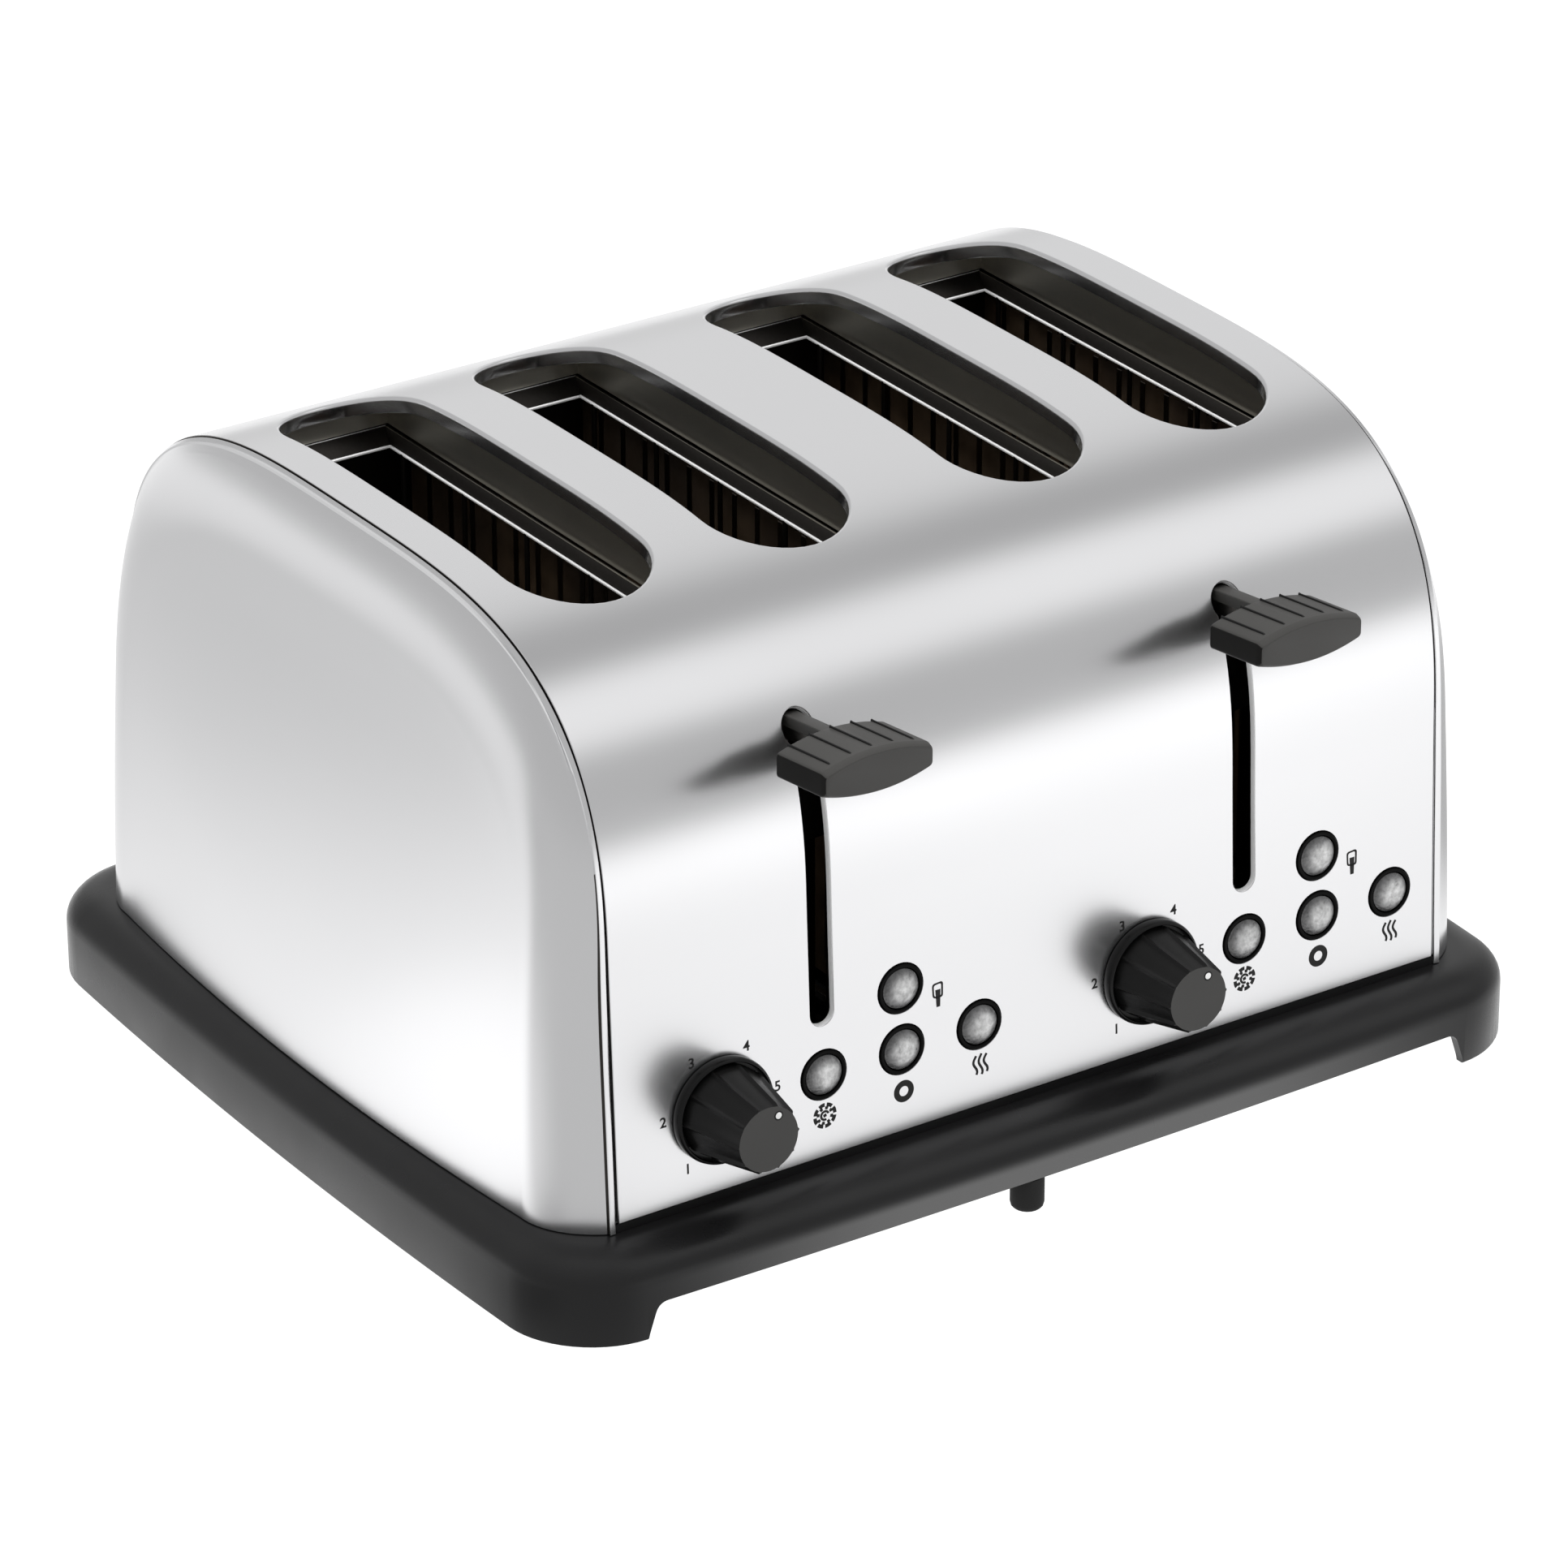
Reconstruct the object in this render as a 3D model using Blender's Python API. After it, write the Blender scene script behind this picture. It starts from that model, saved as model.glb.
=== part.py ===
"""A four-slice commercial toaster: two two-slice units under one arched steel body on a plastic base.

Metres, +Z up, +X to the right, the front towards -Y. The origin is under the middle of the whole
toaster, on the surface that it stands on.
"""

import math

import bmesh
import bpy
from mathutils import Matrix

# Clearances
GAP = 0.0003  # between two pieces that touch
SLIDE_GAP = 0.0004  # between a moving piece and its guide
OVERRUN = 0.006  # how far a cutter passes the faces that it cuts
BITE = 0.0005  # how far two shapes of one piece run into each other

# Bread slots, which the units, the body and the base are laid out round
SLOT_RIM_LENGTH = 0.158
SLOT_RIM_WIDTH = 0.046
SLOT_RIM_ROLL = 0.0025
SLOT_LIP_DEPTH = 0.005
SLOT_SPACING = 0.0181
UNIT_SPACING = 0.0227

# Bread cages
FUNNEL_MARGIN = 0.001
FUNNEL_HEIGHT = 0.004
FUNNEL_SHEET = 0.001
GUARD_INSET = 0.004
GUARD_END_INSET = 0.012
GUARD_WIRES = 5
GUARD_WIRE_INSET = 0.007
WIRE = 0.0015
RAIL_WIDTH = 0.002
RAIL_HEIGHT = 0.0024
RAIL_LIFT = 0.0011

# Heater boards
HEATER_CLEARANCE = 0.00515
HEATER_THICKNESS = 0.0012
HEATER_LIFT = 0.005
HEATER_DROP = 0.0058
HEATER_NOTCH = 0.003
HEATER_NOTCHES = 6

# End plates and the walls under the slots
CHASSIS_EDGE = 0.0018
CHASSIS_END_MARGIN = 0.0013
CHASSIS_SHEET = 0.001
CHASSIS_DROP = 0.0179
CHASSIS_FLANGE = 0.0145
SLIT_WIDTH = 0.0044
ROD_TAB_WIDTH = 0.016
ROD_TAB_CLEARANCE = 0.0062
FRAME_HOLE_MARGIN = 0.0005
FRAME_WALL = 0.0013
FRAME_SEAT = 0.0006

# Arched steel body
SHEET = 0.001
BODY_SIDE_SPACE = 0.00715
BODY_END_SPACE = 0.0519
BODY_TAPER = 0.0031
BODY_RISE = 0.1647
ARCH_HEIGHT = 0.0914
ARCH_DEPTH_POWER = 3.543
ARCH_HEIGHT_POWER = 2.7073
SEAM = 0.0009
CAP_EDGE_DEPTH = 0.0165
CAP_TOP_EDGE_DEPTH = 0.0062
CAP_BOW = 0.0054
CAP_EDGE_SHARE = 0.17
CAP_START_ANGLE = 60
CAP_FLANGE_WIDTH = 0.006
CAP_FLANGE_ROOT = 0.004

# Base plinth
BASE_SIDE_MARGIN = 0.0269
BASE_FRONT_MARGIN = 0.0144
BASE_SIDE_BOW = 0.0046
BASE_FRONT_BOW = 0.0028
BASE_CORNER = 0.0258
BASE_LEAST_CORNER = 0.006
BASE_HEIGHT = 0.0255
BASE_SHOULDER_START = 0.0165
BASE_SHOULDER_WIDTH = 0.012
BASE_WALL = 0.003
DECK_THICKNESS = 0.0025
FOOT_LENGTH = 0.0342
FOOT_DRAFT = 0.0036
FOOT_FILLET = 0.003
CUTOUT_HEIGHT = 0.0106
CURB_HEIGHT = 0.0025
CURB_THICKNESS = 0.002
CURB_INSET = 0.0005
CRUMB_HOLE_INSET = 0.006
CRUMB_HOLE_END_INSET = 0.003
BOSS_RADIUS = 0.004
BOSS_SIDE_SETBACK = 0.0045
BOSS_FRONT_SETBACK = 0.0273

# Bottom plate, crumb trays, foot and cord gland
PLATE_BOTTOM = 0.0107
PLATE_THICKNESS = 0.001
PLATE_SIDE_MARGIN = 0.0104
PLATE_END_MARGIN = 0.0118
TRAY_MARGIN = 0.003
TRAY_HEIGHT = 0.0055
TRAY_FRONT_MARGIN = 0.004
TRAY_SHEET = 0.001
TRAY_FACE_THICKNESS = 0.0024
TRAY_FACE_PROUD = 0.0002
PULL_WIDTH = 0.036
PULL_DEPTH = 0.0045
PULL_THICKNESS = 0.0025
FOOT_X = -0.0126
FOOT_SETBACK = 0.002
FOOT_RADIUS = 0.00485
FOOT_ROUNDING = 0.0018
FOOT_STEM_RADIUS = 0.002
FOOT_STEM_SETBACK = 0.0008
GLAND_HEIGHT = 0.0092
GLAND_RADIUS = 0.0049
GLAND_BORE = 0.0036
GLAND_FLANGE_RADIUS = 0.0065
GLAND_FLANGE_THICKNESS = 0.002
GLAND_REACH = 0.005
GLAND_TIP_RADIUS = 0.0055

# Lifting gear: carriage, racks, rod, spring and electromagnet
RACK_DEPTH = 0.0558
RACK_SIDE_CLEARANCE = 0.01
RACK_BAR_THICKNESS = 0.002
RACK_BAR_HEIGHT = 0.0075
RACK_BAR_PROUD = 0.0067
RACK_RAIL_CLEARANCE = 0.0015
RACK_FINGERS = 6
RACK_FINGER_INSET = 0.003
RACK_FINGER_WIDTH = 0.003
RACK_FINGER_THICKNESS = 0.0015
RACK_TAB_WIDTH = 0.008
RACK_TAB_THICKNESS = 0.001
ROD_RADIUS = 0.0025
ROD_CLEARANCE = 0.00035
ROD_SETBACK = 0.0097
ROD_PROUD = 0.0058
SLEEVE_RADIUS = 0.005
SLEEVE_RISE = 0.004
SLEEVE_LENGTH = 0.014
CARRIAGE_SHEET = 0.0015
CARRIAGE_BITE = 0.0006
CROSSBAR_MARGIN = 0.00595
CROSSBAR_DROP = 0.0105
CROSSBAR_RISE = 0.0075
TONGUE_WIDTH = 0.018
TONGUE_RISE = 0.001
ARMATURE_RISE = 0.0048
ARMATURE_THICKNESS = 0.002
MAGNET_X = -0.02
MAGNET_WIDTH = 0.016
MAGNET_DEPTH = 0.0125
MAGNET_HEIGHT = 0.0195
MAGNET_PLATE = 0.0018
MAGNET_CLEARANCE = 0.0005
COIL_RADIUS = 0.0051
SPRING_WIRE = 0.0009
SPRING_CLEARANCE = 0.0005
LEVER_BAR_THICKNESS = 0.002
LEVER_BAR_HEIGHT = 0.004
LEVER_BAR_REACH = 0.012
GUSSET_SETBACK = 0.0179
GUSSET_DROP = 0.018

# Lever slots and handles
LEVER_SLOT_WIDTH = 0.0076
LEVER_SLOT_SPARE = 0.0071
KEYHOLE_DROP = 0.0372
KEYHOLE_RADIUS = 0.0048
LEVER_TILT = math.radians(6.8)
HANDLE_WIDTH = 0.0348
HANDLE_HEIGHT = 0.013
HANDLE_END_HEIGHT = 0.0069
HANDLE_DEPTH = 0.0232
HANDLE_DROP = 0.0003
HANDLE_CLEARANCE = 0.0042
HANDLE_BEVEL = 0.0022
HANDLE_BEVEL_DROP = 0.0009
HANDLE_SIDE_INSET = 0.0003
ARM_RISE = 0.0053
ARM_WIDTH = 0.0046
ARM_THICKNESS = 0.0035
ARM_LENGTH = 0.0205

# Control panels, measured on the leaning front
CONTROL_RISE = 0.0276
KNOB_X = -0.0335
BUTTON_RISE = 0.0185
KNOB_RADIUS = 0.0138
KNOB_FACE_RADIUS = 0.0102
KNOB_LENGTH = 0.0234
KNOB_FLUTES = 10
KNOB_FLUTE_DEPTH = 0.0007
KNOB_EDGE = 0.0007
SHAFT_RADIUS = 0.003
SHAFT_LENGTH = 0.016
COLLAR_RADIUS = 0.016
COLLAR_HEIGHT = 0.0034
COLLAR_FLOOR = 0.001
COLLAR_LIP = 0.0012
BUSHING_RADIUS = 0.004
COLLAR_HOLE_RADIUS = 0.0046
BUTTON_RADIUS = 0.00585
BUTTON_DOME = 0.0016
BUTTON_TRAVEL = 0.002
BUTTON_FLANGE_RADIUS = 0.007
BUTTON_FLANGE_THICKNESS = 0.001
BUTTON_STEM_RADIUS = 0.002
BUTTON_CLEARANCE = 0.00035
RING_RADIUS = 0.0077
RING_PROUD = 0.0003
BEZEL_THICKNESS = 0.002
BEZEL_MARGIN = 0.009
BEZEL_SIDE_CLEARANCE = 0.00055
POST_RADIUS = 0.0018
BOARD_DEPTH = 0.011
BOARD_THICKNESS = 0.0016
BOARD_MARGIN = 0.009
BOARD_DROP = 0.013
SWITCH_WIDTH = 0.006
SWITCH_HEIGHT = 0.0035
RELAY_WIDTH = 0.015
RELAY_HEIGHT = 0.016
RELAY_DEPTH = 0.01
POT_RADIUS = 0.008
POT_DEPTH = 0.0075

# Smoothness of the curved shapes
ARCH_STEPS = 12
CAP_EDGE_STEPS = 4
CAP_FACE_STEPS = 3
CORNER_STEPS = 4
SIDE_STEPS = 4
SHOULDER_STEPS = 3
SLOT_STEPS = 6
FILLET_STEPS = 3
LENS_STEPS = 8
ROUND_STEPS = 20
SMALL_ROUND_STEPS = 12
SMOOTH_ANGLE = math.radians(32)
DOME_SHARES = (0, 0.7)

SIDES = (("left", -1), ("right", 1))

# Colour, roughness and metallic value of each finish
FINISHES = {
    "satin_steel": ((0.62, 0.62, 0.63, 1), 0.28, 1),
    "bright_steel": ((0.7, 0.7, 0.7, 1), 0.2, 1),
    "dark_steel": ((0.18, 0.17, 0.16, 1), 0.45, 1),
    "base_plastic": ((0.035, 0.035, 0.037, 1), 0.42, 0),
    "black_plastic": ((0.012, 0.012, 0.013, 1), 0.3, 0),
    "handle_plastic": ((0.05, 0.048, 0.045, 1), 0.5, 0),
    "lens_plastic": ((0.35, 0.35, 0.35, 1), 0.15, 0),
    "mica": ((0.2, 0.15, 0.1, 1), 0.6, 0),
    "board_green": ((0.03, 0.1, 0.04, 1), 0.5, 0),
    "copper": ((0.6, 0.25, 0.12, 1), 0.35, 1),
    "rubber": ((0.01, 0.01, 0.01, 1), 0.7, 0),
}

# Widths, from the bread slots outwards
RIM_INSIDE_WIDTH = SLOT_RIM_WIDTH - 2 * SLOT_RIM_ROLL
FUNNEL_TOP_WIDTH = SLOT_RIM_WIDTH + FUNNEL_MARGIN
FRAME_HOLE_WIDTH = FUNNEL_TOP_WIDTH + 2 * FRAME_HOLE_MARGIN
GUARD_WIDTH = SLOT_RIM_WIDTH - GUARD_INSET
RACK_WIDTH = GUARD_WIDTH - 2 * RACK_SIDE_CLEARANCE
SLOT_OFFSET = (SLOT_RIM_WIDTH + SLOT_SPACING) / 2
HEATER_OFFSET = SLOT_OFFSET + GUARD_WIDTH / 2 + HEATER_CLEARANCE
CROSSBAR_WIDTH = 2 * (SLOT_OFFSET + CROSSBAR_MARGIN)
CHASSIS_WIDTH = 2 * (HEATER_OFFSET + CHASSIS_EDGE)
CRUMB_HOLE_WIDTH = CHASSIS_WIDTH - 2 * CRUMB_HOLE_INSET
TRAY_WIDTH = CRUMB_HOLE_WIDTH + 2 * TRAY_MARGIN
UNIT_X = (CHASSIS_WIDTH + UNIT_SPACING) / 2
BODY_WIDTH = 2 * UNIT_X + CHASSIS_WIDTH + 2 * BODY_SIDE_SPACE
BASE_WIDTH = BODY_WIDTH + 2 * BASE_SIDE_MARGIN
PLATE_WIDTH = BASE_WIDTH - 2 * PLATE_SIDE_MARGIN
BOSS_SIDE_X = BODY_WIDTH / 2 + BOSS_SIDE_SETBACK
BEZEL_END = BODY_WIDTH / 2 - CAP_FLANGE_WIDTH - BEZEL_SIDE_CLEARANCE - UNIT_X
BUTTON_PITCH = (BEZEL_END - BEZEL_MARGIN) / 2

# Depths, from the bread slots outwards
RIM_INSIDE_LENGTH = SLOT_RIM_LENGTH - 2 * SLOT_RIM_ROLL
GUARD_LENGTH = SLOT_RIM_LENGTH - GUARD_END_INSET
GUARD_WIRE_SPAN = GUARD_LENGTH - 2 * GUARD_WIRE_INSET
RACK_FINGER_SPAN = GUARD_WIRE_SPAN - 2 * RACK_FINGER_INSET
CRUMB_HOLE_DEPTH = SLOT_RIM_LENGTH - 2 * CRUMB_HOLE_END_INSET
TRAY_FRONT_Y = -(CRUMB_HOLE_DEPTH / 2 + TRAY_FRONT_MARGIN)
CHASSIS_INSIDE = SLOT_RIM_LENGTH + 2 * CHASSIS_END_MARGIN
CHASSIS_OUTSIDE_Y = CHASSIS_INSIDE / 2 + CHASSIS_SHEET
RACK_BAR_REAR_Y = CHASSIS_OUTSIDE_Y + RACK_BAR_PROUD
ROD_Y = -(CHASSIS_OUTSIDE_Y + ROD_SETBACK)
CARRIAGE_REAR_Y = ROD_Y - SLEEVE_RADIUS + CARRIAGE_BITE
CARRIAGE_FRONT_Y = CARRIAGE_REAR_Y - CARRIAGE_SHEET
BODY_DEPTH = SLOT_RIM_LENGTH + 2 * BODY_END_SPACE
BODY_ARCH_DEPTH = BODY_DEPTH - 2 * BODY_TAPER
GUSSET_Y = -(BODY_DEPTH / 2 - GUSSET_SETBACK)
BASE_DEPTH = BODY_DEPTH + 2 * BASE_FRONT_MARGIN
PLATE_DEPTH = BASE_DEPTH - 2 * PLATE_END_MARGIN
BOSS_Y = BASE_DEPTH / 2 - BOSS_FRONT_SETBACK
FOOT_Y = -(BASE_DEPTH / 2 - FOOT_SETBACK)

# Heights, from the table up and from the top of the body down
BODY_HEIGHT = BASE_HEIGHT + BODY_RISE
ARCH_START = BODY_HEIGHT - ARCH_HEIGHT
CONTROL_HEIGHT = BASE_HEIGHT + CONTROL_RISE
DECK_BOTTOM = BASE_HEIGHT - DECK_THICKNESS
BODY_BOTTOM = BASE_HEIGHT + GAP
WRAP_BOTTOM = BASE_HEIGHT + CURB_HEIGHT + GAP
TRAY_BOTTOM = PLATE_BOTTOM + PLATE_THICKNESS + GAP
RAIL_BOTTOM = BASE_HEIGHT + RAIL_LIFT
RAIL_TOP = RAIL_BOTTOM + RAIL_HEIGHT
HEATER_BOTTOM = BASE_HEIGHT + HEATER_LIFT
CHASSIS_TOP = BODY_HEIGHT - CHASSIS_DROP
HEATER_TOP = CHASSIS_TOP - HEATER_DROP
RACK_TOP = CHASSIS_TOP - RACK_DEPTH
RACK_BAR_TOP = RACK_TOP - RACK_FINGER_THICKNESS / 3
TRAVEL = RACK_BAR_TOP - RACK_BAR_HEIGHT - RACK_RAIL_CLEARANCE - RAIL_TOP
KEYHOLE_HEIGHT = BODY_HEIGHT - KEYHOLE_DROP
LEVER_SLOT_BOTTOM = KEYHOLE_HEIGHT - TRAVEL - LEVER_SLOT_SPARE
HANDLE_CENTRE = KEYHOLE_HEIGHT - HANDLE_DROP
ARM_TOP = KEYHOLE_HEIGHT + ARM_RISE
CROSSBAR_BOTTOM = RACK_TOP - CROSSBAR_DROP
CROSSBAR_TOP = RACK_TOP + CROSSBAR_RISE
SLEEVE_BOTTOM = CROSSBAR_TOP + SLEEVE_RISE
SLEEVE_TOP = SLEEVE_BOTTOM + SLEEVE_LENGTH
ARMATURE_BOTTOM = CROSSBAR_TOP + ARMATURE_RISE
TONGUE_TOP = KEYHOLE_HEIGHT + TONGUE_RISE
ROD_TAB_HEIGHT = TONGUE_TOP + ROD_TAB_CLEARANCE
ROD_TOP = ROD_TAB_HEIGHT + ROD_PROUD

# The lean of the lower front, and depths behind it
LEAN = math.atan2(BODY_TAPER, ARCH_START - BASE_HEIGHT)
PANEL_BACK = -SHEET - GAP
BEZEL_BACK = PANEL_BACK - BEZEL_THICKNESS

# Each button's name and its place in its group: to the right, and up the panel
BUTTONS = (
    ("defrost", 0, 0),
    ("cancel", BUTTON_PITCH, 0),
    ("reheat", 2 * BUTTON_PITCH, 0),
    ("bagel", BUTTON_PITCH, BUTTON_RISE),
)


def front_face(height):
    """How far the leaning lower front stands from the middle at a height."""
    return BODY_DEPTH / 2 - (height - BASE_HEIGHT) * math.tan(LEAN)


HANDLE_REAR_Y = -(front_face(KEYHOLE_HEIGHT - TRAVEL) + HANDLE_CLEARANCE)
FRONT_REACH = HANDLE_DEPTH - HANDLE_REAR_Y
REAR_REACH = BASE_DEPTH / 2 + BASE_FRONT_BOW + GLAND_REACH


def clear_scene():
    for item in list(bpy.data.objects):
        bpy.data.objects.remove(item, do_unlink=True)


# Outlines, as lists of points in a plane


def arc(centre, radius, start, end, steps):
    """Points on a circle from one angle to another, both in degrees."""
    angles = [math.radians(start + (end - start) * step / steps) for step in range(steps + 1)]
    return [(centre[0] + radius * math.cos(a), centre[1] + radius * math.sin(a)) for a in angles]


def rectangle(width, length):
    return [
        (-width / 2, -length / 2),
        (width / 2, -length / 2),
        (width / 2, length / 2),
        (-width / 2, length / 2),
    ]


def stadium(width, length, steps=SLOT_STEPS):
    """An oblong with half-round ends, along the second axis."""
    reach = (length - width) / 2
    return arc((0, reach), width / 2, 0, 180, steps) + arc((0, -reach), width / 2, 180, 360, steps)


def shifted(outline, first, second=0):
    return [(u + first, v + second) for u, v in outline]


def rounded(corners, radius, steps=FILLET_STEPS):
    """The polygon with each corner turned into an arc, as smooth curves through the corner."""
    outline = []
    for index, corner in enumerate(corners):
        before = corners[index - 1]
        after = corners[(index + 1) % len(corners)]
        ends = []
        for other in (before, after):
            away = (other[0] - corner[0], other[1] - corner[1])
            share = min(radius / math.hypot(*away), 0.5)
            ends.append((corner[0] + away[0] * share, corner[1] + away[1] * share))
        for step in range(steps + 1):
            t = step / steps
            weights = ((1 - t) ** 2, 2 * t * (1 - t), t**2)
            shape = (ends[0], corner, ends[1])
            outline.append(tuple(sum(w * p[k] for w, p in zip(weights, shape)) for k in (0, 1)))
    return outline


def base_outline(inset):
    """The base seen from above: a rounded oblong with gently bowed sides, moved inwards."""
    half_width = BASE_WIDTH / 2 - inset
    half_depth = BASE_DEPTH / 2 - inset
    corner = max(BASE_CORNER - inset, BASE_LEAST_CORNER)
    plain = []
    for turn, (side_x, side_y) in enumerate(((1, 1), (-1, 1), (-1, -1), (1, -1))):
        centre = (side_x * (half_width - corner), side_y * (half_depth - corner))
        plain += arc(centre, corner, 90 * turn, 90 * turn + 90, CORNER_STEPS)
        start = plain[-1]
        along_x = turn % 2 == 0
        end = (-start[0], start[1]) if along_x else (start[0], -start[1])
        for step in range(1, SIDE_STEPS):
            share = step / SIDE_STEPS
            plain.append(tuple(a + (b - a) * share for a, b in zip(start, end)))
    bowed = []
    for x, y in plain:
        side = BASE_SIDE_BOW * max(1 - (y / half_depth) ** 2, 0) * (x / half_width) ** 2
        front = BASE_FRONT_BOW * max(1 - (x / half_width) ** 2, 0) * (y / half_depth) ** 2
        bowed.append((x + math.copysign(side, x), y + math.copysign(front, y)))
    return bowed


def arch(inset, bottom):
    """The body's section as (y, z), from the front foot over the top to the rear foot."""
    half_depth = BODY_ARCH_DEPTH / 2
    front = [(front_face(bottom) - inset / math.cos(LEAN), bottom)]
    for step in range(ARCH_STEPS + 1):
        turn = math.pi / 2 * step / ARCH_STEPS
        across = max(math.cos(turn), 0) ** (2 / ARCH_DEPTH_POWER)
        up = math.sin(turn) ** (2 / ARCH_HEIGHT_POWER)
        steep_y = ARCH_DEPTH_POWER / half_depth * across ** (ARCH_DEPTH_POWER - 1)
        steep_z = ARCH_HEIGHT_POWER / ARCH_HEIGHT * up ** (ARCH_HEIGHT_POWER - 1)
        if step == 0:
            steep_z = steep_y * math.tan(LEAN)
        size = math.hypot(steep_y, steep_z)
        y = half_depth * across - inset * steep_y / size
        z = ARCH_START + ARCH_HEIGHT * up - inset * steep_z / size
        front.append((y if step < ARCH_STEPS else 0, z))
    rear = front[-2::-1]
    return [(-y, z) for y, z in front] + rear


def keyhole():
    """A lever slot as (x, z): half round below, with a wider round hole at its top."""
    half = LEVER_SLOT_WIDTH / 2
    bottom = arc((0, LEVER_SLOT_BOTTOM + half), half, 180, 360, SLOT_STEPS)
    open_angle = math.degrees(math.asin(half / KEYHOLE_RADIUS))
    top = arc((0, KEYHOLE_HEIGHT), KEYHOLE_RADIUS, open_angle - 90, 270 - open_angle, 2 * SLOT_STEPS)
    return bottom + top


def lens(inset, drop):
    """A lever handle's section as (x, z): curved above and below, cut off at its ends."""
    half_width = HANDLE_WIDTH / 2 - inset
    end = HANDLE_END_HEIGHT / 2
    crown = (HANDLE_HEIGHT - HANDLE_END_HEIGHT) / 2
    upper = []
    for step in range(LENS_STEPS + 1):
        across = 1 - 2 * step / LENS_STEPS
        upper.append((half_width * across, end + crown * (1 - across**2)))
    return [(x, z - drop) for x, z in upper] + [(-x, -z) for x, z in upper]


def lever_rise(y):
    """How much higher the tilted lever is at y than at the back of its handle."""
    return (HANDLE_REAR_Y - y) * math.tan(LEVER_TILT)


def along_lever(top, height, rear, front):
    """A bar along the lever as (y, z), from its top's height at the back of the handle."""
    lower = [(y, top - height + lever_rise(y)) for y in (front, rear)]
    return lower + [(y, top + lever_rise(y)) for y in (rear, front)]


def t_outline(left, right, bottom, top, stem_half, stem_top):
    """The T shape of a control group's pieces as (x, up the panel): a row with a stem over one button."""
    return [
        (left, bottom),
        (right, bottom),
        (right, top),
        (BUTTON_PITCH + stem_half, top),
        (BUTTON_PITCH + stem_half, stem_top),
        (BUTTON_PITCH - stem_half, stem_top),
        (BUTTON_PITCH - stem_half, top),
        (left, top),
    ]


# Meshes


def finish_mesh(mesh):
    bmesh.ops.recalc_face_normals(mesh, faces=mesh.faces)
    return mesh


def bridge(mesh, first, second):
    for index, corner in enumerate(first):
        after = (index + 1) % len(first)
        mesh.faces.new((corner, first[after], second[after], second[index]))


def loft(rings, closed=False):
    """A solid through rings of points: capped at both ends, or closed on itself."""
    mesh = bmesh.new()
    rows = [[mesh.verts.new(point) for point in ring] for ring in rings]
    for low, high in zip(rows, rows[1:]):
        bridge(mesh, low, high)
    if closed:
        bridge(mesh, rows[-1], rows[0])
    else:
        mesh.faces.new(rows[0])
        mesh.faces.new(rows[-1])
    return finish_mesh(mesh)


def prism(outline, low, high, axis="Z"):
    """The outline pushed along an axis; it lies in the other two axes, in X, Y, Z order."""
    place = {
        "X": lambda u, v, h: (h, u, v),
        "Y": lambda u, v, h: (u, h, v),
        "Z": lambda u, v, h: (u, v, h),
    }[axis]
    return loft([[place(u, v, h) for u, v in outline] for h in (low, high)])


def box(low, high):
    corners = [(low[0], low[1]), (high[0], low[1]), (high[0], high[1]), (low[0], high[1])]
    return prism(corners, low[2], high[2])


def turned(profile, steps=ROUND_STEPS, closed=False):
    """A profile of (radius, height) turned about Z. A radius of zero is a point on the axis."""
    mesh = bmesh.new()
    turns = [2 * math.pi * step / steps for step in range(steps)]
    rows = []
    for radius, height in profile:
        if radius == 0:
            rows.append([mesh.verts.new((0, 0, height))])
        else:
            ring = [(radius * math.cos(turn), radius * math.sin(turn), height) for turn in turns]
            rows.append([mesh.verts.new(point) for point in ring])
    pairs = list(zip(rows, rows[1:]))
    if closed:
        pairs.append((rows[-1], rows[0]))
    for low, high in pairs:
        if len(low) > 1 and len(high) > 1:
            bridge(mesh, low, high)
            continue
        point, ring = (low[0], high) if len(low) == 1 else (high[0], low)
        for index, corner in enumerate(ring):
            mesh.faces.new((corner, ring[(index + 1) % steps], point))
    return finish_mesh(mesh)


def cylinder(radius, low, high, steps=SMALL_ROUND_STEPS):
    return turned([(0, low), (radius, low), (radius, high), (0, high)], steps)


def ring(outer, inner, low, high, steps=ROUND_STEPS):
    return turned([(outer, low), (outer, high), (inner, high), (inner, low)], steps, closed=True)


def moved(mesh, x=0, y=0, z=0, matrix=None):
    bmesh.ops.transform(mesh, matrix=matrix or Matrix.Translation((x, y, z)), verts=mesh.verts)
    return mesh


def merged(meshes):
    """Several meshes as one, as the tool of one cut or union."""
    whole = bmesh.new()
    for mesh in meshes:
        part = bpy.data.meshes.new("part")
        mesh.to_mesh(part)
        mesh.free()
        whole.from_mesh(part)
        bpy.data.meshes.remove(part)
    return whole


def combine(target, tool, operation):
    """The target with the tool cut out of it, joined to it or kept in common with it."""
    pair = []
    for name, mesh in (("target", target), ("tool", tool)):
        data = bpy.data.meshes.new(name)
        mesh.to_mesh(data)
        mesh.free()
        pair.append(bpy.data.objects.new(name, data))
        bpy.context.scene.collection.objects.link(pair[-1])
    piece, other = pair
    other.hide_render = True
    other.display_type = "WIRE"
    modifier = piece.modifiers.new(operation, "BOOLEAN")
    modifier.operation = operation
    modifier.solver = "EXACT"
    modifier.object = other
    bpy.context.view_layer.update()
    result = bmesh.new()
    result.from_object(piece, bpy.context.evaluated_depsgraph_get())
    for item in pair:
        data = item.data
        bpy.data.objects.remove(item)
        bpy.data.meshes.remove(data)
    return result


def cut(target, *tools):
    return combine(target, merged(tools), "DIFFERENCE")


def join(target, *tools):
    for tool in tools:
        target = combine(target, tool, "UNION")
    return target


def common(target, tool):
    return combine(target, tool, "INTERSECT")


# Objects


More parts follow.
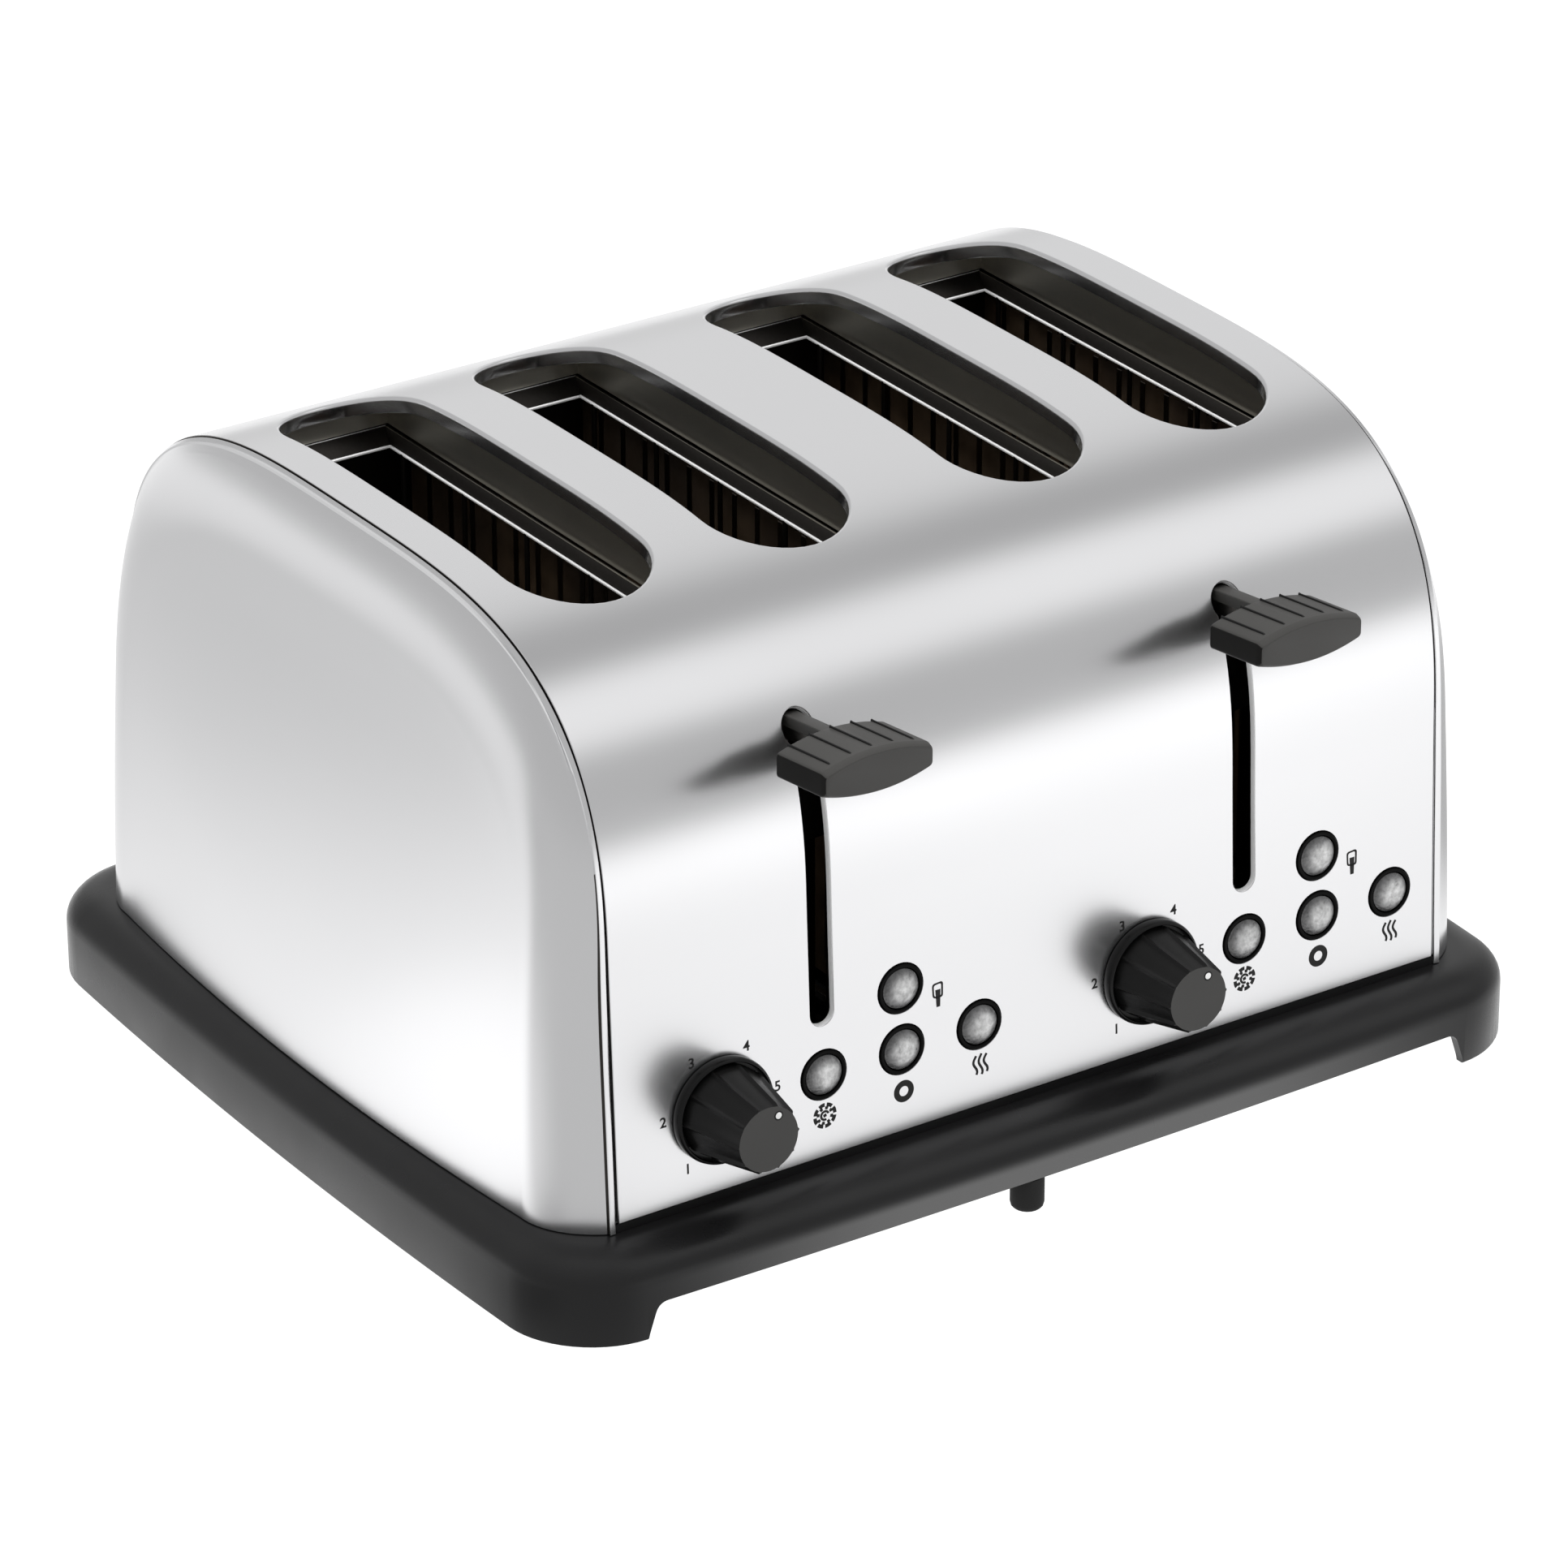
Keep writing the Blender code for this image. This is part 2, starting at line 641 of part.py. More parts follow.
def material(name, finish):
    colour, roughness, metallic = FINISHES[finish]
    made = bpy.data.materials.new(f"{name}_{finish}")
    made.use_nodes = True
    shader = made.node_tree.nodes["Principled BSDF"]
    shader.inputs["Base Color"].default_value = colour
    shader.inputs["Roughness"].default_value = roughness
    shader.inputs["Metallic"].default_value = metallic
    return made


def empty(name, parent=None, location=(0, 0, 0), rotation=(0, 0, 0)):
    made = bpy.data.objects.new(name, None)
    bpy.context.scene.collection.objects.link(made)
    made.parent = parent
    made.location = location
    made.rotation_euler = rotation
    return made


def piece(name, mesh, finish, parent, location=(0, 0, 0), rotation=(0, 0, 0)):
    """A named object from a mesh, with its own material, smooth but for its sharp edges."""
    data = bpy.data.meshes.new(name)
    mesh.to_mesh(data)
    mesh.free()
    data.shade_smooth()
    data.set_sharp_from_angle(angle=SMOOTH_ANGLE)
    data.materials.append(material(name, finish))
    made = bpy.data.objects.new(name, data)
    bpy.context.scene.collection.objects.link(made)
    made.parent = parent
    made.location = location
    made.rotation_euler = rotation
    return made


# Base and what it holds


def shoulder(wall, start, width, top):
    """The base's side from the table up, as (inset, height): a wall that turns in to the deck."""
    turned_in = arc((0, 0), 1, 0, 90, SHOULDER_STEPS)
    return [(wall + width * (1 - c), start + (top - start) * s) for c, s in turned_in]


def inner_shoulder():
    start = BASE_SHOULDER_START - DECK_THICKNESS
    return shoulder(BASE_WALL, start, BASE_SHOULDER_WIDTH, DECK_BOTTOM)


def base_shell():
    outside = shoulder(0, BASE_SHOULDER_START, BASE_SHOULDER_WIDTH, BASE_HEIGHT)
    bodies = []
    for profile, bottom in ((outside, 0), (inner_shoulder(), -OVERRUN)):
        levels = [(profile[0][0], bottom)] + profile
        bodies.append(loft([[(x, y, z) for x, y in base_outline(inset)] for inset, z in levels]))
    return cut(*bodies)


def cutout():
    """What is cut out of the front skirt between the two front feet."""
    top = BASE_WIDTH / 2 - FOOT_LENGTH + BASE_SIDE_BOW
    bottom = top + FOOT_DRAFT
    corners = [
        (-bottom, 0),
        (-top, CUTOUT_HEIGHT),
        (top, CUTOUT_HEIGHT),
        (bottom, 0),
        (bottom, -OVERRUN),
        (-bottom, -OVERRUN),
    ]
    front = -(BASE_DEPTH / 2 + BASE_FRONT_BOW + OVERRUN)
    return prism(rounded(corners, FOOT_FILLET), front, front + 2 * OVERRUN + BASE_WALL, "Y")


def base_height_inside(inset):
    """The underside of the base's shoulder at a distance in from its edge."""
    levels = inner_shoulder()
    for (near, low), (far, high) in zip(levels, levels[1:]):
        if inset <= far:
            return low + (high - low) * max(inset - near, 0) / (far - near)
    return DECK_BOTTOM


def bosses():
    """The pillars under the deck that the bottom plate is screwed to."""
    places = [(x, y) for x in (-BOSS_SIDE_X, 0, BOSS_SIDE_X) for y in (-BOSS_Y, BOSS_Y)]
    low = PLATE_BOTTOM + PLATE_THICKNESS + GAP
    shape = (BOSS_RADIUS, low, DECK_BOTTOM + BITE)
    return [moved(cylinder(*shape, SLOT_STEPS), x, y) for x, y in places]


def curbs():
    """The low strips on the deck that the steel body's front and rear edges stand on."""
    half = BODY_WIDTH / 2 + SEAM - GAP
    outer = front_face(BASE_HEIGHT) - CURB_INSET
    strips = []
    for low in (-outer, outer - CURB_THICKNESS):
        corner = (-half, low, BASE_HEIGHT - BITE)
        strips.append(box(corner, (half, low + CURB_THICKNESS, BASE_HEIGHT + CURB_HEIGHT)))
    return strips


def tray_opening(x):
    half = TRAY_WIDTH / 2 + 2 * SLIDE_GAP
    low = TRAY_BOTTOM - GAP
    high = TRAY_BOTTOM + TRAY_HEIGHT + SLIDE_GAP
    rear = BASE_DEPTH / 2 + BASE_FRONT_BOW + OVERRUN
    inner = rear - 2 * OVERRUN - BASE_WALL - BASE_FRONT_BOW
    return box((x - half, inner, low), (x + half, rear, high))


def base_plinth(parent):
    shell = join(base_shell(), merged(curbs()), merged(bosses()))
    holes = [cutout()]
    for _, side in SIDES:
        x = side * UNIT_X
        outline = shifted(rectangle(CRUMB_HOLE_WIDTH, CRUMB_HOLE_DEPTH), x)
        holes.append(prism(outline, DECK_BOTTOM - OVERRUN, BASE_HEIGHT + OVERRUN))
        holes.append(tray_opening(x))
    rear = BASE_DEPTH / 2 + BASE_FRONT_BOW
    bore = cylinder(GLAND_RADIUS + GAP, -OVERRUN, OVERRUN)
    turn = Matrix.Rotation(math.pi / 2, 4, "X")
    holes.append(moved(moved(bore, matrix=turn), 0, rear, GLAND_HEIGHT))
    return piece("base_plinth", cut(shell, *holes), "base_plastic", parent)


def bottom_plate(parent):
    sheet = prism(rectangle(PLATE_WIDTH, PLATE_DEPTH), 0, PLATE_THICKNESS)
    return piece("bottom_plate", sheet, "dark_steel", parent, (0, 0, PLATE_BOTTOM))


def centre_foot(parent):
    """The peg under the front skirt, with a stem up behind it to the underside of the shoulder."""
    wall = BASE_DEPTH / 2 + BASE_FRONT_BOW * (1 - (2 * FOOT_X / BASE_WIDTH) ** 2)
    stem_top = base_height_inside(wall + FOOT_Y + FOOT_STEM_SETBACK - FOOT_STEM_RADIUS) - GAP
    top = CUTOUT_HEIGHT - GAP
    edge = arc((FOOT_RADIUS - FOOT_ROUNDING, FOOT_ROUNDING), FOOT_ROUNDING, -90, 0, FILLET_STEPS)
    peg = turned([(0, 0)] + edge + [(FOOT_RADIUS, top), (0, top)])
    stem = moved(cylinder(FOOT_STEM_RADIUS, top - FOOT_ROUNDING, stem_top), 0, FOOT_STEM_SETBACK)
    return piece("centre_foot", join(peg, stem), "rubber", parent, (FOOT_X, FOOT_Y, 0))


def cord_gland(parent):
    """The ringed bushing in the rear wall that a mains lead would leave by."""
    neck = BASE_WALL + 2 * GAP
    profile = [
        (GLAND_BORE, -neck - GLAND_FLANGE_THICKNESS),
        (GLAND_FLANGE_RADIUS, -neck - GLAND_FLANGE_THICKNESS),
        (GLAND_FLANGE_RADIUS, -neck),
        (GLAND_RADIUS, -neck),
        (GLAND_RADIUS, GAP),
        (GLAND_FLANGE_RADIUS, GAP),
        (GLAND_FLANGE_RADIUS, GLAND_FLANGE_THICKNESS),
        (GLAND_TIP_RADIUS, GLAND_FLANGE_THICKNESS),
        (GLAND_TIP_RADIUS, GLAND_REACH),
        (GLAND_BORE, GLAND_REACH),
    ]
    mesh = turned(profile, SMALL_ROUND_STEPS, closed=True)
    place = (0, BASE_DEPTH / 2 + BASE_FRONT_BOW, GLAND_HEIGHT)
    return piece("cord_gland", mesh, "rubber", parent, place, (-math.pi / 2, 0, 0))


def crumb_tray(name, x, parent):
    """A shallow tray with a face that closes its opening in the rear wall, and a finger pull."""
    rear = BASE_DEPTH / 2 + BASE_FRONT_BOW + TRAY_FACE_PROUD
    half = TRAY_WIDTH / 2
    face_front = rear - TRAY_FACE_THICKNESS
    body = box((-half, TRAY_FRONT_Y, 0), (half, rear, TRAY_HEIGHT))
    low = (TRAY_SHEET - half, TRAY_FRONT_Y + TRAY_SHEET, TRAY_SHEET)
    hollow = box(low, (half - TRAY_SHEET, face_front, TRAY_HEIGHT + OVERRUN))
    pull = box(
        (-PULL_WIDTH / 2, face_front, TRAY_SHEET),
        (PULL_WIDTH / 2, rear + PULL_DEPTH, TRAY_SHEET + PULL_THICKNESS),
    )
    mesh = join(cut(body, hollow), pull)
    return piece(f"crumb_tray_{name}", mesh, "dark_steel", parent, (x, 0, TRAY_BOTTOM))


# Steel body


def slot_places():
    return [side * UNIT_X + offset for _, side in SIDES for offset in (-SLOT_OFFSET, SLOT_OFFSET)]


def body_section(inset, bottom):
    """The arch filled in, for pieces that end just under the steel."""
    return prism(arch(inset, bottom), -BODY_WIDTH / 2, BODY_WIDTH / 2, "X")


def slot_lips():
    """The rims that the steel is rolled down to, around each bread slot."""
    width = RIM_INSIDE_WIDTH + 2 * SHEET
    length = RIM_INSIDE_LENGTH + 2 * SHEET
    low = CHASSIS_TOP - OVERRUN
    rims = [prism(shifted(stadium(width, length), x), low, BODY_HEIGHT) for x in slot_places()]
    band = cut(body_section(SHEET / 2, WRAP_BOTTOM), body_section(SHEET / 2 + SLOT_LIP_DEPTH, 0))
    return common(merged(rims), band)


def panel_matrix(side):
    """The place of a control group: on the leaning front, under its lever."""
    place = Matrix.Translation((side * UNIT_X, -front_face(CONTROL_HEIGHT), CONTROL_HEIGHT))
    return place @ Matrix.Rotation(-LEAN, 4, "X") @ Matrix.Rotation(math.pi / 2, 4, "X")


def control_holes(side):
    """The holes for the knob and the four buttons, square to the leaning front."""
    through = (-OVERRUN, OVERRUN)
    holes = [moved(cylinder(BUSHING_RADIUS + GAP, *through), KNOB_X)]
    for _, x, up in BUTTONS:
        holes.append(moved(cylinder(RING_RADIUS + GAP, *through, ROUND_STEPS), x, up))
    return moved(merged(holes), matrix=panel_matrix(side))


def wrap_shell(parent):
    """The arched sheet from the front foot over the top to the rear foot, with all its openings."""
    section = arch(0, WRAP_BOTTOM) + arch(SHEET, WRAP_BOTTOM)[::-1]
    sheet = prism(section, -BODY_WIDTH / 2, BODY_WIDTH / 2, "X")
    sheet = join(sheet, slot_lips())
    rim = stadium(RIM_INSIDE_WIDTH, RIM_INSIDE_LENGTH)
    holes = []
    for x in slot_places():
        holes.append(prism(shifted(rim, x), ARCH_START, BODY_HEIGHT + OVERRUN))
    for _, side in SIDES:
        outline = shifted(keyhole(), side * UNIT_X)
        holes.append(prism(outline, -BODY_DEPTH / 2 - OVERRUN, GUSSET_Y + 2 * OVERRUN, "Y"))
        holes.append(control_holes(side))
    return piece("wrap_shell", cut(sheet, *holes), "satin_steel", parent)


def cap_levels():
    """The steps of a domed end from its seam to its face, as (size of the arch, share of the depth, bow)."""
    start = math.radians(CAP_START_ANGLE)
    levels = []
    for across, up in arc((0, 0), 1, CAP_START_ANGLE, 0, CAP_EDGE_STEPS):
        size = 1 - CAP_EDGE_SHARE * (1 - up / math.sin(start))
        levels.append((size, (across - math.cos(start)) / (1 - math.cos(start)), 0))
    for step in range(1, CAP_FACE_STEPS):
        inner = 1 - step / CAP_FACE_STEPS
        levels.append((inner * levels[CAP_EDGE_STEPS][0], 1, CAP_BOW * (1 - inner**2)))
    return levels


def cap_body(inset, bottom, seam):
    """A domed end as a solid: copies of the arch that shrink towards the middle of the foot."""
    outline = arch(inset, bottom)
    root = BODY_WIDTH / 2 + SEAM
    mesh = bmesh.new()
    rows = [[mesh.verts.new((seam, y, z)) for y, z in outline]]
    for size, depth_share, bow in cap_levels()[1:]:
        ring_points = []
        for y, z in outline:
            height = bottom + (z - bottom) * size
            up = (height - bottom) / (BODY_HEIGHT - bottom)
            depth = CAP_EDGE_DEPTH + (CAP_TOP_EDGE_DEPTH - CAP_EDGE_DEPTH) * up**2
            ring_points.append((root + (depth - inset) * depth_share + bow, y * size, height))
        rows.append([mesh.verts.new(point) for point in ring_points])
    for low, high in zip(rows, rows[1:]):
        bridge(mesh, low, high)
    pole = mesh.verts.new((root + CAP_EDGE_DEPTH - inset + CAP_BOW, 0, bottom))
    last = rows[-1]
    for index, corner in enumerate(last):
        mesh.faces.new((corner, last[(index + 1) % len(last)], pole))
    mesh.faces.new(rows[0])
    return finish_mesh(mesh)


def cap_flange():
    """The flange that reaches from a domed end under the edge of the arched sheet."""
    outside = SHEET + GAP
    section = arch(outside, WRAP_BOTTOM) + arch(outside + SHEET, WRAP_BOTTOM)[::-1]
    low = BODY_WIDTH / 2 - CAP_FLANGE_WIDTH
    return prism(section, low, BODY_WIDTH / 2 + SEAM + CAP_FLANGE_ROOT, "X")


def end_cap(name, side, parent):
    seam = BODY_WIDTH / 2 + SEAM
    outside = cap_body(0, BODY_BOTTOM, seam)
    inside = cap_body(SHEET, BODY_BOTTOM - OVERRUN, seam - OVERRUN)
    shell = join(cut(outside, inside), cap_flange())
    if side < 0:
        moved(shell, matrix=Matrix.Scale(-1, 4, (1, 0, 0)))
        bmesh.ops.reverse_faces(shell, faces=shell.faces)
    return piece(f"{name}_end_cap", shell, "satin_steel", parent)


def slot_frame(name, x, parent):
    """The walls under a pair of slots, up to the steel: a box with two holes and a hollow middle bar."""
    depth = 2 * CHASSIS_OUTSIDE_Y
    low = CHASSIS_TOP + GAP
    block = prism(shifted(rectangle(CHASSIS_WIDTH, depth), x), low, BODY_HEIGHT)
    hole = rectangle(FRAME_HOLE_WIDTH, depth - 2 * FRAME_WALL)
    through = (low - OVERRUN, BODY_HEIGHT + OVERRUN)
    holes = [prism(shifted(hole, x + offset), *through) for offset in (-SLOT_OFFSET, SLOT_OFFSET)]
    bar = 2 * SLOT_OFFSET - FRAME_HOLE_WIDTH - 2 * FRAME_WALL
    holes.append(prism(shifted(rectangle(bar, depth - 2 * FRAME_WALL), x), *through))
    walls = cut(block, *holes)
    under_steel = body_section(SHEET + FRAME_SEAT, WRAP_BOTTOM)
    return piece(f"slot_frame_{name}", common(walls, under_steel), "bright_steel", parent)


# Two-slice units


def chassis_plate(name, x, end, parent):
    """An end plate of a unit: a flange on the deck, slits for the rack bars and, at the front, a tab."""
    low = BASE_HEIGHT + GAP
    half = CHASSIS_WIDTH / 2
    inside = CHASSIS_INSIDE / 2
    outside = CHASSIS_OUTSIDE_Y
    plate = box((-half, inside, low), (half, outside, CHASSIS_TOP))
    flange_end = outside + CHASSIS_FLANGE
    flange = box(
        (-half + CHASSIS_SHEET, inside + CHASSIS_SHEET / 2, low + CHASSIS_SHEET / 2),
        (half - CHASSIS_SHEET, flange_end, low + CHASSIS_SHEET * 3 / 2),
    )
    moved(flange, 0, 0, -CHASSIS_SHEET / 4)
    shape = join(plate, flange)
    slit_low = RACK_TOP - TRAVEL - RACK_BAR_HEIGHT - SLIT_WIDTH / 2
    slit = stadium(SLIT_WIDTH, RACK_TOP + SLIT_WIDTH - slit_low, FILLET_STEPS)
    middle = (RACK_TOP + SLIT_WIDTH + slit_low) / 2
    slits = []
    for offset in (-SLOT_OFFSET, SLOT_OFFSET):
        outline = shifted(slit, offset, middle)
        slits.append(prism(outline, inside - OVERRUN, outside + OVERRUN / 2, "Y"))
    shape = cut(shape, *slits)
    if end == "front":
        shape = join(shape, rod_tab(inside))
        shape = cut(shape, moved(rod_hole(), 0, -ROD_Y))
        moved(shape, matrix=Matrix.Rotation(math.pi, 4, "Z"))
    return piece(f"chassis_{end}_{name}", shape, "dark_steel", parent, (x, 0, 0))


def rod_tab(inside):
    low = (-ROD_TAB_WIDTH / 2, inside + CHASSIS_SHEET / 2, ROD_TAB_HEIGHT)
    return box(low, (ROD_TAB_WIDTH / 2, -ROD_Y + SLEEVE_RADIUS, ROD_TAB_HEIGHT + CHASSIS_SHEET))


def rod_hole():
    return cylinder(ROD_RADIUS + GAP, ROD_TAB_HEIGHT - OVERRUN, ROD_TAB_HEIGHT + OVERRUN)


def heater_board(number, x, parent):
    """A mica board between the end plates, notched along its top and bottom for its winding."""
    half = CHASSIS_INSIDE / 2 - GAP
    pitch = 2 * half / (2 * HEATER_NOTCHES + 1)
    top = []
    for step in range(HEATER_NOTCHES):
        start = half - (2 * step + 1) * pitch
        top += [
            (start, HEATER_TOP),
            (start, HEATER_TOP - HEATER_NOTCH),
            (start - pitch, HEATER_TOP - HEATER_NOTCH),
            (start - pitch, HEATER_TOP),
        ]
    outline = [(-half, HEATER_BOTTOM), (half, HEATER_BOTTOM), (half, HEATER_TOP)]
    outline += top + [(-half, HEATER_TOP)]
    mesh = prism(outline, -HEATER_THICKNESS / 2, HEATER_THICKNESS / 2, "X")
    return piece(f"heater_board_{number}", mesh, "mica", parent, (x, 0, 0))


def rectangular_ring(levels):
    """A closed ring through rectangles given as (width, length, height)."""
    return loft([[(x, y, z) for x, y in rectangle(w, l)] for w, l, z in levels], closed=True)


def guard_wires():
    """The upright wires on both sides of a slice."""
    bottom = RAIL_BOTTOM + RAIL_HEIGHT / 2
    top = CHASSIS_TOP - FUNNEL_HEIGHT + WIRE
    wires = []
    for side in (-1, 1):
        x = side * (GUARD_WIDTH / 2 - WIRE / 4)
        for index in range(GUARD_WIRES):
            y = GUARD_WIRE_SPAN * (index / (GUARD_WIRES - 1) - 1 / 2)
            low = (x - WIRE / 2, y - WIRE / 2, bottom)
            wires.append(box(low, (x + WIRE / 2, y + WIRE / 2, top)))
    return merged(wires)


def bread_cage(number, x, parent):
    """The funnel under a slot, the guard wires that hang from it and the rail that ties them."""
    top_length = CHASSIS_INSIDE - 2 * GAP
    low = CHASSIS_TOP - FUNNEL_HEIGHT
    thick = 2 * FUNNEL_SHEET
    funnel = rectangular_ring(
        [
            (FUNNEL_TOP_WIDTH, top_length, CHASSIS_TOP),
            (GUARD_WIDTH + thick / 2, GUARD_LENGTH + thick, low),
            (GUARD_WIDTH - thick / 2, GUARD_LENGTH, low),
            (FUNNEL_TOP_WIDTH - thick, top_length - thick, CHASSIS_TOP),
        ]
    )
    outer = (GUARD_WIDTH + RAIL_WIDTH / 2, GUARD_LENGTH + RAIL_WIDTH)
    inner = (GUARD_WIDTH - RAIL_WIDTH * 3 / 2, GUARD_LENGTH - RAIL_WIDTH)
    rail = rectangular_ring(
        [
            (*outer, RAIL_BOTTOM),
            (*outer, RAIL_TOP),
            (*inner, RAIL_TOP),
            (*inner, RAIL_BOTTOM),
        ]
    )
    ends = []
    for side in (-1, 1):
        y = side * GUARD_LENGTH / 2
        corner = (-GUARD_WIDTH / 2 + RACK_WIDTH / 4, y - WIRE / 2, RAIL_BOTTOM + RAIL_HEIGHT / 2)
        ends.append(box(corner, (corner[0] + WIRE, y + WIRE / 2, low + WIRE)))
    mesh = join(guard_wires(), funnel, rail, merged(ends))
    return piece(f"bread_cage_{number}", mesh, "bright_steel", parent, (x, 0, 0))


def bread_rack(number, x, parent):
    """The comb that a slice stands on: a bar through both end plates, with cross fingers."""
    half_bar = RACK_BAR_THICKNESS / 2
    front = CARRIAGE_REAR_Y + GAP
    bottom = RACK_BAR_TOP - RACK_BAR_HEIGHT
    inner = front + RACK_TAB_THICKNESS
    bar = box((-half_bar, inner - BITE, bottom), (half_bar, RACK_BAR_REAR_Y, RACK_BAR_TOP))
    half_tab = RACK_TAB_WIDTH / 2
    tab = box((-half_tab, front, CROSSBAR_BOTTOM + GAP), (half_tab, inner, RACK_TOP))
    fingers = []
    for index in range(RACK_FINGERS):
        y = RACK_FINGER_SPAN * (index / (RACK_FINGERS - 1) - 1 / 2)
        low = (-RACK_WIDTH / 2, y - RACK_FINGER_WIDTH / 2, RACK_TOP - RACK_FINGER_THICKNESS)
        fingers.append(box(low, (RACK_WIDTH / 2, y + RACK_FINGER_WIDTH / 2, RACK_TOP)))
    mesh = join(bar, tab, merged(fingers))
    return piece(f"bread_rack_{number}", mesh, "bright_steel", parent, (x, 0, 0))


# Lifting gear


def carriage(name, parent):
    """The bracket that the lever lifts: a crossbar for two racks, a sleeve, an armature and a bar."""
    half_cross = CROSSBAR_WIDTH / 2
    half_tongue = TONGUE_WIDTH / 2
    armature_top = ARMATURE_BOTTOM + ARMATURE_THICKNESS
    ear = MAGNET_X - MAGNET_WIDTH / 2 - CARRIAGE_SHEET
    outline = [
        (-half_cross, CROSSBAR_BOTTOM),
        (half_cross, CROSSBAR_BOTTOM),
        (half_cross, CROSSBAR_TOP),
        (half_tongue, CROSSBAR_TOP),
        (half_tongue, TONGUE_TOP),
        (-half_tongue, TONGUE_TOP),
        (-half_tongue, armature_top + CARRIAGE_SHEET),
        (ear, armature_top + CARRIAGE_SHEET),
        (ear, CROSSBAR_TOP),
        (-half_cross, CROSSBAR_TOP),
    ]
    plate = prism(outline, CARRIAGE_FRONT_Y, CARRIAGE_REAR_Y, "Y")
    middle = (CARRIAGE_FRONT_Y + CARRIAGE_REAR_Y) / 2
    armature = box(
        (MAGNET_X - MAGNET_WIDTH / 2, middle, ARMATURE_BOTTOM),
        (MAGNET_X + MAGNET_WIDTH / 2, -CHASSIS_OUTSIDE_Y - CARRIAGE_SHEET, armature_top),
    )
    sleeve = moved(cylinder(SLEEVE_RADIUS, SLEEVE_BOTTOM, SLEEVE_TOP), 0, ROD_Y)
    bore = cylinder(ROD_RADIUS + ROD_CLEARANCE, SLEEVE_BOTTOM - OVERRUN, SLEEVE_TOP + OVERRUN)
    mesh = join(plate, armature, sleeve, lever_bar(middle))
    mesh = cut(mesh, moved(bore, 0, ROD_Y))
    moved(mesh, 0, -ROD_Y)
    return piece(f"carriage_{name}", mesh, "dark_steel", parent, (0, ROD_Y, 0))


def lever_bar(rear):
    """The steel bar through the lever slot that the handle is pushed onto, with its gusset."""
    tip = HANDLE_REAR_Y - LEVER_BAR_REACH
    top = ARM_TOP - ARM_THICKNESS - GAP
    front_lower, rear_lower, rear_upper, front_upper = along_lever(top, LEVER_BAR_HEIGHT, rear, tip)
    outline = [
        front_lower,
        (GUSSET_Y, top - LEVER_BAR_HEIGHT + lever_rise(GUSSET_Y)),
        (rear, rear_lower[1] - GUSSET_DROP),
        rear_upper,
        front_upper,
    ]
    return prism(outline, -LEVER_BAR_THICKNESS / 2, LEVER_BAR_THICKNESS / 2, "X")


def lever_handle(name, parent):
    """The lens-shaped handle, with an arm over the bar and a pocket that takes the bar's end."""
    front = HANDLE_REAR_Y - HANDLE_DEPTH
    levels = [
        (0, 0, HANDLE_REAR_Y),
        (0, 0, front + HANDLE_BEVEL),
        (HANDLE_SIDE_INSET, HANDLE_BEVEL_DROP, front),
    ]
    rings = []
    for inset, drop, y in levels:
        centre = HANDLE_CENTRE + lever_rise(y)
        rings.append([(x, y, centre + z) for x, z in lens(inset, drop)])
    inner_end = HANDLE_REAR_Y + ARM_LENGTH
    arm = along_lever(ARM_TOP, ARM_THICKNESS, inner_end, HANDLE_REAR_Y - HANDLE_BEVEL)
    arm = prism(arm, -ARM_WIDTH / 2, ARM_WIDTH / 2, "X")
    pocket_end = HANDLE_REAR_Y - LEVER_BAR_REACH - GAP
    height = LEVER_BAR_HEIGHT + 2 * GAP
    pocket = along_lever(ARM_TOP - ARM_THICKNESS, height, HANDLE_REAR_Y + OVERRUN, pocket_end)
    half_bar = LEVER_BAR_THICKNESS / 2 + GAP
    pocket = prism(pocket, -half_bar, half_bar, "X")
    body = loft(rings)
    mesh = cut(join(body, arm), pocket)
    return piece(f"lever_handle_{name}", mesh, "handle_plastic", parent)


def guide_rod(name, parent):
    low = BASE_HEIGHT + 2 * GAP + CHASSIS_SHEET * 5 / 4
    mesh = cylinder(ROD_RADIUS, low, ROD_TOP)
    return piece(f"guide_rod_{name}", mesh, "bright_steel", parent, (0, ROD_Y, 0))


def return_spring(name, parent):
    """The compression spring round the rod, hidden in the body, as the sleeve of space it fills."""
    inner = ROD_RADIUS + SPRING_CLEARANCE
    low = BASE_HEIGHT + 2 * GAP + CHASSIS_SHEET * 5 / 4
    mesh = ring(inner + SPRING_WIRE, inner, low, SLEEVE_BOTTOM - GAP, SMALL_ROUND_STEPS)
    return piece(f"return_spring_{name}", mesh, "bright_steel", parent, (0, ROD_Y, 0))


def electromagnet(name, parent):
    """A coil between two iron plates, on a yoke against the front end plate."""
    top = ARMATURE_BOTTOM - TRAVEL - MAGNET_CLEARANCE
    low = top - MAGNET_HEIGHT
    half = MAGNET_WIDTH / 2
    rear = -CHASSIS_OUTSIDE_Y - GAP
    front = rear - MAGNET_DEPTH
    yoke = box((-half, rear - MAGNET_PLATE, low), (half, rear, top))
    upper = box((-half + BITE, front, top - MAGNET_PLATE), (half - BITE, rear - BITE, top - BITE / 2))
    lower = box((-half + BITE, front, low + BITE), (half - BITE, rear - BITE, low + MAGNET_PLATE))
    coil = cylinder(COIL_RADIUS, low + MAGNET_PLATE - BITE, top - MAGNET_PLATE + BITE)
    coil = moved(coil, 0, (front + rear - MAGNET_PLATE) / 2)
    mesh = join(yoke, upper, lower, coil)
    return piece(f"electromagnet_{name}", mesh, "copper", parent, (MAGNET_X, 0, 0))


# Control groups: +X right, +Y up the panel, +Z out of it


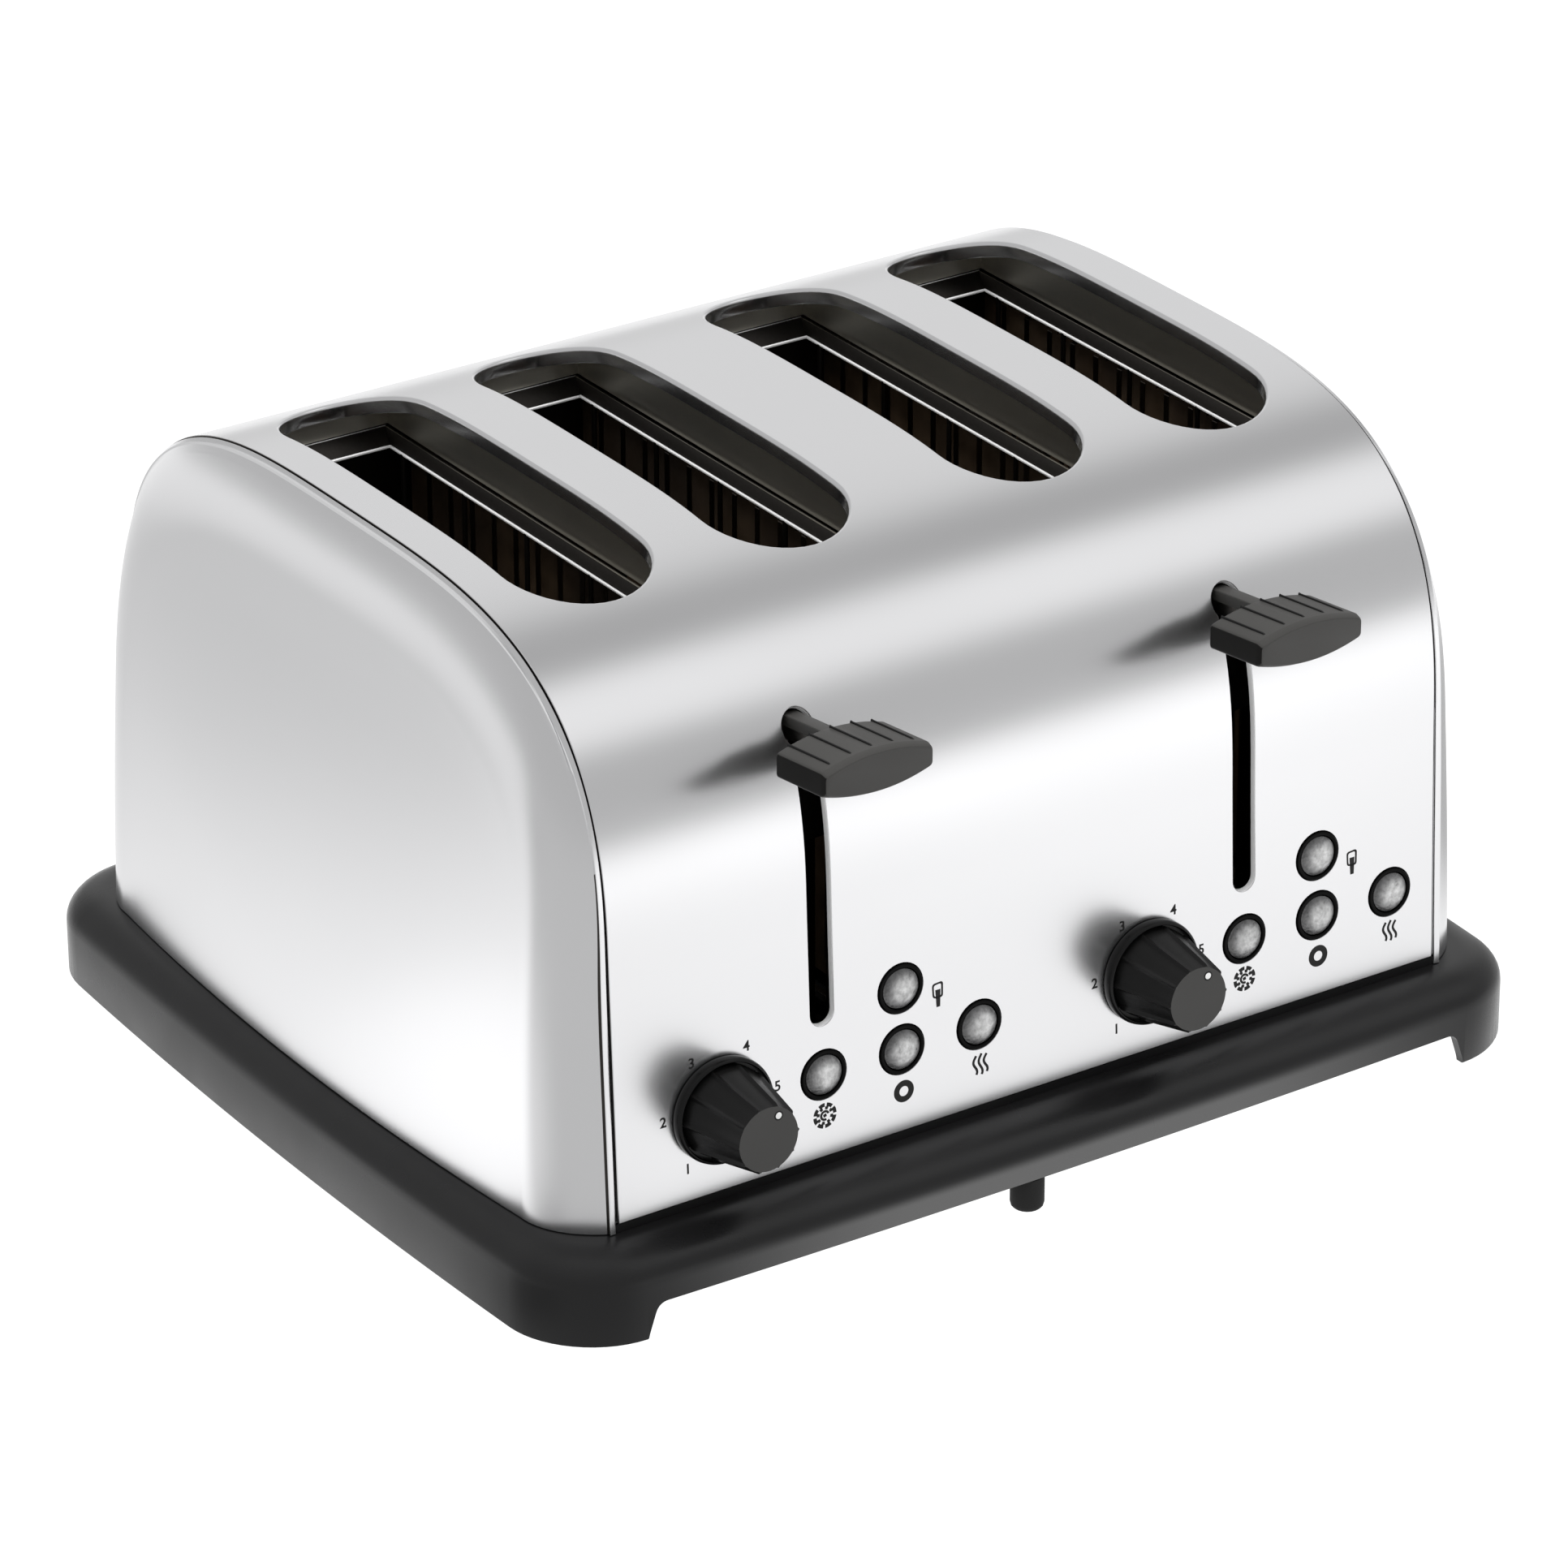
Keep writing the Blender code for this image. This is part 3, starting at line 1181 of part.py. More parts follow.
def button_bezel(name, parent):
    """The moulding behind the steel, with a ring through each button hole and posts to the board."""
    outline = t_outline(
        -BEZEL_MARGIN,
        BEZEL_END,
        -BEZEL_MARGIN,
        BEZEL_MARGIN,
        BEZEL_MARGIN,
        BUTTON_RISE + BEZEL_MARGIN,
    )
    plate = prism(outline, BEZEL_BACK, PANEL_BACK)
    rings = [
        moved(cylinder(RING_RADIUS, PANEL_BACK - BITE, RING_PROUD, ROUND_STEPS), x, up)
        for _, x, up in BUTTONS
    ]
    board_front = -BOARD_DEPTH + GAP
    posts = [
        moved(cylinder(POST_RADIUS, board_front, BEZEL_BACK + BITE, SLOT_STEPS), x, 0)
        for x in (BUTTON_PITCH / 2, BUTTON_PITCH * 3 / 2)
    ]
    bore = BUTTON_RADIUS + BUTTON_CLEARANCE
    bores = [
        moved(cylinder(bore, BEZEL_BACK - OVERRUN, OVERRUN, ROUND_STEPS), x, up)
        for _, x, up in BUTTONS
    ]
    mesh = cut(join(plate, merged(rings), merged(posts)), *bores)
    return piece(f"button_bezel_{name}", mesh, "black_plastic", parent)


def button_profile():
    """A push button as (radius, out of the panel): domed, with a flange behind the moulding and a stem."""
    flange = BEZEL_BACK - GAP
    flange_back = flange - BUTTON_FLANGE_THICKNESS
    stem_end = -BOARD_DEPTH + SWITCH_HEIGHT + BUTTON_TRAVEL + GAP
    dome = [(BUTTON_RADIUS * share, BUTTON_DOME * (1 - share**3)) for share in DOME_SHARES]
    return dome + [
        (BUTTON_RADIUS, 0),
        (BUTTON_RADIUS, flange),
        (BUTTON_FLANGE_RADIUS, flange),
        (BUTTON_FLANGE_RADIUS, flange_back),
        (BUTTON_STEM_RADIUS, flange_back),
        (BUTTON_STEM_RADIUS, stem_end),
        (0, stem_end),
    ]


def button(label, name, x, up, parent):
    mesh = turned(button_profile(), SMALL_ROUND_STEPS)
    return piece(f"button_{label}_{name}", mesh, "lens_plastic", parent, (x, up, 0))


def control_board(name, parent):
    """The circuit board, with a switch behind each button and a relay on its back."""
    outline = t_outline(
        KNOB_X - POT_RADIUS - GAP,
        2 * BUTTON_PITCH + BOARD_MARGIN,
        -BOARD_DROP,
        BOARD_MARGIN,
        BOARD_MARGIN,
        BUTTON_RISE + BOARD_MARGIN,
    )
    back = -BOARD_DEPTH - BOARD_THICKNESS
    board = prism(outline, back, -BOARD_DEPTH)
    half = SWITCH_WIDTH / 2
    switches = []
    for _, x, up in BUTTONS:
        low = (x - half, up - half, -BOARD_DEPTH - BITE)
        switches.append(box(low, (x + half, up + half, -BOARD_DEPTH + SWITCH_HEIGHT)))
    relay_x = BUTTON_PITCH * 3 / 2
    relay = box(
        (relay_x - RELAY_WIDTH / 2, -RELAY_HEIGHT / 2, back - RELAY_DEPTH),
        (relay_x + RELAY_WIDTH / 2, RELAY_HEIGHT / 2, back + BITE),
    )
    mesh = join(board, merged(switches), relay)
    return piece(f"control_board_{name}", mesh, "board_green", parent)


def potentiometer(name, parent):
    """The round body on the board and its bushing, which the shaft turns in."""
    low = -BOARD_DEPTH + GAP
    front = low + POT_DEPTH
    bore = SHAFT_RADIUS + GAP
    profile = [
        (0, low),
        (POT_RADIUS, low),
        (POT_RADIUS, front),
        (BUSHING_RADIUS, front),
        (BUSHING_RADIUS, 0),
        (bore, 0),
        (bore, front - GAP),
        (0, front - GAP),
    ]
    mesh = turned(profile)
    return piece(f"potentiometer_{name}", mesh, "dark_steel", parent, (KNOB_X, 0, 0))


def potentiometer_shaft(name, parent):
    low = -BOARD_DEPTH + GAP + POT_DEPTH
    mesh = cylinder(SHAFT_RADIUS, low, SHAFT_LENGTH)
    return piece(f"potentiometer_shaft_{name}", mesh, "bright_steel", parent, (KNOB_X, 0, 0))


def knob_collar(name, parent):
    """The stepped ring on the panel that the knob turns in."""
    recess = KNOB_RADIUS + SLIDE_GAP
    profile = [
        (COLLAR_HOLE_RADIUS, GAP),
        (COLLAR_RADIUS, GAP),
        (COLLAR_RADIUS, COLLAR_HEIGHT - COLLAR_LIP),
        (COLLAR_RADIUS - COLLAR_LIP / 2, COLLAR_HEIGHT),
        (recess, COLLAR_HEIGHT),
        (recess, GAP + COLLAR_FLOOR),
        (COLLAR_HOLE_RADIUS, GAP + COLLAR_FLOOR),
    ]
    mesh = turned(profile, closed=True)
    return piece(f"knob_collar_{name}", mesh, "black_plastic", parent, (KNOB_X, 0, 0))


def knob(name, parent):
    """The fluted knob: a tapered body with sharp ridges, and a bore that takes the shaft."""
    steps = 4 * KNOB_FLUTES
    low = 2 * GAP + COLLAR_FLOOR
    edge = KNOB_LENGTH - KNOB_EDGE
    levels = [
        (KNOB_RADIUS, low),
        (KNOB_RADIUS, COLLAR_HEIGHT),
        (KNOB_FACE_RADIUS, edge),
        (KNOB_FACE_RADIUS - KNOB_EDGE, KNOB_LENGTH),
    ]
    rings = []
    for radius, height in levels:
        points = []
        for step in range(steps):
            turn = 2 * math.pi * step / steps
            scallop = KNOB_FLUTE_DEPTH * math.sin(math.pi * (step % 4) / 4)
            reach = radius - scallop
            points.append((reach * math.cos(turn), reach * math.sin(turn), height))
        rings.append(points)
    bore = cylinder(SHAFT_RADIUS + GAP, low - OVERRUN, SHAFT_LENGTH + GAP)
    mesh = cut(loft(rings), bore)
    return piece(f"knob_{name}", mesh, "black_plastic", parent, (KNOB_X, 0, 0))


def control_group(name, side, parent):
    """The pieces on and behind the panel, in a frame that leans with the front."""
    panel = empty(f"panel_{name}", parent)
    panel.matrix_local = panel_matrix(side)
    button_bezel(name, panel)
    for label, x, up in BUTTONS:
        button(label, name, x, up, panel)
    control_board(name, panel)
    potentiometer(name, panel)
    potentiometer_shaft(name, panel)
    knob_collar(name, panel)
    knob(name, panel)


def unit(name, side, parent):
    """One two-slice unit: end plates, heater boards, cages and the lifting gear."""
    x = side * UNIT_X
    for end in ("front", "rear"):
        chassis_plate(name, x, end, parent)
    slot_frame(name, x, parent)
    first_board = 1 if side < 0 else 4
    for index, offset in enumerate((-HEATER_OFFSET, 0, HEATER_OFFSET)):
        heater_board(first_board + index, x + offset, parent)
    first_slot = 1 if side < 0 else 3
    for index, offset in enumerate((-SLOT_OFFSET, SLOT_OFFSET)):
        bread_cage(first_slot + index, x + offset, parent)
        bread_rack(first_slot + index, x + offset, parent)
    line = empty(f"lever_line_{name}", parent, (x, 0, 0))
    carriage(name, line)
    lever_handle(name, line)
    guide_rod(name, line)
    return_spring(name, line)
    electromagnet(name, line)


def main():
    clear_scene()
    root = empty("toaster", location=(0, (FRONT_REACH - REAR_REACH) / 2, 0))
    base_plinth(root)
    bottom_plate(root)
    centre_foot(root)
    cord_gland(root)
    wrap_shell(root)
    for name, side in SIDES:
        end_cap(name, side, root)
        crumb_tray(name, side * UNIT_X, root)
        unit(name, side, root)
        control_group(name, side, root)


main()
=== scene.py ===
"""The looks of a four-slice toaster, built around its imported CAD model.

Metres. Shapes are made in the part's own frame, where Y is zero at the middle of the body, and are
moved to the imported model's frame when a piece is finished.
"""

import math

import bmesh
import bpy
import numpy as np
from bpy.props import FloatProperty, FloatVectorProperty, IntProperty, PointerProperty
from mathutils import Matrix, Vector
from mathutils.geometry import delaunay_2d_cdt


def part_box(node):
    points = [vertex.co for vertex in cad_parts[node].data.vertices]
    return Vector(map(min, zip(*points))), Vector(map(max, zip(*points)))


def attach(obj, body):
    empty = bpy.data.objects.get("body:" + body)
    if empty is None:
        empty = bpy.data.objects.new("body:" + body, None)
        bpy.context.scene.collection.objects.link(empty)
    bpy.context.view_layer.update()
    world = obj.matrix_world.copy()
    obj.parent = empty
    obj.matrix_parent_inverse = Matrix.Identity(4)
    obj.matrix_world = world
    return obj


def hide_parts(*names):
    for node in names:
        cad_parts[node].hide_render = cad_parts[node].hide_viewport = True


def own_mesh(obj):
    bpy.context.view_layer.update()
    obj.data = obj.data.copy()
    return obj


bl_info = {
    "name": "Toaster looks",
    "version": (1, 0, 0),
    "blender": (4, 5, 0),
    "location": "3D View > Sidebar > Toaster",
    "description": "Builds the visible pieces of a four-slice toaster around its packed CAD model",
    "category": "Object",
}

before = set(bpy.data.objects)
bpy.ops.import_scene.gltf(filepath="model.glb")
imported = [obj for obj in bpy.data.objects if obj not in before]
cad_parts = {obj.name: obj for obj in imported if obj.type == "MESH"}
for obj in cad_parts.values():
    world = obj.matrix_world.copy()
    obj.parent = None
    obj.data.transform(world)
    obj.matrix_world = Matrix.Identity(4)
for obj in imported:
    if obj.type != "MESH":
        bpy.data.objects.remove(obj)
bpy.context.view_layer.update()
WRAP_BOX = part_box("wrap_shell")
ROOT_Y = (WRAP_BOX[0].y + WRAP_BOX[1].y) / 2

SIDES = (("left", -1), ("right", 1))
GAP = 0.0003

# Steel body
SHEET = 0.001
BODY_WIDTH = 0.277
BODY_DEPTH = 0.2618
BODY_ARCH_DEPTH = 0.2556
BODY_BOTTOM = 0.0258
WRAP_BOTTOM = 0.0283
ARCH_START = 0.0988
ARCH_HEIGHT = 0.0914
BODY_HEIGHT = ARCH_START + ARCH_HEIGHT
ARCH_DEPTH_POWER = 3.543
ARCH_HEIGHT_POWER = 2.7073
LEAN = math.atan2(0.0031, 0.0733)
SETTLE_HEIGHT = 0.011
UNIT_X = 0.07135
SLOT_OFFSET = 0.03205
RIM_WIDTH = 0.046
RIM_LENGTH = 0.158
RIM_ROLL = 0.0014
LIP_DEPTH = 0.005
SHEET_EDGE = 0.00028
FLANGE_DEPTH = 0.0022
FLANGE_EDGE = 0.0004
NET_CLEARANCE = 0.0016
CURVE_MARGIN = 0.004
SEAM = 0.0009
CAP_EDGE_DEPTH = 0.0165
CAP_TOP_EDGE_DEPTH = 0.0062
CAP_BOW = 0.0054
CAP_EDGE_SHARE = 0.17
CAP_START_ANGLE = math.radians(60)
CAP_FLANGE_WIDTH = 0.006
CAP_FLANGE_ROOT = 0.004

# Base
BASE_WIDTH = 0.3308
BASE_DEPTH = 0.2906
BASE_SIDE_BOW = 0.0046
BASE_FRONT_BOW = 0.0028
BASE_CORNER = 0.0258
BASE_LEAST_CORNER = 0.006
BASE_HEIGHT = 0.0255
SHOULDER_START = 0.0165
SHOULDER_WIDTH = 0.012
BASE_WALL = 0.003
DECK = 0.0025
FOOT_LENGTH = 0.0342
FOOT_DRAFT = 0.0036
FOOT_FILLET = 0.003
CUTOUT_HEIGHT = 0.0106
CUTOUT_DEPTH = 0.015
CURB_HEIGHT = 0.0025
CURB_THICKNESS = 0.002
CURB_INSET = 0.0005
BOSS_RADIUS = 0.004
BOSS_LOW = 0.012
WELL_SIZE = (0.108, 0.152)
WELL_CORNER = 0.002
WELL_DEPTH = 0.009
TRAY_OPENING_WIDTH = 0.1156
TRAY_OPENING_DEPTH = 0.0086
TRAY_OPENING_HEIGHTS = (0.0117, 0.0179)
CORD_HEIGHT = 0.0092
CORD_HOLE_RADIUS = 0.0052
BOSS_PLACES = tuple((x, y) for x in (-0.143, 0, 0.143) for y in (-0.118, 0.118))

# Levers
KEYHOLE_HEIGHT = 0.153
KEYHOLE_RADIUS = 0.0048
LEVER_SLOT_WIDTH = 0.0076
LEVER_SLOT_BOTTOM = 0.0679
LEVER_TILT = math.radians(6.8)
HANDLE_REAR_Y = -0.1330
HANDLE_DEPTH = 0.0232
HANDLE_WIDTH = 0.0348
HANDLE_HEIGHT = 0.013
HANDLE_END_HEIGHT = 0.0069
HANDLE_CENTRE = 0.1527
HANDLE_BEVEL = 0.0022
HANDLE_BEVEL_DROP = 0.0009
HANDLE_CORNER = 0.0010
HANDLE_SOFT_EDGE = 0.0005
PAINTED_SHADE_LEAST = 0.75
PAINTED_HIGHLIGHT_DEPTH = 0.0001
ARM_TOP = 0.1583
ARM_WIDTH = 0.0046
ARM_THICKNESS = 0.0035
ARM_LENGTH = 0.0205
LEVER_BAR_THICKNESS = 0.002
LEVER_BAR_HEIGHT = 0.004
LEVER_BAR_REACH = 0.012

# Control panels, measured on the leaning front
CONTROL_HEIGHT = 0.0531
KNOB_X = -0.0335
BUTTON_PITCH = 0.0258
BUTTON_RISE = 0.0185
KNOB_RADIUS = 0.0138
KNOB_FACE_RADIUS = 0.0102
KNOB_LENGTH = 0.0234
KNOB_EDGE = 0.0007
SHAFT_RADIUS = 0.003
SHAFT_LENGTH = 0.016
COLLAR_RADIUS = 0.0155
COLLAR_HEIGHT = 0.0034
COLLAR_FLOOR = 0.001
COLLAR_HOLE_RADIUS = 0.0046
BUSHING_RADIUS = 0.004
BUTTON_RADIUS = 0.00585
BUTTON_DOME = 0.0016
# The middle of the lens's painted highlight, a little right of and below the button's, so that the left rim
# is shaded darker
LENS_LIGHT_CENTRE = (0.0005, -0.0001)
BUTTON_FLANGE_RADIUS = 0.007
BUTTON_FLANGE_THICKNESS = 0.001
BUTTON_STEM_RADIUS = 0.002
BUTTON_STEM_END = -0.0052
RING_RADIUS = 0.0072
RING_PROUD = 0.0003
BEZEL_BACK = -0.0033
PANEL_BACK = -0.0013
BEZEL_MARGIN = 0.009
BEZEL_END_GAP = 0.00055
BUTTON_PLAY = 0.00035
POST_RADIUS = 0.0018
POST_END = -0.0107
DOT_REACH = 0.007
DOT_TURN = math.radians(28.6)
BUTTONS = (
    ("defrost", 0, 0),
    ("cancel", BUTTON_PITCH, 0),
    ("reheat", 2 * BUTTON_PITCH, 0),
    ("bagel", BUTTON_PITCH, BUTTON_RISE),
)

# Bread cages, heaters and lifting gear
FUNNEL_TOP = 0.1723
FUNNEL_LOW = 0.1683
FUNNEL_WIDTH = 0.047
FUNNEL_LENGTH = 0.160
GUARD_WIDTH = 0.042
GUARD_LENGTH = 0.146
GUARD_WIRE_SPAN = 0.132
GUARD_WIRE_RADIUS = 0.00075
RAIL_LOW = 0.0266
RAIL_HIGH = 0.029
HEATER_OFFSET = 0.0582
HEATER_LOW = 0.0305
HEATER_HIGH = 0.1665
HEATER_THICKNESS = 0.0012
CHASSIS_INSIDE = 0.0803
ROD_Y = -0.091
SCREW_HEIGHT = 0.0107
WIRE_END_OFFSET = 0.0055
SPRING_LOW = 0.02735
SPRING_HIGH = 0.1277

# Studio: soft boxes as (azimuth, elevation, inner angle, outer angle, amount) in degrees,
# and patches of the table as (centre, inner distance, outer distance, amount)
SOFT_BOXES = (
    (54, 51, 9, 27, 0.66),
    (112, 57, 4, 28, -0.13),
    (145, 29, 16, 34, 0.36),
    (0, 90, 6, 24, 0.2),
)
FLOOR_PATCHES = (
    ((0.5, -0.75, 0), 0.3, 0.68, 0.32),
    ((-0.28, -0.03, 0), 0.05, 0.14, 0.24),
    ((-0.35, 0.5, 0), 0.14, 0.5, -0.34),
    ((-1.0, 1.0, 0), 0.5, 1.1, -0.2),
    ((0.5, -0.3, 0), 0.1, 0.36, -0.14),
    ((0.34, -0.02, 0), 0.08, 0.17, -0.6),
    ((-0.195, -0.12, 0), 0.012, 0.036, -0.22),
)

# The dimmer corner of the table, toward the camera, as (direction, inner limit, outer limit)
CORNER_SIDES = (((1, 0, 0), -0.15, -0.085), ((0.47, 1, 0), -0.2, -0.15))
CORNER_AMOUNT = -0.5

FLOOR_STEPS = 8
FLOOR_DROP = 0.0002
OVERHEAD_SIZE = 1.6
OVERHEAD_PLACE = (-0.2, 0.1, 1.5)
CAMERA_TARGET_X = -0.0001
CAMERA_TARGET_Y = -0.004

# Smoothness
ARCH_SAMPLES = 1200
FLAT_ANGLE = math.radians(0.5)
HANDLE_SHARP_ANGLE = math.radians(22)
KNOB_SHARP_ANGLE = math.radians(30)
SHARP_ANGLE = math.radians(38)
BEVEL_ANGLE = math.radians(40)

# How far a joined solid reaches into another, and how far a cutting one reaches past it
OVERLAP = 0.0005
PAST = 0.006


# Lines and outlines


def front_face(height):
    """How far the leaning lower front stands from the middle at a height."""
    return BODY_DEPTH / 2 - (height - BASE_HEIGHT) * math.tan(LEAN)


def body_line():
    """The body's section from the front foot to the rear foot: length along it, y, z and the normal."""
    turns = np.linspace(0, math.pi / 2, ARCH_SAMPLES)
    z = ARCH_START + ARCH_HEIGHT * np.sin(turns) ** (2 / ARCH_HEIGHT_POWER)
    y = BODY_ARCH_DEPTH / 2 * np.clip(np.cos(turns), 0, 1) ** (2 / ARCH_DEPTH_POWER)
    settle = math.tan(LEAN) * SETTLE_HEIGHT / (BODY_ARCH_DEPTH / 2)
    y *= 1 - settle * (1 - np.exp(-(z - ARCH_START) / SETTLE_HEIGHT))
    low = np.linspace(BODY_BOTTOM, ARCH_START, 60)[:-1]
    y = np.concatenate([[front_face(height) for height in low], y])
    z = np.concatenate([low, z])
    y = np.concatenate([-y, y[-2::-1]])
    z = np.concatenate([z, z[-2::-1]])
    along = np.concatenate([[0], np.cumsum(np.hypot(np.diff(y), np.diff(z)))])
    slope_y = np.gradient(y, along)
    slope_z = np.gradient(z, along)
    return along, y, z, -slope_z, slope_y


ALONG, LINE_Y, LINE_Z, NORMAL_Y, NORMAL_Z = body_line()


def at_height(height):
    """The length along the section up to a height on its front half."""
    half = len(ALONG) // 2 + 1
    return float(np.interp(height, LINE_Z[:half], ALONG[:half]))


def at_depth(y):
    return float(np.interp(y, LINE_Y, ALONG))


def top_at(y):
    return float(np.interp(y, LINE_Y, LINE_Z))


def on_body(x, along, depth=0):
    """A point of the arched sheet, at a depth under its outer face."""
    lines = (LINE_Y, LINE_Z, NORMAL_Y, NORMAL_Z)
    y, z, ny, nz = (float(np.interp(along, ALONG, line)) for line in lines)
    size = math.hypot(ny, nz)
    return (x, y - depth * ny / size, z - depth * nz / size)


def arc(centre, radius, start, end, steps):
    """Points on a circle from one angle to another, both in degrees."""
    angles = [math.radians(start + (end - start) * step / steps) for step in range(steps + 1)]
    return [(centre[0] + radius * math.cos(a), centre[1] + radius * math.sin(a)) for a in angles]


def oblong(low, high):
    """The corners of an upright rectangle, from its lowest and its highest one."""
    (x0, y0), (x1, y1) = low, high
    return [(x0, y0), (x1, y0), (x1, y1), (x0, y1)]


def rectangle(width, length):
    return oblong((-width / 2, -length / 2), (width / 2, length / 2))


def on_way(start, end, steps):
    """Points on the straight way between two others, without its ends."""
    shares = [step / steps for step in range(1, steps)]
    return [tuple(a + (b - a) * share for a, b in zip(start, end)) for share in shares]


def round_corner(start, corner, end, steps):
    """Points on a smooth curve from a start to an end, drawn toward the corner between them."""
    points = []
    for step in range(steps + 1):
        t = step / steps
        weights = ((1 - t) ** 2, 2 * t * (1 - t), t**2)
        points.append(tuple(sum(w * p[k] for w, p in zip(weights, (start, corner, end))) for k in (0, 1)))
    return points


def stadium(width, length, steps, side_steps):
    """An oblong with half-round ends, along the second axis, with extra points on its sides."""
    reach = (length - width) / 2
    outline = []
    for turn, side in ((0, 1), (180, -1)):
        outline += arc((0, side * reach), width / 2, turn, turn + 180, steps)
        x, y = outline[-1]
        outline += [(x, y - side * 2 * reach * step / side_steps) for step in range(1, side_steps)]
    return outline


def shifted(outline, first, second=0):
    return [(u + first, v + second) for u, v in outline]


def rounded(polygon, radius, steps):
    """The polygon with each corner turned into a smooth curve."""
    outline = []
    for index, corner in enumerate(polygon):
        ends = []
        for other in (polygon[index - 1], polygon[(index + 1) % len(polygon)]):
            away = (other[0] - corner[0], other[1] - corner[1])
            share = min(radius / math.hypot(*away), 0.5)
            ends.append((corner[0] + away[0] * share, corner[1] + away[1] * share))
        outline += round_corner(ends[0], corner, ends[1], steps)
    return outline


def keyhole(grow=0, steps=14, side_steps=16):
    """A lever slot as (x, z): half round below, with a wider round hole at its top."""
    half = LEVER_SLOT_WIDTH / 2 + grow
    radius = KEYHOLE_RADIUS + grow
    bottom = arc((0, LEVER_SLOT_BOTTOM + LEVER_SLOT_WIDTH / 2), half, 180, 360, steps)
    open_angle = math.degrees(math.asin(half / radius))
    top = arc((0, KEYHOLE_HEIGHT), radius, open_angle - 90, 270 - open_angle, 2 * steps)
    right_side = on_way(bottom[-1], top[0], side_steps)
    return bottom + right_side + top + on_way(top[-1], bottom[0], side_steps)


def base_outline(inset, corner_steps=14, side_steps=22):
    """The base seen from above: a rounded oblong with gently bowed sides, moved inwards."""
    half_width = BASE_WIDTH / 2 - inset
    half_depth = BASE_DEPTH / 2 - inset
    corner = max(BASE_CORNER - inset, BASE_LEAST_CORNER)
    plain = []
    for turn, (side_x, side_y) in enumerate(((1, 1), (-1, 1), (-1, -1), (1, -1))):
        centre = (side_x * (half_width - corner), side_y * (half_depth - corner))
        plain += arc(centre, corner, 90 * turn, 90 * turn + 90, corner_steps)
        start = plain[-1]
        end = (-start[0], start[1]) if turn % 2 == 0 else (start[0], -start[1])
        plain += on_way(start, end, side_steps)
    bowed = []
    for x, y in plain:
        side = BASE_SIDE_BOW * max(1 - (y / half_depth) ** 2, 0) * (x / half_width) ** 2
        front = BASE_FRONT_BOW * max(1 - (x / half_width) ** 2, 0) * (y / half_depth) ** 2
        bowed.append((x + math.copysign(side, x), y + math.copysign(front, y)))
    return bowed


def lens(inset, drop, steps=22, corner_steps=4):
    """A lever handle's section as (x, z): curved above and below, with rounded corners at its ends."""
    half_width = HANDLE_WIDTH / 2 - inset
    end = HANDLE_END_HEIGHT / 2
    crown = (HANDLE_HEIGHT - HANDLE_END_HEIGHT) / 2

    def rise(x):
        return end + crown * (1 - (x / half_width) ** 2) - drop

    reach = half_width - HANDLE_CORNER
    corner = (half_width, rise(half_width))
    from_side = (half_width, corner[1] - HANDLE_CORNER)
    upper = round_corner(from_side, corner, (reach, rise(reach)), corner_steps)
    places = [reach * (1 - 2 * step / steps) for step in range(1, steps)]
    upper += [(x, rise(x)) for x in places]
    upper += [(-x, z) for x, z in upper[corner_steps::-1]]
    return upper + [(-x, -z) for x, z in upper]


def lever_rise(y):
    """How much higher the tilted lever is at y than at the back of its handle."""
    return (HANDLE_REAR_Y - y) * math.tan(LEVER_TILT)


def panel_matrix(side):
    """The place of a control group: on the leaning front, under its lever."""
    place = Matrix.Translation((side * UNIT_X, -front_face(CONTROL_HEIGHT), CONTROL_HEIGHT))
    return place @ Matrix.Rotation(-LEAN, 4, "X") @ Matrix.Rotation(math.pi / 2, 4, "X")


def slot_places():
    return [side * UNIT_X + offset for _, side in SIDES for offset in (-SLOT_OFFSET, SLOT_OFFSET)]


# Meshes


def finish_mesh(mesh):
    bmesh.ops.recalc_face_normals(mesh, faces=mesh.faces)
    return mesh


def bridge(mesh, first, second, closed=True):
    """Joins two rows of points with faces, and gives the faces."""
    after = [*range(1, len(first)), 0] if closed else range(1, len(first))
    return [mesh.faces.new((first[i], first[j], second[j], second[i])) for i, j in enumerate(after)]


def loft(rings, closed=False):
    """A solid through rings of points: capped at both ends, or closed on itself."""
    mesh = bmesh.new()
    rows = [[mesh.verts.new(point) for point in ring] for ring in rings]
    for low, high in zip(rows, rows[1:]):
        bridge(mesh, low, high)
    if closed:
        bridge(mesh, rows[-1], rows[0])
    else:
        mesh.faces.new(rows[0])
        mesh.faces.new(rows[-1])
    return finish_mesh(mesh)


def prism(outline, low, high, axis="Z"):
    """The outline pushed along an axis; it lies in the other two axes, in X, Y, Z order."""
    place = "XYZ".index(axis)
    return loft([[(*point[:place], end, *point[place:]) for point in outline] for end in (low, high)])


def box(low, high):
    return prism(oblong(low[:2], high[:2]), low[2], high[2])


def turned(profile, steps=64, closed=False):
    """A profile of (radius, height) turned about Z. A radius of zero is a point on the axis."""
    mesh = bmesh.new()
    turns = [2 * math.pi * step / steps for step in range(steps)]
    rows = []
    for radius, height in profile:
        ring = [(radius * math.cos(turn), radius * math.sin(turn), height) for turn in turns]
        rows.append([mesh.verts.new(point) for point in (ring if radius else ring[:1])])
    for low, high in zip(rows, rows[1:] + rows[:1] if closed else rows[1:]):
        if len(low) == len(high):
            bridge(mesh, low, high)
            continue
        point, ring = (low[0], high) if len(low) == 1 else (high[0], low)
        for index, corner in enumerate(ring):
            mesh.faces.new((corner, ring[(index + 1) % steps], point))
    return finish_mesh(mesh)


def cylinder(radius, low, high, steps=24):
    return turned([(0, low), (radius, low), (radius, high), (0, high)], steps)


def moved(mesh, x=0, y=0, z=0, matrix=None):
    bmesh.ops.transform(mesh, matrix=matrix or Matrix.Translation((x, y, z)), verts=mesh.verts)
    return mesh


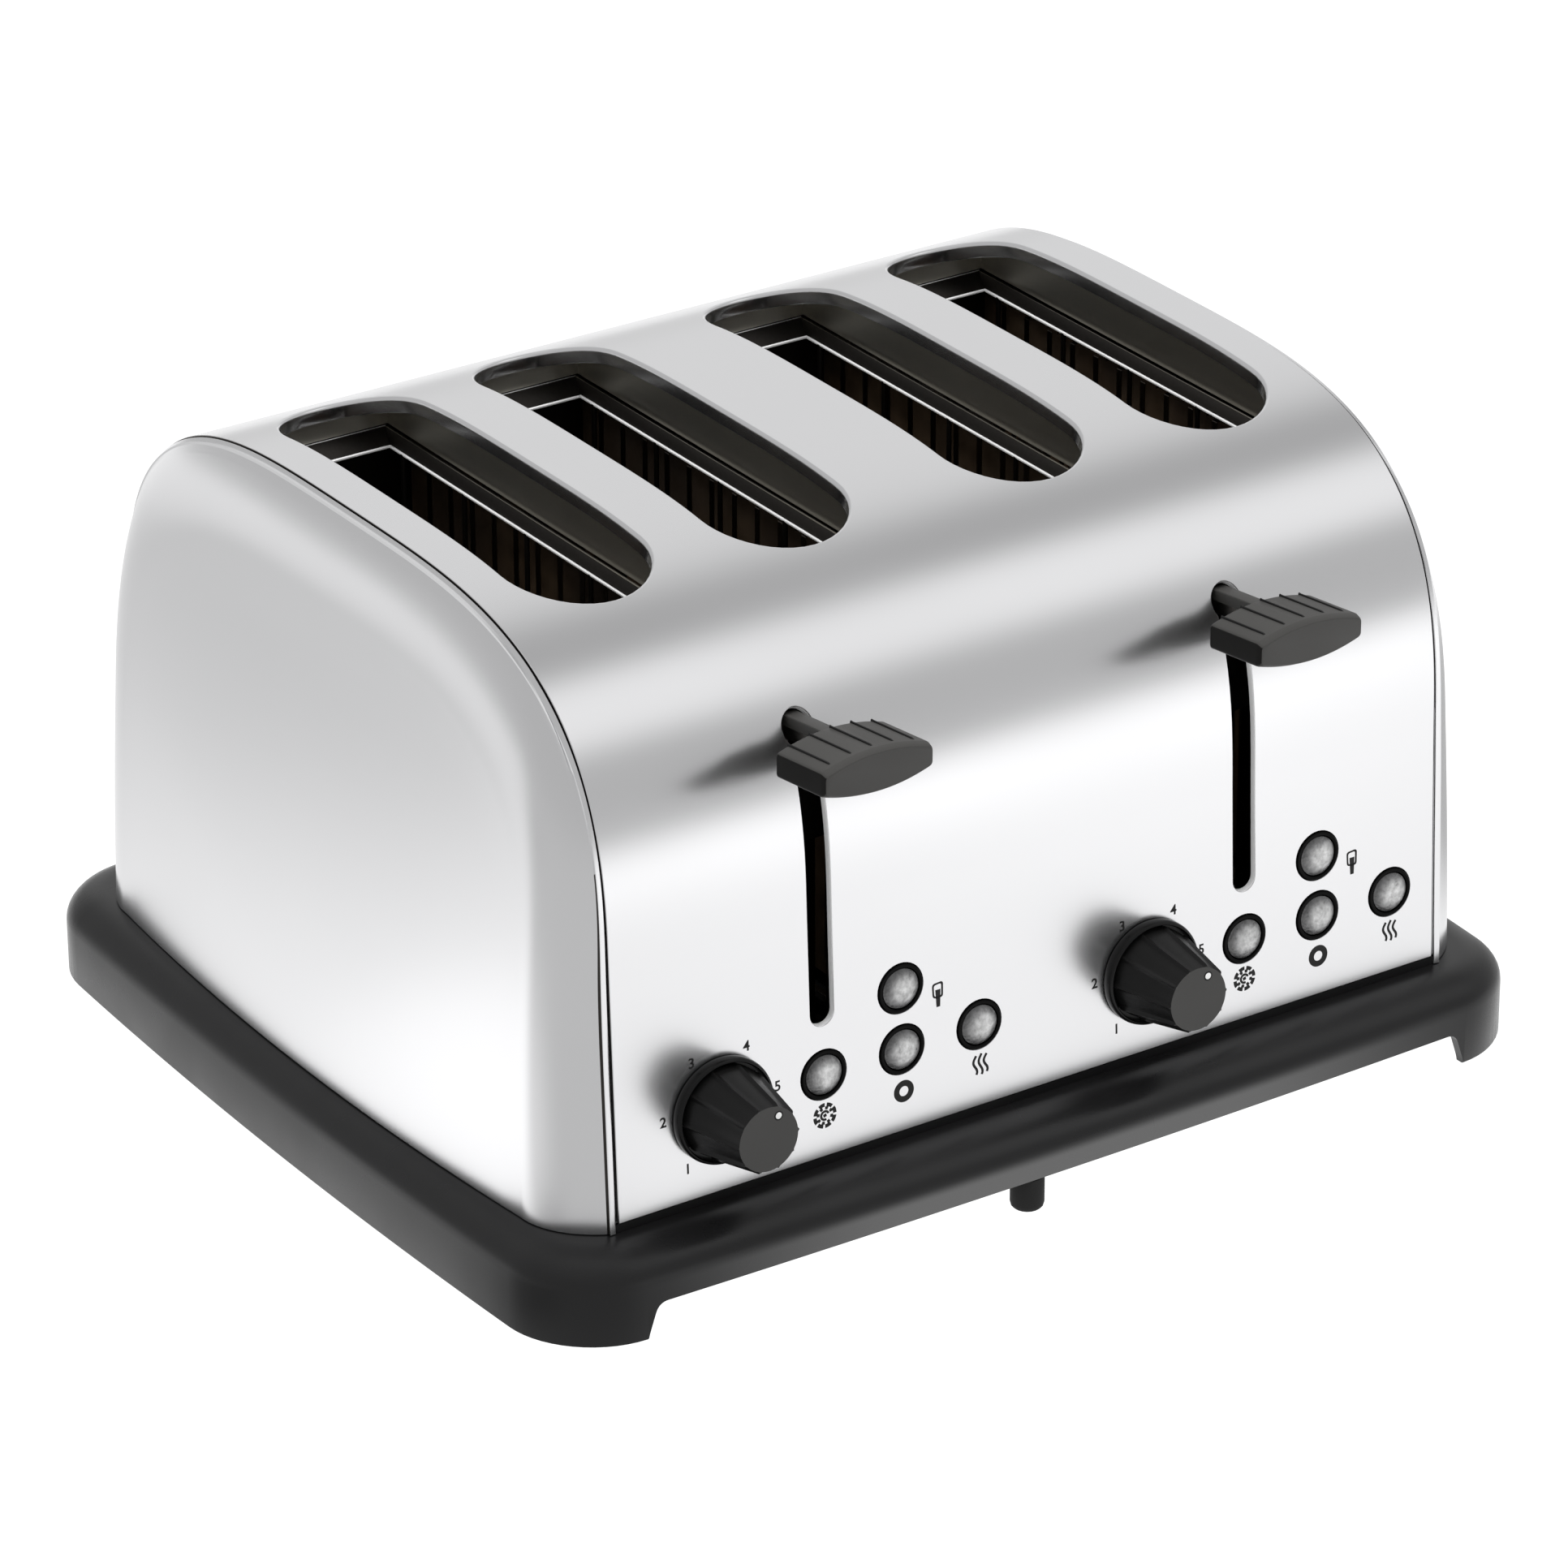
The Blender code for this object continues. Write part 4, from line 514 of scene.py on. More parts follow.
def packed(mesh, name):
    """A mesh as the data of an object."""
    data = bpy.data.meshes.new(name)
    mesh.to_mesh(data)
    mesh.free()
    return data


def unpacked(data):
    """The data of an object as a mesh. The data is removed."""
    mesh = bmesh.new()
    mesh.from_mesh(data)
    bpy.data.meshes.remove(data)
    return mesh


def shown(name, data):
    """An object of the scene that holds this data."""
    made = bpy.data.objects.new(name, data)
    bpy.context.scene.collection.objects.link(made)
    return made


def scratch(mesh):
    """A mesh as an object of the scene, for a modifier to work on."""
    return shown("scratch", packed(mesh, "scratch"))


def remove(made):
    """Takes a scratch object and its data away."""
    data = made.data
    bpy.data.objects.remove(made)
    bpy.data.meshes.remove(data)


def evaluated(made):
    """A scratch object's mesh with its modifiers applied. The object is removed."""
    bpy.context.view_layer.update()
    result = bmesh.new()
    result.from_object(made, bpy.context.evaluated_depsgraph_get())
    remove(made)
    return result


def merged(meshes):
    """Several meshes as one."""
    whole = bmesh.new()
    for mesh in meshes:
        part = packed(mesh, "part")
        whole.from_mesh(part)
        bpy.data.meshes.remove(part)
    return whole


def combine(target, tool, operation):
    """The target with the tool cut out of it or joined to it."""
    target, tool = scratch(target), scratch(tool)
    modifier = target.modifiers.new(operation, "BOOLEAN")
    modifier.operation = operation
    modifier.solver = "EXACT"
    modifier.object = tool
    result = evaluated(target)
    remove(tool)
    return result


def cut(target, *tools):
    return combine(target, merged(tools), "DIFFERENCE")


def join(target, *tools):
    for tool in tools:
        target = combine(target, tool, "UNION")
    return target


def bevelled(mesh, width, segments=2):
    """The mesh with its sharp edges rounded."""
    made = scratch(mesh)
    modifier = made.modifiers.new("edges", "BEVEL")
    modifier.width = width
    modifier.segments = segments
    modifier.limit_method = "ANGLE"
    modifier.angle_limit = BEVEL_ANGLE
    modifier.use_clamp_overlap = True
    return evaluated(made)


def copy_of_node(name):
    """A merged copy of a CAD node's mesh, in the part's own frame."""
    mesh = bmesh.new()
    mesh.from_mesh(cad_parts[name].data)
    bmesh.ops.remove_doubles(mesh, verts=mesh.verts, dist=1e-6)
    bmesh.ops.dissolve_limit(mesh, angle_limit=FLAT_ANGLE, verts=mesh.verts, edges=mesh.edges)
    return moved(mesh, 0, -ROOT_Y)


def piece(name, mesh, coats, body, slot, *replaces, sharp=SHARP_ANGLE):
    """A finished object of the toaster, riding on a body: smooth but for its sharp edges."""
    data = packed(moved(mesh, 0, ROOT_Y), name)
    for coat in [coats] if isinstance(coats, str) else coats:
        data.materials.append(finish(coat))
    data.shade_smooth()
    data.set_sharp_from_angle(angle=sharp)
    made = shown(name, data)
    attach(made, body)
    if replaces:
        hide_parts(*replaces)
    return made


def dress(node, coat):
    """Gives a CAD node, whose shape stays, a detailed material."""
    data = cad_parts[node].data
    data.materials.clear()
    data.materials.append(finish(coat))


# Node trees


def make(tree, kind, inputs=(), output=0, **settings):
    """A node with its inputs set to values or linked to sockets. Gives one of its outputs."""
    made = tree.nodes.new(kind)
    for name, value in settings.items():
        setattr(made, name, value)
    for label, value in dict(inputs).items():
        if isinstance(value, bpy.types.NodeSocket):
            tree.links.new(value, made.inputs[label])
        else:
            made.inputs[label].default_value = value
    return made.outputs[output] if made.outputs else None


def group(name, kind, inputs, outputs, build):
    """A node group with named sockets, built once. From its inputs, build gives its outputs."""
    if name in bpy.data.node_groups:
        return bpy.data.node_groups[name]
    tree = bpy.data.node_groups.new(name, f"{kind}NodeTree")
    for label, (socket, value) in inputs.items():
        made = tree.interface.new_socket(label, in_out="INPUT", socket_type=f"NodeSocket{socket}")
        if value is not None:
            made.default_value = value
    for label, socket in outputs.items():
        tree.interface.new_socket(label, in_out="OUTPUT", socket_type=f"NodeSocket{socket}")
    start = tree.nodes.new("NodeGroupInput").outputs
    make(tree, "NodeGroupOutput", build(tree, start))
    return tree


def maths(tree, operation, *values):
    return make(tree, "ShaderNodeMath", enumerate(values), operation=operation)


def painted(tree, geometry, material):
    """The end of each tree for pieces: real geometry, with its material."""
    real = make(tree, "GeometryNodeRealizeInstances", {"Geometry": geometry})
    real = make(tree, "GeometryNodeSetMaterial", {"Geometry": real, "Material": material})
    return {"Geometry": real}


def array_tree():
    """A tree that repeats its geometry in columns and rows, on a crowned surface where one is given."""

    def build(tree, start):
        line = {"Count": start["Columns"], "Start Location": start["Start"], "Offset": start["Column Step"]}
        columns = make(tree, "GeometryNodeMeshLine", line, mode="OFFSET")
        line = {"Count": start["Rows"], "Offset": start["Row Step"]}
        rows = make(tree, "GeometryNodeMeshLine", line, mode="OFFSET")
        grid = make(tree, "GeometryNodeInstanceOnPoints", {"Points": columns, "Instance": rows})
        points = make(tree, "GeometryNodeRealizeInstances", {"Geometry": grid})
        across = make(tree, "ShaderNodeSeparateXYZ", {0: make(tree, "GeometryNodeInputPosition")}, "X")
        fall = maths(tree, "MULTIPLY", maths(tree, "MULTIPLY", across, across), start["Crown"])
        offset = make(tree, "ShaderNodeCombineXYZ", {"Z": fall})
        seats = make(tree, "GeometryNodeSetPosition", {"Geometry": points, "Offset": offset})
        copies = {"Points": seats, "Instance": start["Geometry"]}
        return painted(tree, make(tree, "GeometryNodeInstanceOnPoints", copies), start["Material"])

    inputs = {
        "Geometry": ("Geometry", None),
        "Columns": ("Int", 1),
        "Column Step": ("Vector", None),
        "Rows": ("Int", 1),
        "Row Step": ("Vector", None),
        "Start": ("Vector", None),
        "Crown": ("Float", 0),
        "Material": ("Material", None),
    }
    return group("rows_and_columns", "Geometry", inputs, {"Geometry": "Geometry"}, build)


def spring_tree():
    """A tree that makes a coil of wire, standing on its lower end, with its ends capped."""

    def build(tree, start):
        sizes = {"Resolution": start["Steps Per Turn"], "Rotations": start["Turns"]}
        sizes |= {"Start Radius": start["Radius"], "End Radius": start["Radius"], "Height": start["Height"]}
        spiral = make(tree, "GeometryNodeCurveSpiral", sizes)
        sizes = {"Resolution": 8, "Radius": start["Wire Radius"]}
        circle = make(tree, "GeometryNodeCurvePrimitiveCircle", sizes, mode="RADIUS")
        sweep = {"Curve": spiral, "Profile Curve": circle, "Fill Caps": True}
        return painted(tree, make(tree, "GeometryNodeCurveToMesh", sweep), start["Material"])

    inputs = {"Geometry": ("Geometry", None), "Steps Per Turn": ("Int", 18)}
    inputs |= {label: ("Float", 0) for label in ("Turns", "Radius", "Height", "Wire Radius")}
    inputs["Material"] = ("Material", None)
    return group("coil_of_wire", "Geometry", inputs, {"Geometry": "Geometry"}, build)


def grown(mesh, tree, **values):
    """The mesh put through a tree with these inputs, as a plain mesh."""
    made = scratch(mesh)
    modifier = made.modifiers.new("tree", "NODES")
    modifier.node_group = tree
    for item in tree.interface.items_tree:
        label = item.name.lower().replace(" ", "_")
        if item.in_out == "INPUT" and label in values:
            modifier[item.identifier] = values[label]
    bpy.context.view_layer.update()
    graph = bpy.context.evaluated_depsgraph_get()
    data = bpy.data.meshes.new_from_object(made.evaluated_get(graph))
    made.modifiers.clear()
    remove(made)
    return unpacked(data)


def array(mesh, coat, columns, column_step, rows=1, row_step=(0, 0, 0), start=(0, 0, 0), crown=0.0):
    """Copies of the mesh in columns and rows, with a material given by its name."""
    values = {"columns": columns, "column_step": column_step, "rows": rows, "row_step": row_step}
    return grown(mesh, array_tree(), start=start, crown=crown, material=finish(coat), **values)


# Shader groups and materials


def object_place(tree):
    return make(tree, "ShaderNodeTexCoord", output="Object")


def noise_mask(tree, vector, scale, **settings):
    return make(tree, "ShaderNodeTexNoise", {"Vector": vector, "Scale": scale, **settings}, "Fac")


def spread(tree, value, low, high, low_from=0.0, high_from=1.0, **settings):
    """A value between two limits turned into one between two others."""
    inputs = {"Value": value, "From Min": low_from, "From Max": high_from, "To Min": low, "To Max": high}
    return make(tree, "ShaderNodeMapRange", inputs, "Result", **settings)


def nearness(tree, value, inner, outer):
    """One up to an inner limit, falling softly to zero at an outer one."""
    return spread(tree, value, 1, 0, inner, outer, interpolation_type="SMOOTHSTEP")


def grain_group():
    """Fine noise, stretched along an axis, as a mask and as a height."""

    def build(tree, start):
        stretch = {0: object_place(tree), 1: start["Stretch"]}
        place = make(tree, "ShaderNodeVectorMath", stretch, operation="MULTIPLY")
        coarse = noise_mask(tree, place, start["Scale"], Detail=start["Detail"])
        fine = noise_mask(tree, place, maths(tree, "MULTIPLY", start["Scale"], 3.7))
        height = maths(tree, "MULTIPLY", maths(tree, "ADD", coarse, fine), 0.5)
        return {"Mask": coarse, "Height": height}

    inputs = {"Stretch": ("Vector", (1, 1, 1)), "Scale": ("Float", 900), "Detail": ("Float", 4)}
    return group("surface_grain", "Shader", inputs, {"Mask": "Float", "Height": "Float"}, build)


def smudge_group():
    """Broad, soft patches, such as the marks that hands and cleaning leave."""

    def build(tree, start):
        noise = noise_mask(tree, object_place(tree), start["Scale"], Detail=2, Roughness=0.45)
        limits = (start["Low"], start["High"])
        return {"Mask": spread(tree, noise, 0, 1, *limits, interpolation_type="SMOOTHSTEP")}

    inputs = {"Scale": ("Float", 14), "Low": ("Float", 0.42), "High": ("Float", 0.68)}
    return group("handling_smudges", "Shader", inputs, {"Mask": "Float"}, build)


def dust_group():
    """Dust on what faces up, thinner where it has been wiped."""

    def build(tree, start):
        normal = make(tree, "ShaderNodeNewGeometry", output="Normal")
        up = maths(tree, "MAXIMUM", make(tree, "ShaderNodeSeparateXYZ", {0: normal}, "Z"), 0)
        noise = noise_mask(tree, object_place(tree), start["Scale"], Detail=6)
        return {"Mask": maths(tree, "MULTIPLY", maths(tree, "MULTIPLY", up, noise), start["Amount"])}

    inputs = {"Scale": ("Float", 60), "Amount": ("Float", 0.1)}
    return group("settled_dust", "Shader", inputs, {"Mask": "Float"}, build)


def patch_group():
    """How near a point is to a centre, times an amount, from an inner to an outer distance."""

    def build(tree, start):
        ends = {0: start["Point"], 1: start["Centre"]}
        away = make(tree, "ShaderNodeVectorMath", ends, "Value", operation="DISTANCE")
        near = nearness(tree, away, start["Inner"], start["Outer"])
        return {"Value": maths(tree, "MULTIPLY", near, start["Amount"])}

    inputs = {label: ("Vector", (0, 0, 0)) for label in ("Point", "Centre")}
    inputs |= {label: ("Float", 0.1) for label in ("Inner", "Outer", "Amount")}
    return group("soft_patch", "Shader", inputs, {"Value": "Float"}, build)


def placed(tree, node_group, **values):
    """A group placed in a tree with these inputs. Gives its outputs."""
    inputs = {label.replace("_", " ").title(): value for label, value in values.items()}
    return make(tree, "ShaderNodeGroup", inputs, node_tree=node_group).node.outputs


def mix_colour(tree, mask, first, second, blend="MIX"):
    """A mix of two colours, each a socket or a plain colour."""
    inputs = {0: mask}
    for index, colour in ((6, first), (7, second)):
        inputs[index] = colour if isinstance(colour, bpy.types.NodeSocket) else (*colour[:3], 1)
    return make(tree, "ShaderNodeMix", inputs, 2, data_type="RGBA", blend_type=blend)


def scaled(colour, amount):
    return tuple(part * amount for part in colour)


def start_material(name, **constants):
    """A material with a Principled shader, with values that are the same all over set on its sockets."""
    made = bpy.data.materials.new(name)
    made.use_nodes = True
    shader = made.node_tree.nodes["Principled BSDF"]
    for label, value in constants.items():
        shader.inputs[label.replace("_", " ")].default_value = value
    return made, made.node_tree


def end_material(material, base, rough=None, height=None, strength=0.0, distance=0.0):
    """Links a material's base colour, roughness and bump to its shader."""
    tree = material.node_tree
    shader = tree.nodes["Principled BSDF"]
    tree.links.new(base, shader.inputs["Base Color"])
    if rough is not None:
        tree.links.new(rough, shader.inputs["Roughness"])
    if height is not None:
        bump = {"Height": height, "Strength": strength, "Distance": distance}
        tree.links.new(make(tree, "ShaderNodeBump", bump, "Normal"), shader.inputs["Normal"])
    return material


STEEL_DUST = (0.52, 0.51, 0.49)
PLASTIC_DUST = (0.22, 0.21, 0.20)


def steel(name, colour, roughness, stretch, grain, smudge, dust, tint):
    """Rolled steel sheet: a fine directional grain, soft smudges and hardly any dust."""
    made, tree = start_material(name, Metallic=1.0, IOR=2.6)
    lines = placed(tree, grain_group(), stretch=stretch, scale=1500.0, detail=3.0)
    marks = placed(tree, smudge_group(), scale=11.0)
    dusty = placed(tree, dust_group(), scale=70.0, amount=dust)
    base = mix_colour(tree, lines["Mask"], scaled(colour, 1 - tint), colour)
    base = mix_colour(tree, dusty["Mask"], base, STEEL_DUST)
    rough = spread(tree, marks["Mask"], roughness - smudge / 2, roughness + smudge / 2)
    rough = maths(tree, "MULTIPLY_ADD", lines["Mask"], 0.01, rough)
    return end_material(made, base, rough, lines["Height"], grain, 0.00006)


def plastic(name, colour, roughness, grain, scale, dust, specular=0.5, tint=0.12):
    """Moulded plastic: a fine pitted grain, patches where hands have polished it and a little dust."""
    made, tree = start_material(name, IOR=1.46, Specular_IOR_Level=specular)
    pits = placed(tree, grain_group(), scale=scale, detail=2.0)
    marks = placed(tree, smudge_group(), scale=26.0)
    dusty = placed(tree, dust_group(), scale=90.0, amount=dust)
    base = mix_colour(tree, pits["Mask"], scaled(colour, 1 - tint), colour)
    base = mix_colour(tree, dusty["Mask"], base, PLASTIC_DUST)
    rough = spread(tree, marks["Mask"], roughness + 0.03, roughness - 0.05)
    return end_material(made, base, rough, pits["Height"], grain, 0.00008)


def skirt_plastic(name, colour, roughness):
    """The base's plastic: like the rest, but with a painted sheen that makes it paler low on the front
    skirt, toward its middle.
    """
    made = plastic(name, colour, roughness, 0.22, 2400.0, 0.02, 0.36)
    tree = made.node_tree
    clean = tree.nodes["Principled BSDF"].inputs["Base Color"].links[0].from_socket
    apart = make(tree, "ShaderNodeSeparateXYZ", {0: object_place(tree)}).node.outputs
    # Painted sheen: paler low on the front, toward the middle
    low = nearness(tree, apart["Z"], 0.0152, 0.0185)
    front = nearness(tree, apart["Y"], -0.143, -0.136)
    middle = nearness(tree, maths(tree, "ABSOLUTE", apart["X"]), 0.05, 0.15)
    painted_sheen = maths(tree, "MULTIPLY", maths(tree, "MULTIPLY", low, front), middle)
    return end_material(made, mix_colour(tree, painted_sheen, clean, (0.12, 0.12, 0.12)))


# The lens's painted light from its middle to its rim, a painted highlight that falls to painted shade, as
# (share of the radius, red and green, blue)
LENS_PAINTED_LIGHT = ((0, 0.62, 0.62), (0.5, 0.5, 0.5), (0.78, 0.14, 0.142), (1, 0.03, 0.031))


def button_lens(name):
    """The smoky caps of the buttons: mottled, with a painted highlight in the middle and painted shade at
    the rim.
    """
    gloss = {"Coat_Weight": 0.6, "Coat_Roughness": 0.12, "Specular_IOR_Level": 0.6}
    made, tree = start_material(name, IOR=1.5, **gloss)
    share = make(tree, "ShaderNodeAttribute", output="Fac", attribute_name="dome_share")
    cells = {"Vector": object_place(tree), "Scale": 1150}
    cells = make(tree, "ShaderNodeTexVoronoi", cells, "Distance", feature="F1")
    cloud = placed(tree, grain_group(), scale=520.0, detail=4.0)["Mask"]
    painted_tone = make(tree, "ShaderNodeValToRGB", {"Fac": share}, "Color")
    ramp = painted_tone.node.color_ramp
    ramp.interpolation = "B_SPLINE"
    for share_out, _, _ in LENS_PAINTED_LIGHT[1:-1]:
        ramp.elements.new(share_out)
    for stop, (_, tone_red, tone_blue) in zip(ramp.elements, LENS_PAINTED_LIGHT):
        stop.color = (tone_red, tone_red, tone_blue, 1)
    mottle = mix_colour(tree, cloud, (0, 0, 0), (2.1, 2.1, 2.1))
    base = mix_colour(tree, 1, painted_tone, mottle, "MULTIPLY")
    return end_material(made, base, spread(tree, cloud, 0.2, 0.42), cells, 0.6, 0.0004)


def mica(name):
    """The heater boards: flaky brown sheets, darker where they have been hot."""
    made, tree = start_material(name, Specular_IOR_Level=0.4)
    flakes = {"Vector": object_place(tree), "Scale": 160}
    flakes = make(tree, "ShaderNodeTexVoronoi", flakes, "Distance")
    scorch = placed(tree, smudge_group(), scale=22.0, low=0.35, high=0.7)
    pits = placed(tree, grain_group(), scale=700.0, detail=3.0)
    base = mix_colour(tree, flakes, (0.05, 0.032, 0.019), (0.10, 0.067, 0.04))
    base = mix_colour(tree, scorch["Mask"], base, (0.03, 0.021, 0.015))
    return end_material(made, base, spread(tree, flakes, 0.4, 0.7), pits["Height"], 0.3, 0.0001)


def circuit_board(name):
    """Green board with a faint weave and darker tracks."""
    made, tree = start_material(name, Roughness=0.42, Coat_Weight=0.3)
    tracks = {"Vector": object_place(tree), "Scale": 110, "Mortar": (0.05, 0.2, 0.08, 1)}
    tracks |= {"Color1": (0.012, 0.085, 0.03, 1), "Color2": (0.016, 0.11, 0.04, 1)}
    tracks = make(tree, "ShaderNodeTexBrick", tracks, "Color")
    weave = placed(tree, grain_group(), scale=1800.0)
    base = mix_colour(tree, weave["Mask"], tracks, (0.01, 0.06, 0.02))
    return end_material(made, base, None, weave["Height"], 0.2, 0.0001)


def plain_mark(name, colour, roughness):
    """Printed ink or paint: one tone with a thin, uneven layer."""
    made, tree = start_material(name, Specular_IOR_Level=0.15)
    layer = placed(tree, grain_group(), scale=2200.0, detail=2.0)["Mask"]
    thin = tuple(min(part * 1.35 + 0.01, 1) for part in colour)
    rough = spread(tree, layer, roughness - 0.05, roughness + 0.05)
    return end_material(made, mix_colour(tree, layer, colour, thin), rough)


def patches(tree, point, level, rows):
    """A level with soft patches of more or less light on it, given as (centre, inner, outer, amount)."""
    for centre, inner, outer, amount in rows:
        reach = {"inner": inner, "outer": outer, "amount": amount}
        patch = placed(tree, patch_group(), point=point, centre=centre, **reach)["Value"]
        level = maths(tree, "ADD", patch, level)
    return level


def two_ways(tree, kind, seen_strength, level):
    """Plain white where the camera looks straight at it, and a soft level of light for all else."""
    seen = make(tree, "ShaderNodeLightPath", output="Is Camera Ray")
    studio = make(tree, kind, {"Strength": level})
    white = make(tree, kind, {"Strength": seen_strength})
    return make(tree, "ShaderNodeMixShader", {0: seen, 1: studio, 2: white})


def floor_material(seen_strength, level):
    """A pale, evenly lit table: a little brighter away from the toaster, dimmer toward the camera."""
    made = bpy.data.materials.new("pale_floor")
    made.use_nodes = True
    tree = made.node_tree
    tree.nodes.clear()
    place = object_place(tree)
    value = patches(tree, place, level, FLOOR_PATCHES)
    sides = []
    for direction, inner, outer in CORNER_SIDES:
        ends = {0: place, 1: direction}
        along = make(tree, "ShaderNodeVectorMath", ends, "Value", operation="DOT_PRODUCT")
        sides.append(nearness(tree, along, inner, outer))
    value = maths(tree, "MULTIPLY_ADD", maths(tree, "MULTIPLY", *sides), CORNER_AMOUNT, value)
    surface = two_ways(tree, "ShaderNodeEmission", seen_strength, value)
    make(tree, "ShaderNodeOutputMaterial", {"Surface": surface})
    return made


MATERIALS = {}


def finishes(looks):
    """Each material's maker and what it takes, such as a colour, a roughness and a grain."""
    body = (tuple(looks.steel_colour), looks.steel_roughness)
    body_grain = (looks.steel_grain, 0.02, 0, 0.012)
    handle = tuple(looks.handle_colour)
    return {
        "satin_steel_sheet": (steel, *body, (0.01, 1, 1), *body_grain),
        "satin_steel_ends": (steel, *body, (1, 0.01, 1), *body_grain),
        "bright_steel": (steel, (0.72, 0.72, 0.71), 0.17, (1, 0.05, 1), 0.03, 0.06, 0.02, 0.06),
        "slot_wall_steel": (steel, (0.55, 0.53, 0.47), 0.4, (1, 0.02, 1), 0.01, 0.03, 0, 0.05),
        "plated_wire": (steel, (0.62, 0.60, 0.57), 0.22, (1, 1, 0.1), 0.05, 0.1, 0.02, 0.12),
        "dark_steel": (steel, (0.20, 0.19, 0.18), 0.42, (1, 0.4, 1), 0.12, 0.12, 0.05, 0.2),
        # Real soot inside the body, and painted shade where it lines the seam's groove and the arched
        # sheet's edges
        "sooty_steel": (steel, (0.055, 0.05, 0.046), 0.5, (1, 0.5, 1), 0.15, 0.16, 0.02, 0.3),
        "element_ribbon": (steel, (0.18, 0.16, 0.14), 0.34, (1, 1, 0.05), 0.1, 0.1, 0, 0.2),
        "zinc_plate": (steel, (0.5, 0.5, 0.49), 0.34, (1, 1, 1), 0.1, 0.14, 0.04, 0.15),
        "copper_winding": (steel, (0.65, 0.27, 0.13), 0.32, (0.1, 0.1, 6), 0.5, 0.1, 0, 0.25),
        "base_plastic": (skirt_plastic, tuple(looks.base_colour), looks.base_roughness),
        "handle_plastic": (plastic, handle, 0.48, 0.35, 2200, 0.03, 0.45),
        # The handle's front face is painted lighter and its end faces darker: painted highlight and painted
        # shade on one plastic
        "handle_face": (plastic, scaled(handle, 1.3), 0.52, 0.3, 2200, 0.03, 0.45),
        "handle_end": (plastic, scaled(handle, 0.25), 0.5, 0.3, 2200, 0, 0.12),
        # Near-white and matt, on steel edges: a painted highlight in place of the bright edge's glint
        "cut_edge": (plastic, (0.95, 0.95, 0.95), 0.4, 0.1, 2200, 0, 1, 0.03),
        # Near-black, far darker than the handle: painted shade for the dark lines that the ribs' shaded
        # sides make
        "rib_plastic": (plastic, (0.006, 0.006, 0.006), 0.5, 0.2, 2200, 0, 0.3),
        "knob_plastic": (plastic, tuple(looks.black_colour), 0.38, 0.2, 2600, 0.02, 0.26),
        "knob_face": (plastic, tuple(looks.knob_face_colour), 0.5, 0.3, 2600, 0.02),
        "collar_plastic": (plastic, (0.005, 0.005, 0.005), 0.3, 0.15, 2600, 0.01, 0.22),
        "black_plastic": (plastic, (0.003, 0.003, 0.003), 0.3, 0.12, 3000, 0, 0.05),
        "rubber": (plastic, (0.010, 0.010, 0.010), 0.72, 0.5, 1400, 0.05, 0.3),
        "smoky_button_lens": (button_lens,),
        "scorched_mica": (mica,),
        "circuit_board": (circuit_board,),
        "print_ink": (plain_mark, tuple(looks.ink_colour), 0.5),
        "white_paint": (plain_mark, (0.82, 0.82, 0.80), 0.4),
    }


def finish(name):
    """A material by its name, made when it is first asked for."""
    if name not in MATERIALS:
        maker, *values = finishes(bpy.context.scene.toaster_finish)[name]
        MATERIALS[name] = maker(name, *values)
    return MATERIALS[name]


# Steel body


def inside_polygon(points, polygon):
    """For each point, whether it is inside the polygon."""
    inside = np.zeros(len(points), bool)
    x, y = points[:, 0], points[:, 1]
    for (x0, y0), (x1, y1) in zip(polygon, np.roll(polygon, -1, axis=0)):
        crosses = (y0 > y) != (y1 > y)
        if y0 == y1:
            continue
        at = (x1 - x0) * (y - y0) / (y1 - y0) + x0
        inside ^= crosses & (x < at)
    return inside


def edge_rings(overhang_points, depth=SHEET, edge=SHEET_EDGE, steps=3):
    """The rings that round a sheet's edge, from its outer face to its inner face or a flange's end."""
    rings = []
    for step in range(1, steps + 1):
        turn = math.pi / 2 * step / steps
        along = overhang_points(edge * math.sin(turn))
        rings.append([on_body(x, s, edge * (1 - math.cos(turn))) for x, s in along])
    rings.append([on_body(x, s, depth - edge / 2) for x, s in overhang_points(edge)])
    rings.append([on_body(x, s, depth) for x, s in overhang_points(edge / 2)])
    if depth > SHEET:
        rings.append([on_body(x, s, depth) for x, s in overhang_points(-edge / 2)])
    return rings


def rim_rings(x, steps=8, inner_steps=3):
    """The rings of a rolled slot rim: a quarter round, a lip and the way back up inside."""
    rings = []
    for step in range(1, steps + 1):
        turn = math.pi / 2 * step / steps
        rings.append(rim_ring(x, RIM_ROLL * math.sin(turn), RIM_ROLL * (1 - math.cos(turn))))
    for share, lift in ((0, 1), (1, 0), (2, 0), (3, 1)):
        rings.append(rim_ring(x, RIM_ROLL - SHEET * share / 3, LIP_DEPTH - SHEET * lift / 3))
    inner = RIM_ROLL - SHEET
    for step in range(inner_steps, 0, -1):
        turn = math.pi / 2 * step / inner_steps
        rings.append(rim_ring(x, inner * math.sin(turn), RIM_ROLL - inner * math.cos(turn)))
    return rings


def rim_points(x, inset, steps=22, side_steps=44):
    """The outline of a slot's rim in plan, moved inwards."""
    return shifted(stadium(RIM_WIDTH - 2 * inset, RIM_LENGTH - 2 * inset, steps, side_steps), x)


def rim_ring(x, inset, drop):
    return [(px, py, top_at(py) - drop) for px, py in rim_points(x, inset)]


